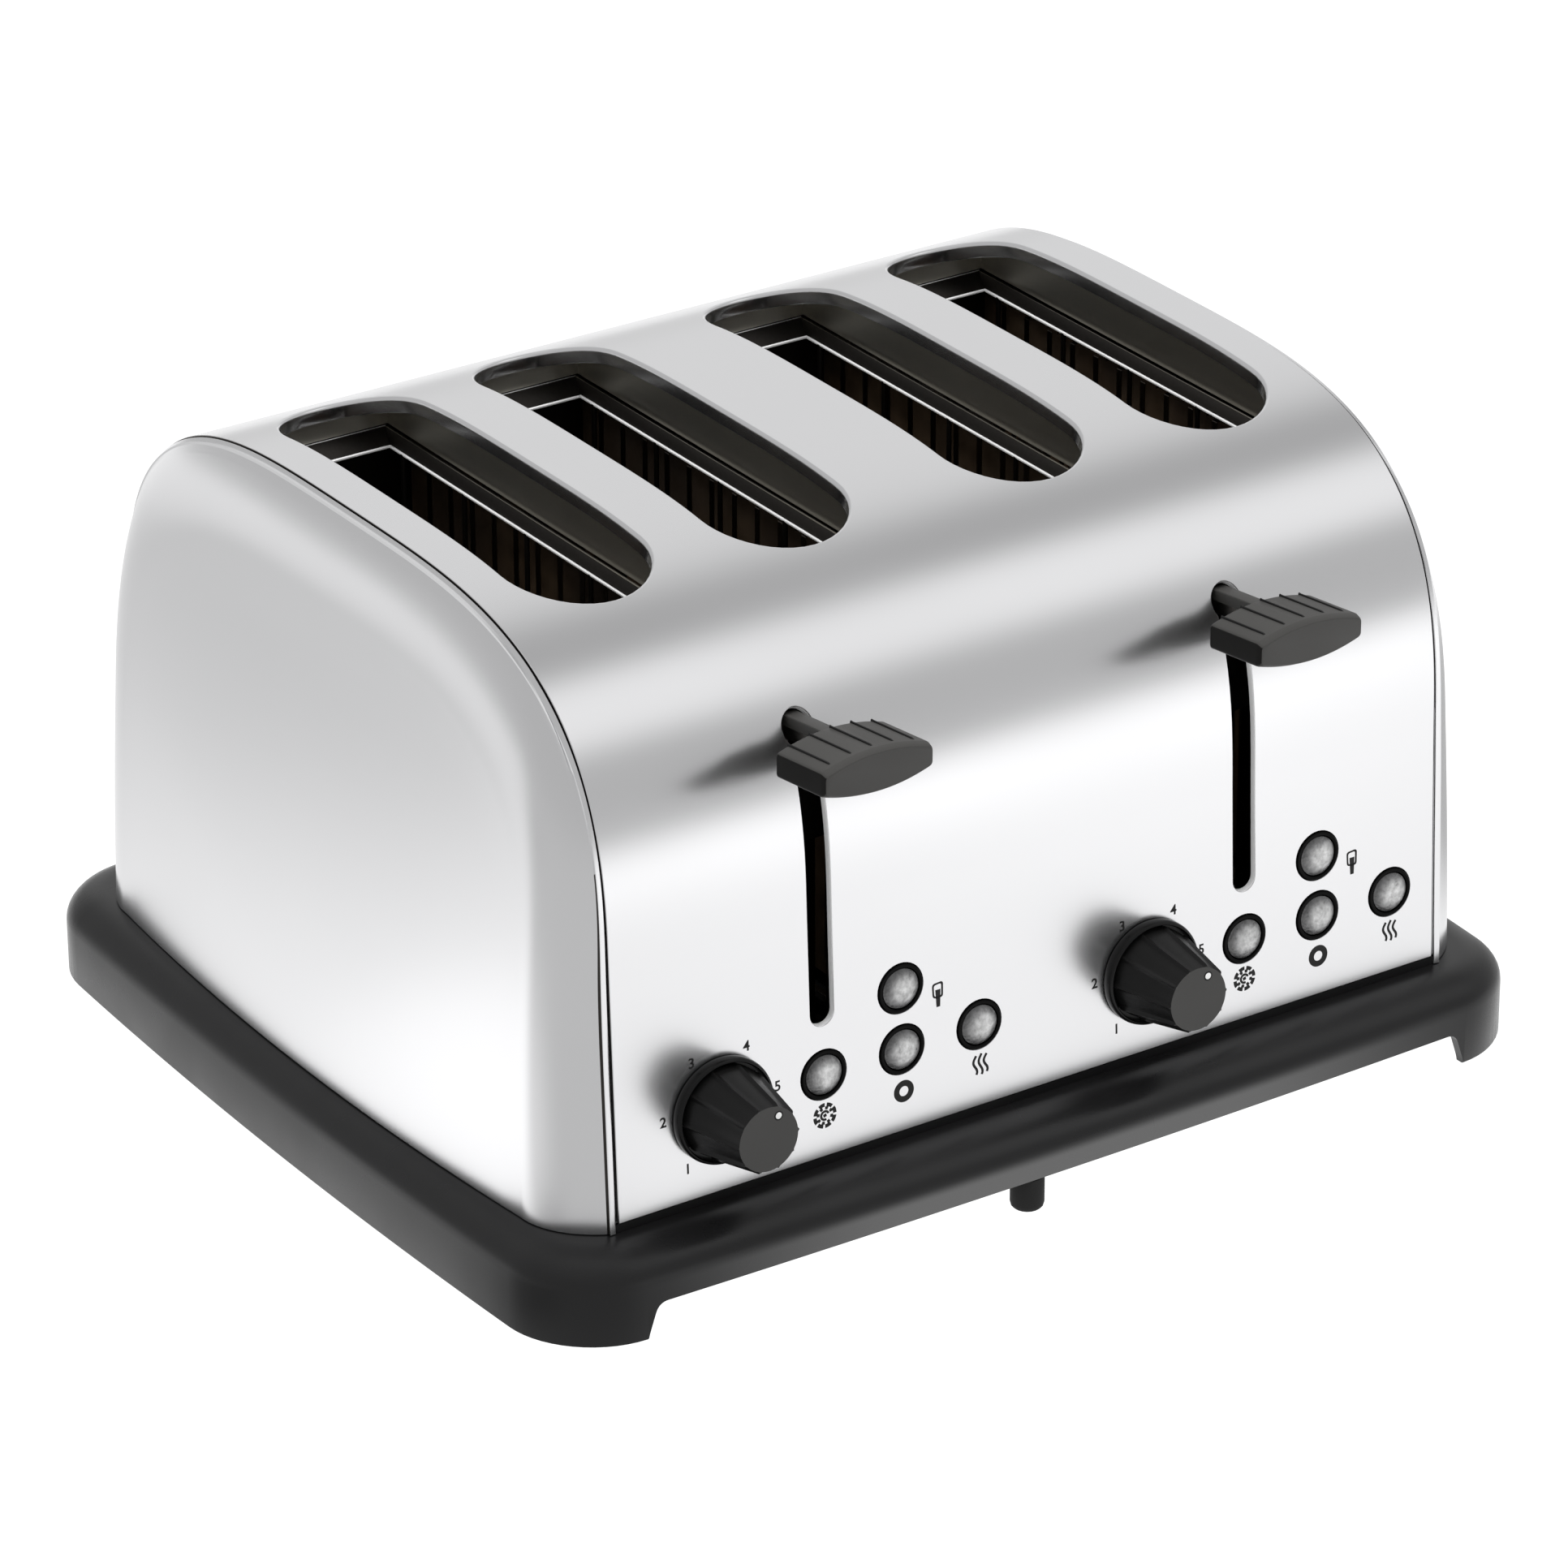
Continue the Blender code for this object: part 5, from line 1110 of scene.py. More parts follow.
def wrap_openings():
    """Each opening of the arched sheet as (its outline on the flat sheet, its rings, its coat)."""
    openings = []
    for x in slot_places():
        flat = [(px, at_depth(py)) for px, py in rim_points(x, 0)]
        openings.append((flat, rim_rings(x), 0))
    for _, side in SIDES:
        centre = side * UNIT_X

        def lever_slot(overhang, centre=centre):
            return [(centre + u, at_height(v)) for u, v in keyhole(FLANGE_EDGE - overhang)]

        # The lever slot's cut takes coat 1, a near-white painted highlight along its edge
        openings.append((lever_slot(0), edge_rings(lever_slot, FLANGE_DEPTH, FLANGE_EDGE), 1))
        level = at_height(CONTROL_HEIGHT)
        rounds = [(RING_RADIUS + GAP, dx, up) for _, dx, up in BUTTONS]
        rounds.append((BUSHING_RADIUS + GAP, KNOB_X, 0))
        for radius, dx, up in rounds:

            def circle(overhang, radius=radius, place=(centre + dx, level + up)):
                return arc(place, radius + SHEET_EDGE - overhang, 0, 360, 40)[:-1]

            openings.append((circle(0), edge_rings(circle), 0))
    return openings


def border(overhang, across, along):
    """The flat sheet's border, moved outwards, through its edge points in order."""
    low, high, left, right = along[0], along[-1], across[0], across[-1]
    edge = [(x, low) for x in across] + [(right, s) for s in along[1:]]
    edge += [(x, high) for x in across[-2::-1]] + [(left, s) for s in along[-2:0:-1]]
    sideways = {left: -overhang, right: overhang}
    lengthways = {low: -overhang, high: overhang}
    return [(x + sideways.get(x, 0), s + lengthways.get(s, 0)) for x, s in edge]


def sheet_stations(columns=57, flat_rows=12, curved_rows=74):
    """The grid's places across and along the flat sheet, closer together where it curves."""
    half = BODY_WIDTH / 2 - SHEET_EDGE
    start = at_height(WRAP_BOTTOM) + SHEET_EDGE
    turn = at_height(ARCH_START - CURVE_MARGIN)
    flat = np.linspace(start, turn, flat_rows)[:-1]
    front = np.concatenate([flat, np.linspace(turn, ALONG[-1] / 2, curved_rows)])
    rear = (ALONG[-1] - front)[::-1][1:]
    return np.linspace(-half, half, columns).tolist(), np.concatenate([front, rear]).tolist()


def flat_net(across, along, outlines):
    """The flat sheet as triangles: its points, its faces and the points on each outline.

    The first outline is the border, and the others are the openings.
    """
    points = []
    loops = []
    for outline in outlines:
        loops.append(range(len(points), len(points) + len(outline)))
        points += outline
    inner = np.array([(x, s) for x in across[1:-1] for s in along[1:-1]])
    keep = np.ones(len(inner), bool)
    for outline in map(np.array, outlines[1:]):
        near = np.abs(inner[:, None, :] - outline[None, :, :])
        distance = np.hypot(near[..., 0], near[..., 1]).min(axis=1)
        keep &= (distance > NET_CLEARANCE) & ~inside_polygon(inner, outline)
    flat = [Vector(point) for point in (*points, *inner[keep])]
    edges = [edge for loop in loops for edge in zip(loop, [*loop[1:], loop[0]])]
    verts, _, faces, sources, _, _ = delaunay_2d_cdt(flat, edges, [], 0, 1e-7)
    verts = np.array([tuple(vert) for vert in verts])
    middles = np.array([verts[list(face)].mean(axis=0) for face in faces])
    gone = np.zeros(len(faces), bool)
    for outline in map(np.array, outlines[1:]):
        gone |= inside_polygon(middles, outline)
    faces = [face for face, out in zip(faces, gone) if not out]
    found = {source: index for index, group in enumerate(sources) for source in group}
    return verts, faces, [[found[source] for source in loop] for loop in loops]


# The bands of faces that show the cut at an edge, counted from the outer face. They take the opening's
# coat: a painted highlight at the lever slots, painted shade along the border
PAINTED_EDGE_BANDS = slice(2, 6)


def wrap_mesh():
    """The arched sheet, from a flat net with its openings, folded over the arch and given its thickness."""
    across, along = sheet_stations()
    edge = edge_rings(lambda overhang: border(overhang, across, along))
    # The border's edge takes coat 2, dark: painted shade along the seams
    openings = [(border(0, across, along), edge, 2), *wrap_openings()]
    verts, faces, loops = flat_net(across, along, [outline for outline, _, _ in openings])
    mesh = bmesh.new()
    outer = [mesh.verts.new(on_body(x, s)) for x, s in verts]
    inner = [mesh.verts.new(on_body(x, s, SHEET)) for x, s in verts]
    for face in faces:
        mesh.faces.new([outer[index] for index in face])
        mesh.faces.new([inner[index] for index in reversed(face)])
    for loop, (_, rings, coat) in zip(loops, openings):
        rows = [[outer[index] for index in loop]]
        rows += [[mesh.verts.new(point) for point in ring] for ring in rings]
        rows.append([inner[index] for index in loop])
        bands = [bridge(mesh, low, high) for low, high in zip(rows, rows[1:])]
        for face in sum(bands[PAINTED_EDGE_BANDS], []):
            face.material_index = coat
    loose = [vert for vert in mesh.verts if not vert.link_faces]
    bmesh.ops.delete(mesh, geom=loose, context="VERTS")
    return finish_mesh(mesh)


def smooth_sheet(made, steep_share=0.9, tolerance=0.00003):
    """Shades the arched sheet by the arch's own curve, so that its net of triangles doesn't show."""
    data = made.data
    count = len(data.vertices)
    places = np.empty(count * 3)
    data.vertices.foreach_get("co", places)
    _, y, z = places.reshape(-1, 3).T
    y = y - ROOT_Y
    half = len(ALONG) // 2 + 1
    by_height = np.interp(z, LINE_Z[:half], ALONG[:half])
    by_height = np.where(y < 0, by_height, ALONG[-1] - by_height)
    steep = np.abs(y) > front_face(ARCH_START) * steep_share
    along = np.where(steep, by_height, np.interp(y, LINE_Y, ALONG))
    away = np.hypot(y - np.interp(along, ALONG, LINE_Y), z - np.interp(along, ALONG, LINE_Z))
    normals = np.zeros((count, 3))
    normals[:, 1] = np.interp(along, ALONG, NORMAL_Y)
    normals[:, 2] = np.interp(along, ALONG, NORMAL_Z)
    normals[away >= tolerance] = 0
    corner_vertex = np.empty(len(data.loops), int)
    data.loops.foreach_get("vertex_index", corner_vertex)
    data.normals_split_custom_set(normals[corner_vertex].tolist())


# The band beside a seam, as (distance from the seam, depth under the arch's line), and where its step ends
BAND_STEPS = ((0.0002, 0), (0.0006, 0), (0.0012, 0), (0.0017, 0), (0.0019, 0.00006))
BAND_END = 0.0022
BAND_FADE = (0.14, 0.186)
BAND_SINK = 0.0004
GROOVE_FADE = (0.095, 0.132)
SEAM_FADE = (0.08, 0.15)
SEAM_CLOSING = 0.00045
BAND_NARROWING = 0.5
BAND_SPACING = 0.00005
GROOVE_WIDTH = 0.00003

# The rounded edge of a domed end at its seam, as (depth under the arch's line, place past the seam)
SEAM_EDGE = ((0.00012, 0.00003), (0.00035, -0.0001), (0.0007, -0.0001))


def size_at(share):
    """How large the arch of a domed end still is at a share of its rounding's depth."""
    least = math.cos(CAP_START_ANGLE)
    across = least + share * (1 - least)
    return 1 - CAP_EDGE_SHARE * (1 - math.sqrt(max(1 - across**2, 0)) / math.sin(CAP_START_ANGLE))


def cap_depth(height):
    """How far a domed end's rounding reaches out at a height."""
    up = (height - BODY_BOTTOM) / (BODY_HEIGHT - BODY_BOTTOM)
    return CAP_EDGE_DEPTH + (CAP_TOP_EDGE_DEPTH - CAP_EDGE_DEPTH) * up**2


def cap_levels(edge_steps, face_steps):
    """A domed end's steps from seam to face, as (size of the arch, share of the depth, bow)."""
    levels = []
    for step in range(edge_steps + 1):
        turn = CAP_START_ANGLE * (1 - step / edge_steps)
        share = (math.cos(turn) - math.cos(CAP_START_ANGLE)) / (1 - math.cos(CAP_START_ANGLE))
        levels.append((size_at(share), share, 0))
    for step in range(1, face_steps):
        inner = 1 - step / face_steps
        levels.append((inner * levels[edge_steps][0], 1, CAP_BOW * (1 - inner**2)))
    return levels


def cap_outline(inset, columns):
    along = np.linspace(0, ALONG[-1], columns)
    return [on_body(0, s, inset)[1:] for s in along]


def cap_rows(mesh, inset, levels, columns):
    """One wall of a domed end as rows of points, from the seam to the middle of the foot.

    The outer wall starts with a narrow band, flush with the arched sheet, and a small step. The band
    fades away toward the top of the arch.
    """
    root = BODY_WIDTH / 2 + SEAM
    outline = cap_outline(inset, columns)

    def place(y, z, size, share, bow):
        height = BODY_BOTTOM + (z - BODY_BOTTOM) * size
        return Vector((root + (cap_depth(height) - inset) * share + bow, y * size, height))

    def beside_seam(y, z, out):
        share = min(out / cap_depth(z), 1)
        return place(y, z, size_at(share), share, 0)

    def narrowed(z, out):
        return out * (1 - BAND_NARROWING * faded(z, SEAM_FADE))

    rows = []
    if inset == 0:
        for out, depth in BAND_STEPS:
            row = []
            for (y, z), (flat_y, flat_z) in zip(outline, cap_outline(depth, columns)):
                flush = Vector((root + narrowed(z, out), flat_y, flat_z))
                gone = faded(z, BAND_FADE)
                rounded_off = beside_seam(y, z, narrowed(z, out)) - Vector((0, 0, BAND_SINK * gone))
                point = flush.lerp(rounded_off, gone)
                point.x -= SEAM_CLOSING * faded(z, SEAM_FADE) * (1 - out / BAND_STEPS[-1][0])
                row.append(mesh.verts.new(point))
            rows.append(row)
        width = BAND_END - BAND_STEPS[-1][0] - GROOVE_WIDTH
        row = []
        for y, z in outline:
            out = narrowed(z, BAND_END - width * faded(z, GROOVE_FADE))
            row.append(mesh.verts.new(beside_seam(y, z, out)))
        rows.append(row)
    for index, (size, share, bow) in enumerate(levels):
        if inset == 0 and share * CAP_EDGE_DEPTH < BAND_END:
            continue
        row = []
        for y, z in outline:
            least = BAND_END + BAND_SPACING * index
            if inset == 0 and share * cap_depth(z) < least:
                row.append(mesh.verts.new(beside_seam(y, z, least)))
            else:
                row.append(mesh.verts.new(place(y, z, size, share, bow)))
        rows.append(row)
    pole = mesh.verts.new((root + CAP_EDGE_DEPTH - inset + CAP_BOW, 0, BODY_BOTTOM))
    return rows, pole


def faded(height, limits):
    """How much of a detail beside the seam has gone at a height, from zero to one between two limits."""
    low, high = limits
    share = min(max((height - low) / (high - low), 0), 1)
    return share * share * (3 - 2 * share)


def cap_mesh(side, columns=191):
    """A domed end: two walls, a rounded seam edge between them and the flange under the arched sheet."""
    mesh = bmesh.new()
    outer, outer_pole = cap_rows(mesh, 0, cap_levels(30, 14), columns)
    inner, inner_pole = cap_rows(mesh, SHEET, cap_levels(30, 14), columns)
    root = BODY_WIDTH / 2 + SEAM
    seam_rows = []
    for inset, lift in SEAM_EDGE:
        row = []
        for y, z in cap_outline(inset, columns):
            x = root + lift - SEAM_CLOSING * faded(z, SEAM_FADE)
            row.append(mesh.verts.new((x, y, z - BAND_SINK * faded(z, BAND_FADE))))
        seam_rows.append(row)
    for rows, pole in ((outer, outer_pole), (inner, inner_pole)):
        bands = [bridge(mesh, low, high, closed=False) for low, high in zip(rows, rows[1:])]
        # The groove's faces low on the end are painted dark: painted shade, so that the seam shows as a
        # dark line
        if rows is outer:
            for face in bands[len(BAND_STEPS) - 1]:
                face.material_index = int(face.calc_center_median().z < GROOVE_FADE[1])
        for pair in zip(rows[-1], rows[-1][1:]):
            mesh.faces.new((*pair, pole))
    chain = [outer[0], *seam_rows, inner[0]]
    for low, high in zip(chain, chain[1:]):
        bridge(mesh, low, high, closed=False)
    for end in (0, -1):
        foot = [row[end] for row in outer] + [outer_pole, inner_pole]
        mesh.faces.new(foot + [row[end] for row in (*inner[::-1], *seam_rows[::-1])])
    bmesh.ops.triangulate(mesh, faces=[face for face in mesh.faces if len(face.verts) > 4])
    finish_mesh(mesh)
    shell = merged([mesh, cap_flange_mesh(columns)])
    if side > 0:
        return shell
    return finish_mesh(moved(shell, matrix=Matrix.Scale(-1, 4, (1, 0, 0))))


def cap_flange_mesh(columns):
    """The strip that reaches from a domed end under the edge of the arched sheet."""
    low = BODY_WIDTH / 2 - CAP_FLANGE_WIDTH
    high = BODY_WIDTH / 2 + SEAM + CAP_FLANGE_ROOT / 3
    start = at_height(WRAP_BOTTOM)
    along = np.linspace(start, ALONG[-1] - start, columns)
    depth = SHEET + GAP
    mesh = bmesh.new()
    rows = []
    for x, inset in ((low, depth), (high, depth), (high, depth + SHEET), (low, depth + SHEET)):
        rows.append([mesh.verts.new(on_body(x, s, inset)) for s in along])
    for index, row in enumerate(rows):
        bridge(mesh, row, rows[(index + 1) % len(rows)], closed=False)
    for end in (0, -1):
        mesh.faces.new([row[end] for row in rows])
    return finish_mesh(mesh)


# Base


def shoulder(wall, start, width, top, steps):
    """The base's side from the table up, as (inset, height): a wall that turns in to the deck."""
    turned_in = arc((0, 0), 1, 0, 90, steps)
    return [(wall + width * (1 - c), start + (top - start) * s) for c, s in turned_in]


def base_mesh():
    """The plinth: a hollow shell with a rounded shoulder, feet, curbs, bosses and its openings."""
    outside = [(0.0008, 0), (0.00024, 0.00024), (0, 0.0008)]
    outside += shoulder(0, SHOULDER_START, SHOULDER_WIDTH, BASE_HEIGHT, 12)
    inside = [(BASE_WALL, -PAST)]
    inside += shoulder(BASE_WALL, SHOULDER_START - DECK, SHOULDER_WIDTH, BASE_HEIGHT - DECK, 5)
    solids = []
    for profile in (outside, inside):
        solids.append(loft([[(x, y, z) for x, y in base_outline(inset)] for inset, z in profile]))
    half = BODY_WIDTH / 2 + SEAM - GAP
    outer = front_face(BASE_HEIGHT) - CURB_INSET
    extra = []
    for low in (-outer, outer - CURB_THICKNESS):
        corner = (-half, low, BASE_HEIGHT - OVERLAP)
        extra.append(box(corner, (half, low + CURB_THICKNESS, BASE_HEIGHT + CURB_HEIGHT)))
    for x, y in BOSS_PLACES:
        extra.append(moved(cylinder(BOSS_RADIUS, BOSS_LOW, BASE_HEIGHT - DECK + OVERLAP, 16), x, y))
    shell = join(cut(*solids), merged(extra))
    holes = [base_cutout()]
    rear = BASE_DEPTH / 2 + BASE_FRONT_BOW
    low, high = TRAY_OPENING_HEIGHTS
    for _, side in SIDES:
        x = side * UNIT_X
        outline = shifted(rounded(rectangle(*WELL_SIZE), WELL_CORNER, 4), x)
        holes.append(prism(outline, BASE_HEIGHT - WELL_DEPTH, BASE_HEIGHT + PAST))
        corner = (x - TRAY_OPENING_WIDTH / 2, rear - TRAY_OPENING_DEPTH, low)
        holes.append(box(corner, (x + TRAY_OPENING_WIDTH / 2, rear + PAST, high)))
    bore = moved(cylinder(CORD_HOLE_RADIUS, -PAST, PAST, 32), matrix=Matrix.Rotation(math.pi / 2, 4, "X"))
    holes.append(moved(bore, 0, rear, CORD_HEIGHT))
    return cut(shell, *holes)


def base_cutout():
    """What is cut out of the front skirt between the two front feet."""
    top = BASE_WIDTH / 2 - FOOT_LENGTH + BASE_SIDE_BOW
    bottom = top + FOOT_DRAFT
    half = [(top, CUTOUT_HEIGHT), (bottom, 0), (bottom, -PAST)]
    polygon = [(-bottom, 0), (-top, CUTOUT_HEIGHT), *half, (-bottom, -PAST)]
    front = -(BASE_DEPTH / 2 + BASE_FRONT_BOW + PAST)
    return prism(rounded(polygon, FOOT_FILLET, 8), front, front + CUTOUT_DEPTH, "Y")


# Levers


def along_lever(top, height, rear, front):
    """A bar along the lever as (y, z), from its top's height at the back of the handle."""
    lower = [(y, top - height + lever_rise(y)) for y in (front, rear)]
    return lower + [(y, top + lever_rise(y)) for y in (rear, front)]


def handle_mesh():
    """The lens-shaped handle with its arm, the pocket for the bar and softened edges."""
    front = HANDLE_REAR_Y - HANDLE_DEPTH
    soft = HANDLE_SOFT_EDGE
    levels = [
        (soft, soft, HANDLE_REAR_Y),
        (soft * 0.3, soft * 0.3, HANDLE_REAR_Y - soft * 0.3),
        (0, 0, HANDLE_REAR_Y - soft),
        (0, 0, front + HANDLE_BEVEL + 0.0004),
        (0.00004, 0.00006, front + HANDLE_BEVEL - 0.0001),
        (0.0002, HANDLE_BEVEL_DROP * 0.75, front + 0.0006),
        (0.0004, HANDLE_BEVEL_DROP * 1.0, front + 0.00014),
        (0.0007, HANDLE_BEVEL_DROP * 1.3, front),
    ]
    rings = []
    for inset, drop, y in levels:
        centre = HANDLE_CENTRE + lever_rise(y)
        rings.append([(x, y, centre + z) for x, z in lens(inset, drop)])
    inner_end = HANDLE_REAR_Y + ARM_LENGTH
    arm = along_lever(ARM_TOP, ARM_THICKNESS, inner_end, HANDLE_REAR_Y - HANDLE_BEVEL)
    arm = bevelled(prism(arm, -ARM_WIDTH / 2, ARM_WIDTH / 2, "X"), 0.0005, 3)
    pocket_end = HANDLE_REAR_Y - LEVER_BAR_REACH - GAP
    height = LEVER_BAR_HEIGHT + 2 * GAP
    pocket = along_lever(ARM_TOP - ARM_THICKNESS, height, HANDLE_REAR_Y + PAST, pocket_end)
    half_bar = LEVER_BAR_THICKNESS / 2 + GAP
    mesh = cut(join(loft(rings), arm), prism(pocket, -half_bar, half_bar, "X"))
    # The front faces take the handle's painted highlight, and the end faces its painted shade
    for face in mesh.faces:
        place = face.calc_center_median().y
        if place < front + PAINTED_HIGHLIGHT_DEPTH:
            face.material_index = 1
        elif abs(face.normal.x) > PAINTED_SHADE_LEAST and place < HANDLE_REAR_Y:
            face.material_index = 2
    return mesh


def handle_ribs(count, spacing, width, rise):
    """The ribs across a handle's top, each following the handle's length and its crown."""
    front = HANDLE_REAR_Y - HANDLE_DEPTH
    start_y = HANDLE_REAR_Y + 0.0001
    end_y = front + HANDLE_BEVEL + 0.0016
    half, foot = width / 2, -0.0009
    section = [(-half, foot), (half, foot), (half * 0.8, rise * 0.7), (0, rise), (-half * 0.8, rise * 0.7)]
    top = HANDLE_CENTRE + HANDLE_HEIGHT / 2
    rings = []
    for y, share in ((start_y, 1.25), (start_y - 0.0006, 1), (end_y + 0.0009, 0.85), (end_y, 0.1)):
        rings.append([(x, y, top + lever_rise(y) + (z * share if z > 0 else z)) for x, z in section])
    crown = -(HANDLE_HEIGHT - HANDLE_END_HEIGHT) / 2 / (HANDLE_WIDTH / 2) ** 2
    start = (-spacing * (count - 1) / 2, 0, 0)
    # The ribs are coloured near-black, as painted shade
    return array(loft(rings), "rib_plastic", count, (spacing, 0, 0), start=start, crown=crown)


# Controls


# A knob's hollow from one ridge to the next, as (share of the way, share of the depth)
HOLLOW_SHARES = (
    (0, 0), (0.045, 0.25), (0.09, 0.75), (0.14, 0.92), (0.3, 0.98),
    (0.5, 1), (0.7, 0.98), (0.86, 0.92), (0.91, 0.75), (0.955, 0.25),
)


def knob_mesh(flutes, depth):
    """The knob: narrow ridges with shallow hollows between them, and a flat face set inside them."""
    low = 2 * GAP + COLLAR_FLOOR
    edge = KNOB_LENGTH - KNOB_EDGE
    taper = (KNOB_RADIUS - KNOB_FACE_RADIUS) / (edge - COLLAR_HEIGHT)
    levels = [
        (KNOB_RADIUS - 0.0003, low, 0.4),
        (KNOB_RADIUS, low + 0.0004, 0.5),
        (KNOB_RADIUS, COLLAR_HEIGHT, 0.8),
        (KNOB_RADIUS - taper * 0.004, COLLAR_HEIGHT + 0.004, 1),
        (KNOB_RADIUS - taper * 0.012, COLLAR_HEIGHT + 0.012, 1),
        (KNOB_FACE_RADIUS, edge, 0.9),
        (KNOB_FACE_RADIUS - 0.00016, edge + 0.0004, 0.75),
        (KNOB_FACE_RADIUS - 0.00055, KNOB_LENGTH - 0.0001, 0.25),
        (KNOB_FACE_RADIUS - 0.0007, KNOB_LENGTH, 0.1),
        (KNOB_FACE_RADIUS * 0.5, KNOB_LENGTH, 0),
    ]
    rings = []
    for radius, height, share in levels:
        points = []
        for flute in range(flutes):
            for way, hollow in HOLLOW_SHARES:
                turn = 2 * math.pi * (flute + way) / flutes
                reach = radius - depth * share * hollow
                points.append((reach * math.cos(turn), reach * math.sin(turn), height))
        rings.append(points)
    bore = cylinder(SHAFT_RADIUS + GAP, low - PAST, SHAFT_LENGTH + GAP)
    mesh = cut(loft(rings), bore)
    for face in mesh.faces:
        if face.calc_center_median().z > KNOB_LENGTH - 0.00002:
            face.material_index = 1
    return mesh


def knob_pointer():
    """The white dot near the knob's edge, in its dark ring."""
    foot = -0.0003
    profile = [(0, foot), (0.00095, foot), (0.00095, 0.00004), (0.0007, 0.00012), (0, 0.00014)]
    dot = turned(profile, 32)
    profile = [(0.00096, foot), (0.0014, foot), (0.0014, 0.00003), (0.0012, 0.00007), (0.00096, 0.00002)]
    ring = turned(profile, 32, closed=True)
    for face in ring.faces:
        face.material_index = 1
    place = (DOT_REACH * math.sin(DOT_TURN), DOT_REACH * math.cos(DOT_TURN), KNOB_LENGTH)
    return moved(merged([dot, ring]), *place)


def collar_mesh():
    """The stepped ring on the panel: a rounded outer band, a groove and a well for the knob."""
    recess = KNOB_RADIUS + 0.0004
    profile = [
        (COLLAR_HOLE_RADIUS, GAP),
        (COLLAR_RADIUS - 0.0001, GAP),
        (COLLAR_RADIUS, GAP + 0.0002),
        (COLLAR_RADIUS, COLLAR_HEIGHT - 0.0012),
        (COLLAR_RADIUS - 0.0002, COLLAR_HEIGHT - 0.0005),
        (COLLAR_RADIUS - 0.0006, COLLAR_HEIGHT - 0.0001),
        (COLLAR_RADIUS - 0.0009, COLLAR_HEIGHT),
        (COLLAR_RADIUS - 0.0011, COLLAR_HEIGHT - 0.0003),
        (recess + 0.00025, COLLAR_HEIGHT - 0.0005),
        (recess, COLLAR_HEIGHT - 0.0008),
        (recess, GAP + COLLAR_FLOOR),
        (COLLAR_HOLE_RADIUS, GAP + COLLAR_FLOOR),
    ]
    return turned(profile, 96, closed=True)


def bezel_mesh():
    """The moulding behind the steel, with a ring around each button hole and posts to the board."""
    margin = BEZEL_MARGIN
    end = BODY_WIDTH / 2 - CAP_FLANGE_WIDTH - BEZEL_END_GAP - UNIT_X
    left, right, top = BUTTON_PITCH - margin, BUTTON_PITCH + margin, BUTTON_RISE + margin
    outline = [(-margin, -margin), (end, -margin), (end, margin), (right, margin), (right, top)]
    outline += [(left, top), (left, margin), (-margin, margin)]
    plate = prism(outline, BEZEL_BACK, PANEL_BACK)
    profile = [
        (0, PANEL_BACK - OVERLAP),
        (RING_RADIUS, PANEL_BACK - OVERLAP),
        (RING_RADIUS, RING_PROUD - 0.00015),
        (RING_RADIUS - 0.00015, RING_PROUD),
        (BUTTON_RADIUS + 0.0006, RING_PROUD),
        (BUTTON_RADIUS + 0.0003, RING_PROUD - 0.00015),
        (0, RING_PROUD - 0.0002),
    ]
    rings = [moved(turned(profile, 56), x, up) for _, x, up in BUTTONS]
    places = (BUTTON_PITCH / 2, BUTTON_PITCH * 3 / 2)
    posts = [moved(cylinder(POST_RADIUS, POST_END, BEZEL_BACK + OVERLAP, 16), x) for x in places]
    bore = (BUTTON_RADIUS + BUTTON_PLAY, BEZEL_BACK - PAST, PAST, 56)
    bores = [moved(cylinder(*bore), x, up) for _, x, up in BUTTONS]
    return cut(join(plate, merged(rings), merged(posts)), *bores)


def button_mesh(steps=14):
    """A push button: a dome with a soft rim, a flange behind the moulding and a stem."""
    flange = BEZEL_BACK - GAP
    back = flange - BUTTON_FLANGE_THICKNESS
    profile = []
    for step in range(steps + 1):
        share = step / steps * 0.965
        profile.append((BUTTON_RADIUS * share, BUTTON_DOME * (1 - share**3)))
    profile += [
        (BUTTON_RADIUS * 0.99, BUTTON_DOME * 0.05),
        (BUTTON_RADIUS, -0.0002),
        (BUTTON_RADIUS, flange),
        (BUTTON_FLANGE_RADIUS, flange),
        (BUTTON_FLANGE_RADIUS, back),
        (BUTTON_STEM_RADIUS, back),
        (BUTTON_STEM_RADIUS, BUTTON_STEM_END),
        (0, BUTTON_STEM_END),
    ]
    mesh = turned(profile, 56)
    # How far each point lies from the middle of the painted highlight, for the lens's painted light and
    # shade
    layer = mesh.verts.layers.float.new("dome_share")
    for vert in mesh.verts:
        share = math.hypot(vert.co.x - LENS_LIGHT_CENTRE[0], vert.co.y - LENS_LIGHT_CENTRE[1]) / BUTTON_RADIUS
        vert[layer] = share if vert.co.z > 0 else 1.0
    return mesh


# Printed marks


def text_outline(text, size):
    """Text as a flat mesh, centred on the origin and a little bolder than its font."""
    curve = bpy.data.curves.new("text", "FONT")
    curve.body = text
    curve.size = size
    curve.offset = LETTER_GROWTH
    curve.align_x = "CENTER"
    curve.align_y = "CENTER"
    made = shown("text", curve)
    bpy.context.view_layer.update()
    graph = bpy.context.evaluated_depsgraph_get()
    mesh = unpacked(bpy.data.meshes.new_from_object(made.evaluated_get(graph)))
    bpy.data.objects.remove(made)
    bpy.data.curves.remove(curve)
    bmesh.ops.remove_doubles(mesh, verts=mesh.verts, dist=1e-7)
    return mesh


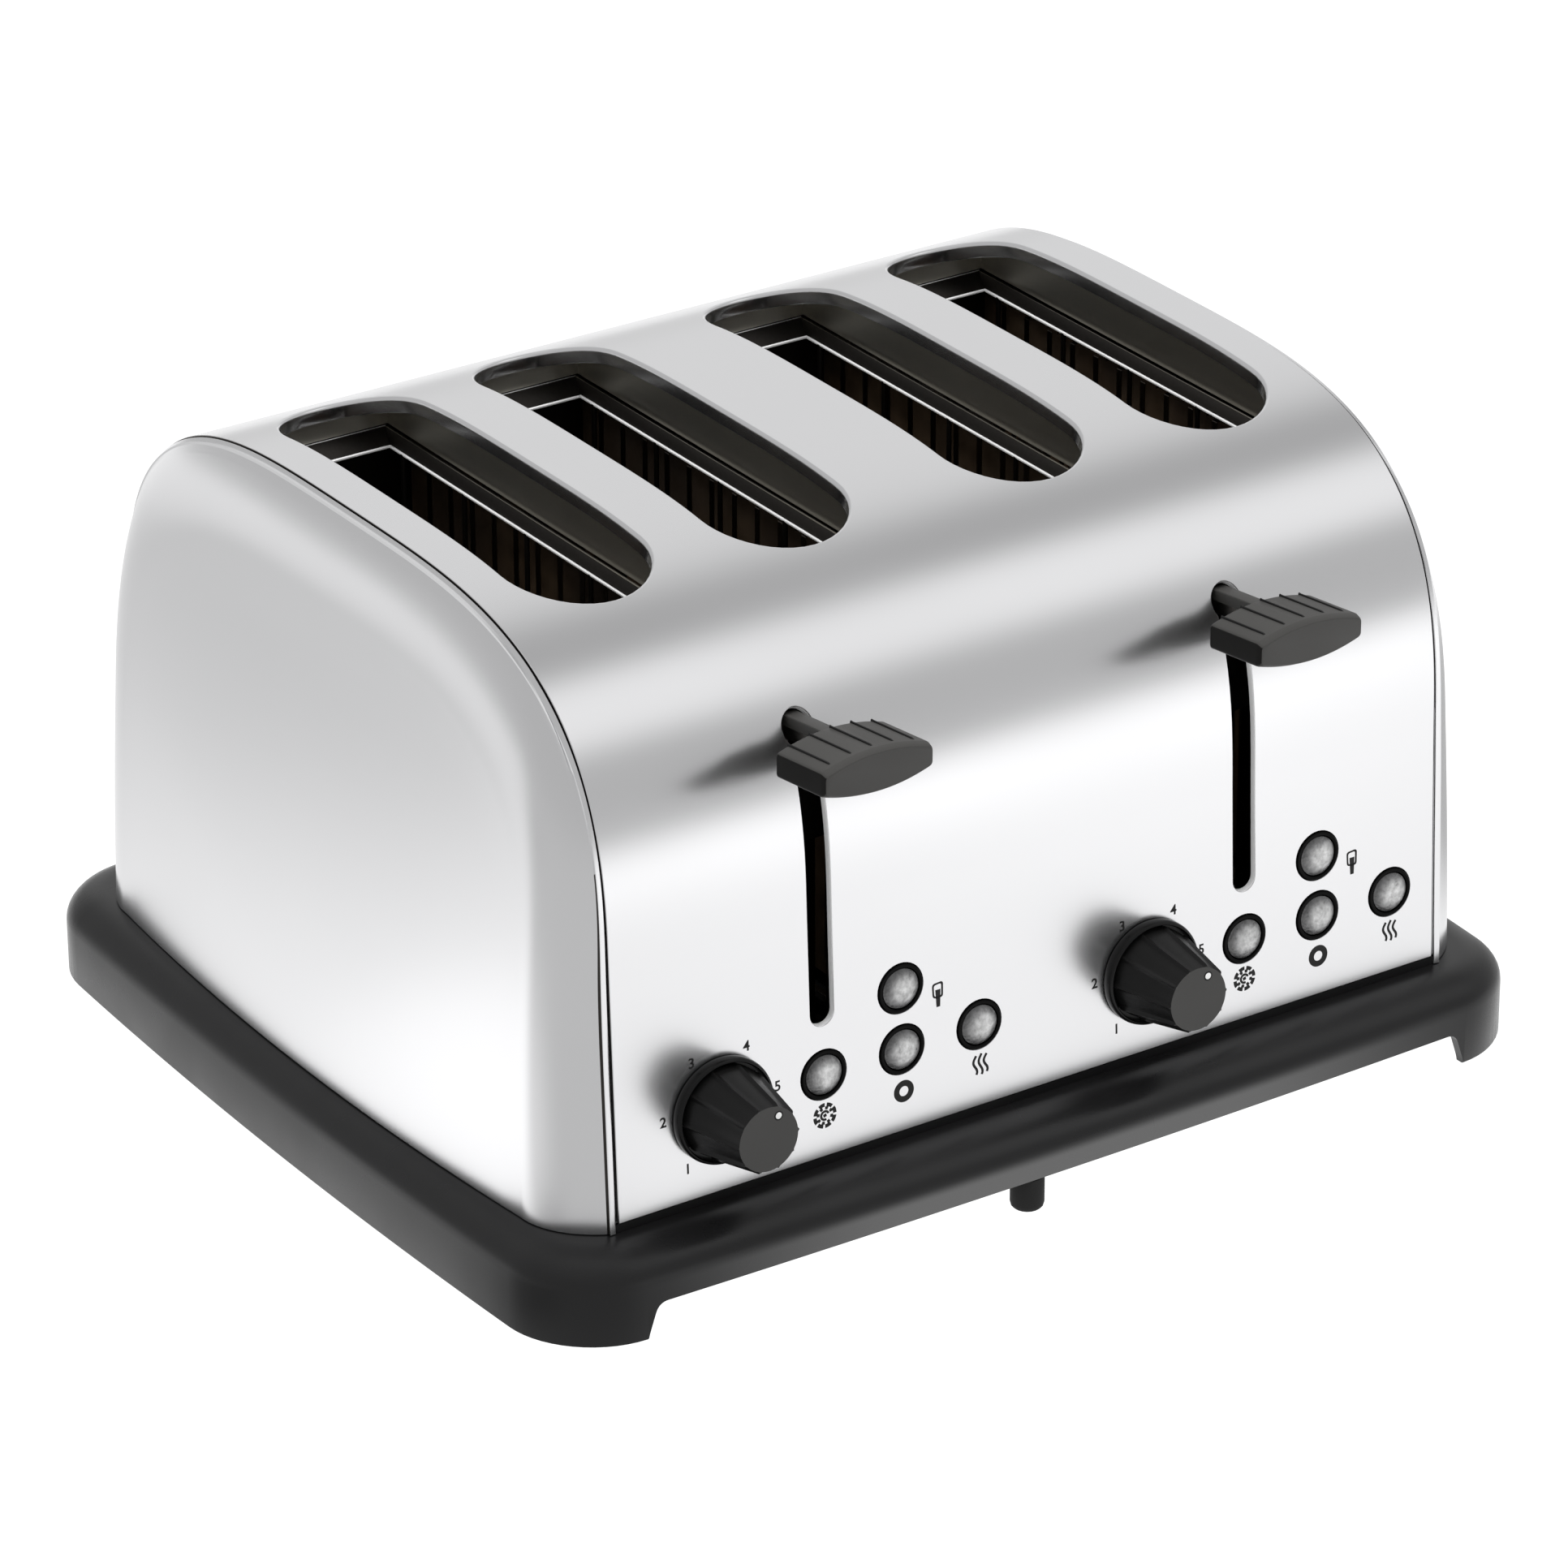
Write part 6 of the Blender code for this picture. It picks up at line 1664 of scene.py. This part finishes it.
def thickened(mesh, low, high):
    """A flat mesh at height zero made a thin solid."""
    finish_mesh(mesh)
    if mesh.faces and sum(face.normal.z for face in mesh.faces) > 0:
        bmesh.ops.reverse_faces(mesh, faces=mesh.faces)
    moved(mesh, 0, 0, low)
    made = bmesh.ops.extrude_face_region(mesh, geom=list(mesh.faces), use_keep_orig=True)
    lifted = [item for item in made["geom"] if isinstance(item, bmesh.types.BMVert)]
    bmesh.ops.translate(mesh, vec=(0, 0, high - low), verts=lifted)
    return finish_mesh(mesh)


def stroke(points, width):
    """A flat ribbon along points, as an outline."""
    left, right = [], []
    for before, (x, y), after in zip(points[:1] + points, points, points[1:] + points[-1:]):
        dx, dy = after[0] - before[0], after[1] - before[1]
        size = math.hypot(dx, dy)
        nx, ny = -dy / size * width / 2, dx / size * width / 2
        left.append((x + nx, y + ny))
        right.append((x - nx, y - ny))
    return left + right[::-1]


NUMBER_RADIUS = 0.0185
NUMBER_SIZE = 0.0043
NUMBER_START = -143
NUMBER_STEP = 57.2
LETTER_GROWTH = 0.00007
INK_LOW = 0.00001
INK_HIGH = 0.00005

# Places of the marks on a panel, across it and up it from the knob's middle line
FROST_PLACE = (0, 0.0407 - CONTROL_HEIGHT)
RING_PLACE = (BUTTON_PITCH + 0.0003, 0.0403 - CONTROL_HEIGHT)
WAVES_PLACE = (2 * BUTTON_PITCH, 0.0409 - CONTROL_HEIGHT)
SQUARE_PLACE = (0.0379, 0.0669 - CONTROL_HEIGHT)


def ink(outline):
    return prism(outline, INK_LOW, INK_HIGH)


def ink_ring(outer, inner, start=0, end=360, steps=40):
    ring = arc((0, 0), outer, start, end, steps)
    hollow = arc((0, 0), inner, start, end, steps)
    if end - start < 360:
        return ink(ring + hollow[::-1])
    rows = [(outer, INK_LOW), (outer, INK_HIGH), (inner, INK_HIGH), (inner, INK_LOW)]
    return turned(rows, steps, closed=True)


def frost_mark():
    """A broken ring with short marks inside it."""
    shapes = []
    for index in range(8):
        start = index * 45
        shapes.append(ink_ring(0.0038, 0.0027, start, start + 33, 6))
        shapes.append(ink_ring(0.0027, 0.0018, start + 18, start + 42, 4))
    shapes.append(ink_ring(0.0016, 0.0009, 20, 290, 16))
    shapes.append(ink([(-0.0004, -0.0006), (0.0006, -0.0003), (0.0004, 0.0006), (-0.0006, 0.0003)]))
    return merged(shapes)


def wave_mark(steps=16):
    """Three wavy strokes."""
    shapes = []
    for x, height in ((-0.0016, 0.0058), (0.0002, 0.0064), (0.0019, 0.0056)):
        points = []
        for step in range(steps + 1):
            up = step / steps
            points.append((x + 0.00062 * math.sin(2 * math.pi * up + 0.6), height * (up - 0.5)))
        shapes.append(ink(stroke(points, 0.00075)))
    return merged(shapes)


def square_mark():
    """A rounded square in outline with a dark stem."""
    outer = rounded([(-0.0016, -0.0016), (-0.0018, 0.0028), (0.0019, 0.0031), (0.0018, -0.0018)], 0.001, 5)
    inner = [(x * 0.68, (y - 0.0005) * 0.78 + 0.0005) for x, y in outer]
    levels = ((outer, INK_LOW), (outer, INK_HIGH), (inner, INK_HIGH), (inner, INK_LOW))
    outline = loft([[(x, y, height) for x, y in line] for line, height in levels], closed=True)
    stem = ink([(-0.0004, -0.0044), (0.0008, -0.0044), (0.001, 0.0008), (-0.0007, 0.0008)])
    return merged([outline, stem])


def marks_mesh():
    """All the printed marks of one control group, on its panel."""
    shapes = []
    for index in range(6):
        angle = math.radians(NUMBER_START + NUMBER_STEP * index)
        number = thickened(text_outline(str(index + 1), NUMBER_SIZE), INK_LOW, INK_HIGH)
        across = KNOB_X + NUMBER_RADIUS * math.sin(angle)
        shapes.append(moved(number, across, NUMBER_RADIUS * math.cos(angle) - 0.0004))
    shapes.append(moved(frost_mark(), *FROST_PLACE))
    shapes.append(moved(ink_ring(0.0033, 0.0015), *RING_PLACE))
    shapes.append(moved(wave_mark(), *WAVES_PLACE))
    shapes.append(moved(square_mark(), *SQUARE_PLACE))
    return merged(shapes)


# Inside


def rectangular_ring(levels):
    """A closed ring through rectangles given as (width, length, height)."""
    return loft([[(x, y, z) for x, y in rectangle(w, l)] for w, l, z in levels], closed=True)


def square_ring(outer, inner, low, high):
    """A rectangular ring with upright walls, between two rectangles given as (width, length)."""
    return rectangular_ring([(*outer, low), (*outer, high), (*inner, high), (*inner, low)])


def cage_mesh(wires):
    """The funnel, the rail and the round guard wires of one bread cage."""
    sheet = 0.001
    levels = [
        (FUNNEL_WIDTH, FUNNEL_LENGTH, FUNNEL_TOP),
        (GUARD_WIDTH + sheet, GUARD_LENGTH + 2 * sheet, FUNNEL_LOW),
        (GUARD_WIDTH - sheet, GUARD_LENGTH, FUNNEL_LOW),
        (FUNNEL_WIDTH - 2 * sheet, FUNNEL_LENGTH - 2 * sheet, FUNNEL_TOP),
    ]
    funnel = bevelled(rectangular_ring(levels), 0.00015)
    # The funnel's slopes take the dark sooty coat, and its ends a near-white painted highlight
    for face in funnel.faces:
        slope = 0.1 < face.normal.z < 0.97
        at_end = abs(face.calc_center_median().y) > FUNNEL_LENGTH / 2 - 0.0015
        face.material_index = 1 if slope else 2 if at_end else 0
    lip = 0.0007
    outer = (GUARD_WIDTH - sheet + lip, GUARD_LENGTH + lip)
    inner = (GUARD_WIDTH - sheet - lip, GUARD_LENGTH - lip)
    edge = bevelled(square_ring(outer, inner, FUNNEL_LOW, FUNNEL_LOW + lip * 1.2), 0.0002)
    # The rolled edge at the funnel's foot is painted near-white, as a painted highlight
    for face in edge.faces:
        face.material_index = 2
    rail = 0.002
    outer = (GUARD_WIDTH + rail / 2, GUARD_LENGTH + rail)
    inner = (GUARD_WIDTH - rail * 3 / 2, GUARD_LENGTH - rail)
    shapes = [funnel, edge, bevelled(square_ring(outer, inner, RAIL_LOW, RAIL_HIGH), 0.0002)]
    wire = (GUARD_WIRE_RADIUS, (RAIL_LOW + RAIL_HIGH) / 2, FUNNEL_LOW + 0.0004, 10)
    side_x = GUARD_WIDTH / 2 - GUARD_WIRE_RADIUS / 2
    start = (-side_x, -GUARD_WIRE_SPAN / 2, 0)
    step = (0, GUARD_WIRE_SPAN / (wires - 1), 0)
    shapes.append(array(cylinder(*wire), "plated_wire", wires, step, 2, (2 * side_x, 0, 0), start))
    start = (-GUARD_WIDTH / 2 + WIRE_END_OFFSET + GUARD_WIRE_RADIUS, -GUARD_LENGTH / 2, 0)
    shapes.append(array(cylinder(*wire), "plated_wire", 2, (0, GUARD_LENGTH, 0), start=start))
    return merged(shapes)


def winding_mesh(turns, ribbon):
    """The flat ribbon wound round a heater board, turn by turn."""
    half = HEATER_THICKNESS / 2
    thick, free = 0.00025, 0.00003
    low = HEATER_LOW + 0.004
    high = HEATER_HIGH - 0.0032
    outer = rounded(oblong((-half - thick, low - thick), (half + thick, high + thick)), 0.0004, 3)
    inner = rounded(oblong((-half - free, low), (half + free, high)), 0.0002, 3)
    levels = ((-ribbon / 2, outer), (ribbon / 2, outer), (ribbon / 2, inner), (-ribbon / 2, inner))
    loop = loft([[(x, y, z) for x, z in line] for y, line in levels], closed=True)
    span = 2 * (CHASSIS_INSIDE - 0.0105)
    return array(loop, "element_ribbon", turns, (0, span / (turns - 1), 0), start=(0, -span / 2, 0))


def spring_mesh(turns):
    """The return spring as a coil of round wire."""
    wire = 0.00042
    sizes = {"radius": 0.00345, "height": SPRING_HIGH - SPRING_LOW - 2 * wire, "wire_radius": wire}
    values = {"steps_per_turn": 18, "turns": float(turns), "material": finish("bright_steel"), **sizes}
    return moved(grown(bmesh.new(), spring_tree(), **values), 0, 0, SPRING_LOW + wire)


def screws_mesh():
    """Pan-head screws with a cross recess, head down, one under each boss."""
    profile = [(0, 0.0001), (0.0031, 0.0001), (0.0031, -0.0004)]
    profile += [(0.0027, -0.0011), (0.0016, -0.0015), (0, -0.0016)]
    arms = (
        box((-0.0017, -0.0003, -0.003), (0.0017, 0.0003, -0.0008)),
        box((-0.0003, -0.0017, -0.003), (0.0003, 0.0017, -0.0008)),
    )
    screw = cut(turned(profile, 24), join(*arms))
    across = (BOSS_PLACES[2][0] - BOSS_PLACES[0][0], 0, 0)
    back = (0, BOSS_PLACES[1][1] - BOSS_PLACES[0][1], 0)
    return array(screw, "bright_steel", 3, across, 2, back, (*BOSS_PLACES[0], SCREW_HEIGHT))


def gland_mesh():
    """The ringed bushing in the rear wall, with softened rims."""
    neck = BASE_WALL + 2 * GAP
    soft = 0.0003
    profile = [
        (0.0036, -neck - 0.002),
        (0.0065 - soft, -neck - 0.002),
        (0.0065, -neck - 0.002 + soft),
        (0.0065, -neck),
        (0.0049, -neck),
        (0.0049, GAP),
        (0.0065, GAP),
        (0.0065, 0.002 - soft),
        (0.0065 - soft, 0.002),
        (0.0056, 0.002),
        (0.0052, 0.0028),
        (0.0055, 0.0034),
        (0.0055, 0.0047),
        (0.0052, 0.005),
        (0.0039, 0.005),
        (0.0036, 0.0047),
    ]
    mesh = moved(turned(profile, 48, closed=True), matrix=Matrix.Rotation(-math.pi / 2, 4, "X"))
    return moved(mesh, 0, BASE_DEPTH / 2 + BASE_FRONT_BOW, CORD_HEIGHT)


# What a user can change


def colour_value(name, description, *default):
    values = {"default": default, "min": 0, "max": 1, "subtype": "COLOR"}
    return FloatVectorProperty(name=name, description=description, **values)


def share_value(name, description, default):
    values = {"default": default, "min": 0, "max": 1, "subtype": "FACTOR"}
    return FloatProperty(name=name, description=description, **values)


def length_value(name, description, default, low, high):
    limits = {"min": low, "max": high, "subtype": "DISTANCE", "unit": "LENGTH"}
    return FloatProperty(name=name, description=description, default=default, **limits)


def angle_value(name, description, degrees):
    kind = {"subtype": "ANGLE", "unit": "ROTATION"}
    return FloatProperty(name=name, description=description, default=math.radians(degrees), **kind)


def count_value(name, description, default, low, high):
    return IntProperty(name=name, description=description, default=default, min=low, max=high)


def plain_value(name, description, default, low, high, unit="NONE"):
    limits = {"min": low, "max": high, "unit": unit}
    return FloatProperty(name=name, description=description, default=default, **limits)


class ToasterFinish(bpy.types.PropertyGroup):
    """Colours and surface values of the toaster's finishes."""

    steel_colour: colour_value("Steel colour", "Colour of the arched sheet and the ends", 0.76, 0.76, 0.77)
    steel_roughness: share_value("Steel roughness", "How softly the steel body reflects", 0.25)
    steel_grain: share_value("Steel grain", "Strength of the steel's fine lines", 0.012)
    base_colour: colour_value("Base colour", "Colour of the plinth", 0.009, 0.009, 0.0095)
    base_roughness: share_value("Base roughness", "How matt the plinth is", 0.31)
    handle_colour: colour_value("Handle colour", "Colour of the lever handles", 0.036, 0.035, 0.033)
    black_colour: colour_value("Knob colour", "Colour of the knobs", 0.006, 0.006, 0.006)
    knob_face_colour: colour_value("Knob face colour", "Colour of the flat faces", 0.036, 0.035, 0.033)
    ink_colour: colour_value("Ink colour", "Colour of the printed marks", 0.012, 0.012, 0.012)


class ToasterSizes(bpy.types.PropertyGroup):
    """Counts and small sizes of what repeats."""

    handle_ribs: count_value("Handle ribs", "Ribs on each lever handle", 5, 1, 9)
    rib_spacing: length_value("Rib spacing", "Distance between the ribs", 0.00665, 0.002, 0.01)
    rib_width: length_value("Rib width", "Width of a rib at its foot", 0.0007, 0.0002, 0.002)
    rib_rise: length_value("Rib rise", "How far a rib stands above the handle", 0.0005, 0.0001, 0.001)
    knob_flutes: count_value("Knob ridges", "Ridges round each knob", 10, 4, 24)
    flute_depth: length_value("Hollow depth", "Depth of the hollows between ridges", 0.0011, 0.0002, 0.002)
    guard_wires: count_value("Guard wires", "Guard wires on each long side of a slot", 5, 2, 12)
    heater_turns: count_value("Heater turns", "Turns of ribbon on each heater board", 13, 3, 40)
    ribbon_width: length_value("Ribbon width", "Width of the heater ribbon", 0.0022, 0.0005, 0.005)
    spring_turns: plain_value("Spring turns", "Turns of each return spring", 26, 4, 60)


class ToasterStage(bpy.types.PropertyGroup):
    """The camera's place, the floor and the light."""

    azimuth: angle_value("Azimuth", "The camera's turn about the toaster", -33.7075)
    elevation: angle_value("Elevation", "The camera's height as an angle", 26.1875)
    roll: angle_value("Roll", "The camera's turn about its own line of sight", -0.221)
    distance: length_value("Distance", "From the camera to its target", 2.131, 0.5, 10)
    target_height: length_value("Target height", "Height that the camera looks at", 0.0702, 0, 1)
    focal_length: plain_value("Focal length", "In millimetres, on a sensor 36 mm wide", 169.937, 20, 500)
    floor_size: length_value("Floor size", "Width of the floor", 14, 1, 50)
    floor_level: plain_value("Floor level", "Brightness of the table as the toaster sees it", 1.14, 0, 5)
    sky_level: plain_value("Studio level", "Brightness of the studio between its soft boxes", 0.7, 0, 5)
    seen_white: plain_value("Seen white", "Brightness of floor and studio in the picture", 1.15, 0, 5)
    overhead_power: plain_value("Overhead power", "Power of the light overhead", 26, 0, 500, "POWER")


# Stage


def look_direction(azimuth, elevation):
    """From the toaster toward a place given by its turn about it and its height, both as angles."""
    level = math.cos(elevation)
    return Vector((math.sin(azimuth) * level, -math.cos(azimuth) * level, math.sin(elevation)))


def make_floor(values):
    mesh = bmesh.new()
    places = np.linspace(-values.floor_size / 2, values.floor_size / 2, FLOOR_STEPS + 1)
    rows = [[mesh.verts.new((x, y, -FLOOR_DROP)) for x in places] for y in places]
    for low, high in zip(rows, rows[1:]):
        bridge(mesh, low, high, closed=False)
    data = packed(mesh, "studio_floor")
    data.materials.append(floor_material(values.seen_white, values.floor_level))
    shown("studio_floor", data)


def make_world(values):
    """Studio light as a level with soft boxes in it, plain white where the camera looks past the floor."""
    world = bpy.data.worlds.new("studio")
    bpy.context.scene.world = world
    world.use_nodes = True
    tree = world.node_tree
    tree.nodes.clear()
    rows = []
    for azimuth, elevation, inner, outer, amount in SOFT_BOXES:
        centre = look_direction(math.radians(azimuth), math.radians(elevation))
        reaches = (2 * math.sin(math.radians(angle) / 2) for angle in (inner, outer))
        rows.append((centre, *reaches, amount))
    point = make(tree, "ShaderNodeTexCoord", output="Generated")
    level = patches(tree, point, values.sky_level, rows)
    surface = two_ways(tree, "ShaderNodeBackground", values.seen_white, level)
    make(tree, "ShaderNodeOutputWorld", {"Surface": surface})


def make_lights(power):
    """A large soft light overhead, which the steel doesn't mirror."""
    light = bpy.data.lights.new("overhead", "AREA")
    light.shape = "RECTANGLE"
    light.size = light.size_y = OVERHEAD_SIZE
    light.energy = power
    made = shown("overhead", light)
    made.location = OVERHEAD_PLACE
    made.visible_glossy = False
    made.visible_camera = False


def make_camera(values):
    camera = bpy.data.cameras.new("photo_camera")
    camera.lens = values.focal_length
    camera.sensor_width = 36
    camera.dof.use_dof = False
    made = shown("photo_camera", camera)
    back = look_direction(values.azimuth, values.elevation)
    right = (-back).cross(Vector((0, 0, 1))).normalized()
    rolled = Matrix.Rotation(values.roll, 3, back)
    axes = Matrix((rolled @ right, rolled @ right.cross(-back), back)).transposed().to_4x4()
    target = Vector((CAMERA_TARGET_X, ROOT_Y + CAMERA_TARGET_Y, values.target_height))
    made.matrix_world = Matrix.Translation(target + back * values.distance) @ axes
    bpy.context.scene.camera = made


# Operators


class BuildStep(bpy.types.Operator):
    """One step of the build."""

    bl_options = {"REGISTER", "UNDO"}


class TOASTER_OT_stage(BuildStep):
    """Makes the floor, the studio light and the camera"""

    bl_idname = "toaster.stage"
    bl_label = "Stage"

    def execute(self, context):
        values = context.scene.toaster_stage
        make_floor(values)
        make_world(values)
        make_lights(values.overhead_power)
        make_camera(values)
        context.scene.view_settings.view_transform = "Standard"
        return {"FINISHED"}


class TOASTER_OT_steel_body(BuildStep):
    """Makes the arched sheet with its slots and openings"""

    bl_idname = "toaster.steel_body"
    bl_label = "Arched sheet"

    def execute(self, context):
        coats = ("satin_steel_sheet", "cut_edge", "sooty_steel")
        smooth_sheet(piece("wrap_sheet", wrap_mesh(), coats, "housing", "satin_steel", "wrap_shell"))
        return {"FINISHED"}


class TOASTER_OT_end_caps(BuildStep):
    """Makes the two domed ends"""

    bl_idname = "toaster.end_caps"
    bl_label = "Domed ends"

    def execute(self, context):
        coats = ("satin_steel_ends", "sooty_steel")
        for name, side in SIDES:
            node = f"{name}_end_cap"
            piece(f"domed_end_{name}", cap_mesh(side), coats, "housing", "satin_steel", node)
        return {"FINISHED"}


class TOASTER_OT_base(BuildStep):
    """Makes the plinth"""

    bl_idname = "toaster.base"
    bl_label = "Base"

    def execute(self, context):
        piece("plinth", base_mesh(), "base_plastic", "housing", "base_plastic", "base_plinth")
        return {"FINISHED"}


class TOASTER_OT_levers(BuildStep):
    """Makes the lever handles with their ribs"""

    bl_idname = "toaster.levers"
    bl_label = "Levers"

    def execute(self, context):
        sizes = context.scene.toaster_sizes
        coats = ("handle_plastic", "handle_face", "handle_end")
        for name, side in SIDES:
            body = f"lever_{name}"
            mesh = moved(handle_mesh(), side * UNIT_X)
            node = f"lever_handle_{name}"
            piece(f"handle_{name}", mesh, coats, body, "handle_plastic", node, sharp=HANDLE_SHARP_ANGLE)
            ribs = handle_ribs(sizes.handle_ribs, sizes.rib_spacing, sizes.rib_width, sizes.rib_rise)
            ribs = moved(ribs, side * UNIT_X)
            piece(f"handle_ribs_{name}", ribs, "rib_plastic", body, "handle_plastic")
        return {"FINISHED"}


class TOASTER_OT_knobs(BuildStep):
    """Makes the knobs, their dots and the collars that they sit in"""

    bl_idname = "toaster.knobs"
    bl_label = "Knobs"

    def execute(self, context):
        sizes = context.scene.toaster_sizes
        for name, side in SIDES:
            place = panel_matrix(side) @ Matrix.Translation((KNOB_X, 0, 0))
            body = f"dial_{name}"
            mesh = moved(knob_mesh(sizes.knob_flutes, sizes.flute_depth), matrix=place)
            coats = ("knob_plastic", "knob_face")
            node = f"knob_{name}"
            piece(f"fluted_knob_{name}", mesh, coats, body, "black_plastic", node, sharp=KNOB_SHARP_ANGLE)
            dot = moved(knob_pointer(), matrix=place)
            piece(f"knob_dot_{name}", dot, ("white_paint", "collar_plastic"), body, "black_plastic")
            ring = moved(collar_mesh(), matrix=place)
            node = f"knob_collar_{name}"
            piece(f"collar_{name}", ring, "collar_plastic", "housing", "black_plastic", node)
        return {"FINISHED"}


class TOASTER_OT_buttons(BuildStep):
    """Makes the domed buttons and the ringed mouldings behind them"""

    bl_idname = "toaster.buttons"
    bl_label = "Buttons"

    def execute(self, context):
        for name, side in SIDES:
            place = panel_matrix(side)
            rings = moved(bezel_mesh(), matrix=place)
            node = f"button_bezel_{name}"
            piece(f"button_rings_{name}", rings, "black_plastic", "housing", "black_plastic", node)
            for label, x, up in BUTTONS:
                mesh = moved(button_mesh(), matrix=place @ Matrix.Translation((x, up, 0)))
                body, node = f"{label}_{name}", f"button_{label}_{name}"
                piece(f"{label}_cap_{name}", mesh, "smoky_button_lens", body, "lens_plastic", node)
        return {"FINISHED"}


class TOASTER_OT_marks(BuildStep):
    """Makes the printed numbers and symbols"""

    bl_idname = "toaster.marks"
    bl_label = "Printed marks"

    def execute(self, context):
        for name, side in SIDES:
            mesh = moved(marks_mesh(), matrix=panel_matrix(side))
            piece(f"printed_marks_{name}", mesh, "print_ink", "housing", "black_plastic")
        return {"FINISHED"}


class TOASTER_OT_cages(BuildStep):
    """Makes the cages under the slots and finishes the walls and racks round them"""

    bl_idname = "toaster.cages"
    bl_label = "Cages"

    def execute(self, context):
        coats = ("plated_wire", "sooty_steel", "cut_edge")
        for number, x in enumerate(slot_places(), 1):
            mesh = moved(cage_mesh(context.scene.toaster_sizes.guard_wires), x)
            node = f"bread_cage_{number}"
            piece(f"wire_cage_{number}", mesh, coats, "housing", "bright_steel", node)
            dress(f"bread_rack_{number}", "plated_wire")
        for name, _ in SIDES:
            dress(f"slot_frame_{name}", "slot_wall_steel")
            dress(f"chassis_front_{name}", "sooty_steel")
            dress(f"chassis_rear_{name}", "sooty_steel")
        return {"FINISHED"}


class TOASTER_OT_heaters(BuildStep):
    """Makes the ribbon windings and finishes the heater boards"""

    bl_idname = "toaster.heaters"
    bl_label = "Heaters"

    def execute(self, context):
        sizes = context.scene.toaster_sizes
        offsets = (-HEATER_OFFSET, 0, HEATER_OFFSET)
        places = [side * UNIT_X + offset for _, side in SIDES for offset in offsets]
        for number, x in enumerate(places, 1):
            mesh = moved(winding_mesh(sizes.heater_turns, sizes.ribbon_width), x)
            piece(f"heater_winding_{number}", mesh, "element_ribbon", "housing", "bright_steel")
            dress(f"heater_board_{number}", "scorched_mica")
        return {"FINISHED"}


class TOASTER_OT_lifting_gear(BuildStep):
    """Makes the coiled return springs and finishes the rest of the lifting gear"""

    bl_idname = "toaster.lifting_gear"
    bl_label = "Lifting gear"

    def execute(self, context):
        turns = context.scene.toaster_sizes.spring_turns
        for name, side in SIDES:
            mesh = moved(spring_mesh(turns), side * UNIT_X, ROD_Y)
            node = f"return_spring_{name}"
            spring = piece(f"coiled_spring_{name}", mesh, "bright_steel", "housing", "bright_steel", node)
            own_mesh(spring)
            dress(f"carriage_{name}", "dark_steel")
            dress(f"guide_rod_{name}", "bright_steel")
            dress(f"electromagnet_{name}", "copper_winding")
        return {"FINISHED"}


class TOASTER_OT_electronics(BuildStep):
    """Finishes the control boards and the parts that the knobs turn"""

    bl_idname = "toaster.electronics"
    bl_label = "Electronics"

    def execute(self, context):
        for name, _ in SIDES:
            dress(f"control_board_{name}", "circuit_board")
            dress(f"potentiometer_{name}", "zinc_plate")
            dress(f"potentiometer_shaft_{name}", "bright_steel")
        return {"FINISHED"}


class TOASTER_OT_underside(BuildStep):
    """Makes the bottom plate, its screws, the crumb trays, the foot and the cord gland"""

    bl_idname = "toaster.underside"
    bl_label = "Underside"

    def execute(self, context):
        plate = bevelled(copy_of_node("bottom_plate"), 0.0003)
        piece("floor_plate", plate, "zinc_plate", "housing", "dark_steel", "bottom_plate")
        piece("plate_screws", screws_mesh(), "bright_steel", "housing", "bright_steel")
        for name, _ in SIDES:
            node = f"crumb_tray_{name}"
            tray = bevelled(copy_of_node(node), 0.00025)
            piece(f"pull_out_tray_{name}", tray, "dark_steel", f"tray_{name}", "dark_steel", node)
        foot = bevelled(copy_of_node("centre_foot"), 0.0002)
        piece("peg_foot", foot, "rubber", "housing", "rubber", "centre_foot")
        piece("cord_bushing", gland_mesh(), "rubber", "housing", "rubber", "cord_gland")
        return {"FINISHED"}


STEPS = (
    TOASTER_OT_stage,
    TOASTER_OT_steel_body,
    TOASTER_OT_end_caps,
    TOASTER_OT_base,
    TOASTER_OT_levers,
    TOASTER_OT_knobs,
    TOASTER_OT_buttons,
    TOASTER_OT_marks,
    TOASTER_OT_cages,
    TOASTER_OT_heaters,
    TOASTER_OT_lifting_gear,
    TOASTER_OT_electronics,
    TOASTER_OT_underside,
)
GROUPS = (
    ("toaster_finish", ToasterFinish),
    ("toaster_sizes", ToasterSizes),
    ("toaster_stage", ToasterStage),
)


class TOASTER_PT_panel(bpy.types.Panel):
    """Lists the build's steps and the values that they read"""

    bl_idname = "TOASTER_PT_panel"
    bl_label = "Toaster"
    bl_space_type = "VIEW_3D"
    bl_region_type = "UI"
    bl_category = "Toaster"

    def draw(self, context):
        for name, group_class in GROUPS:
            column = self.layout.column(align=True)
            for value in group_class.__annotations__:
                column.prop(getattr(context.scene, name), value)
        for step in STEPS:
            self.layout.operator(step.bl_idname)


def register():
    for name, group_class in GROUPS:
        bpy.utils.register_class(group_class)
        setattr(bpy.types.Scene, name, PointerProperty(type=group_class))
    for step in (*STEPS, TOASTER_PT_panel):
        bpy.utils.register_class(step)


def unregister():
    for step in (TOASTER_PT_panel, *reversed(STEPS)):
        bpy.utils.unregister_class(step)
    for name, group_class in reversed(GROUPS):
        delattr(bpy.types.Scene, name)
        bpy.utils.unregister_class(group_class)


def main():
    register()
    for step in STEPS:
        area, name = step.bl_idname.split(".")
        getattr(getattr(bpy.ops, area), name)()


if __name__ == "__main__":
    main()
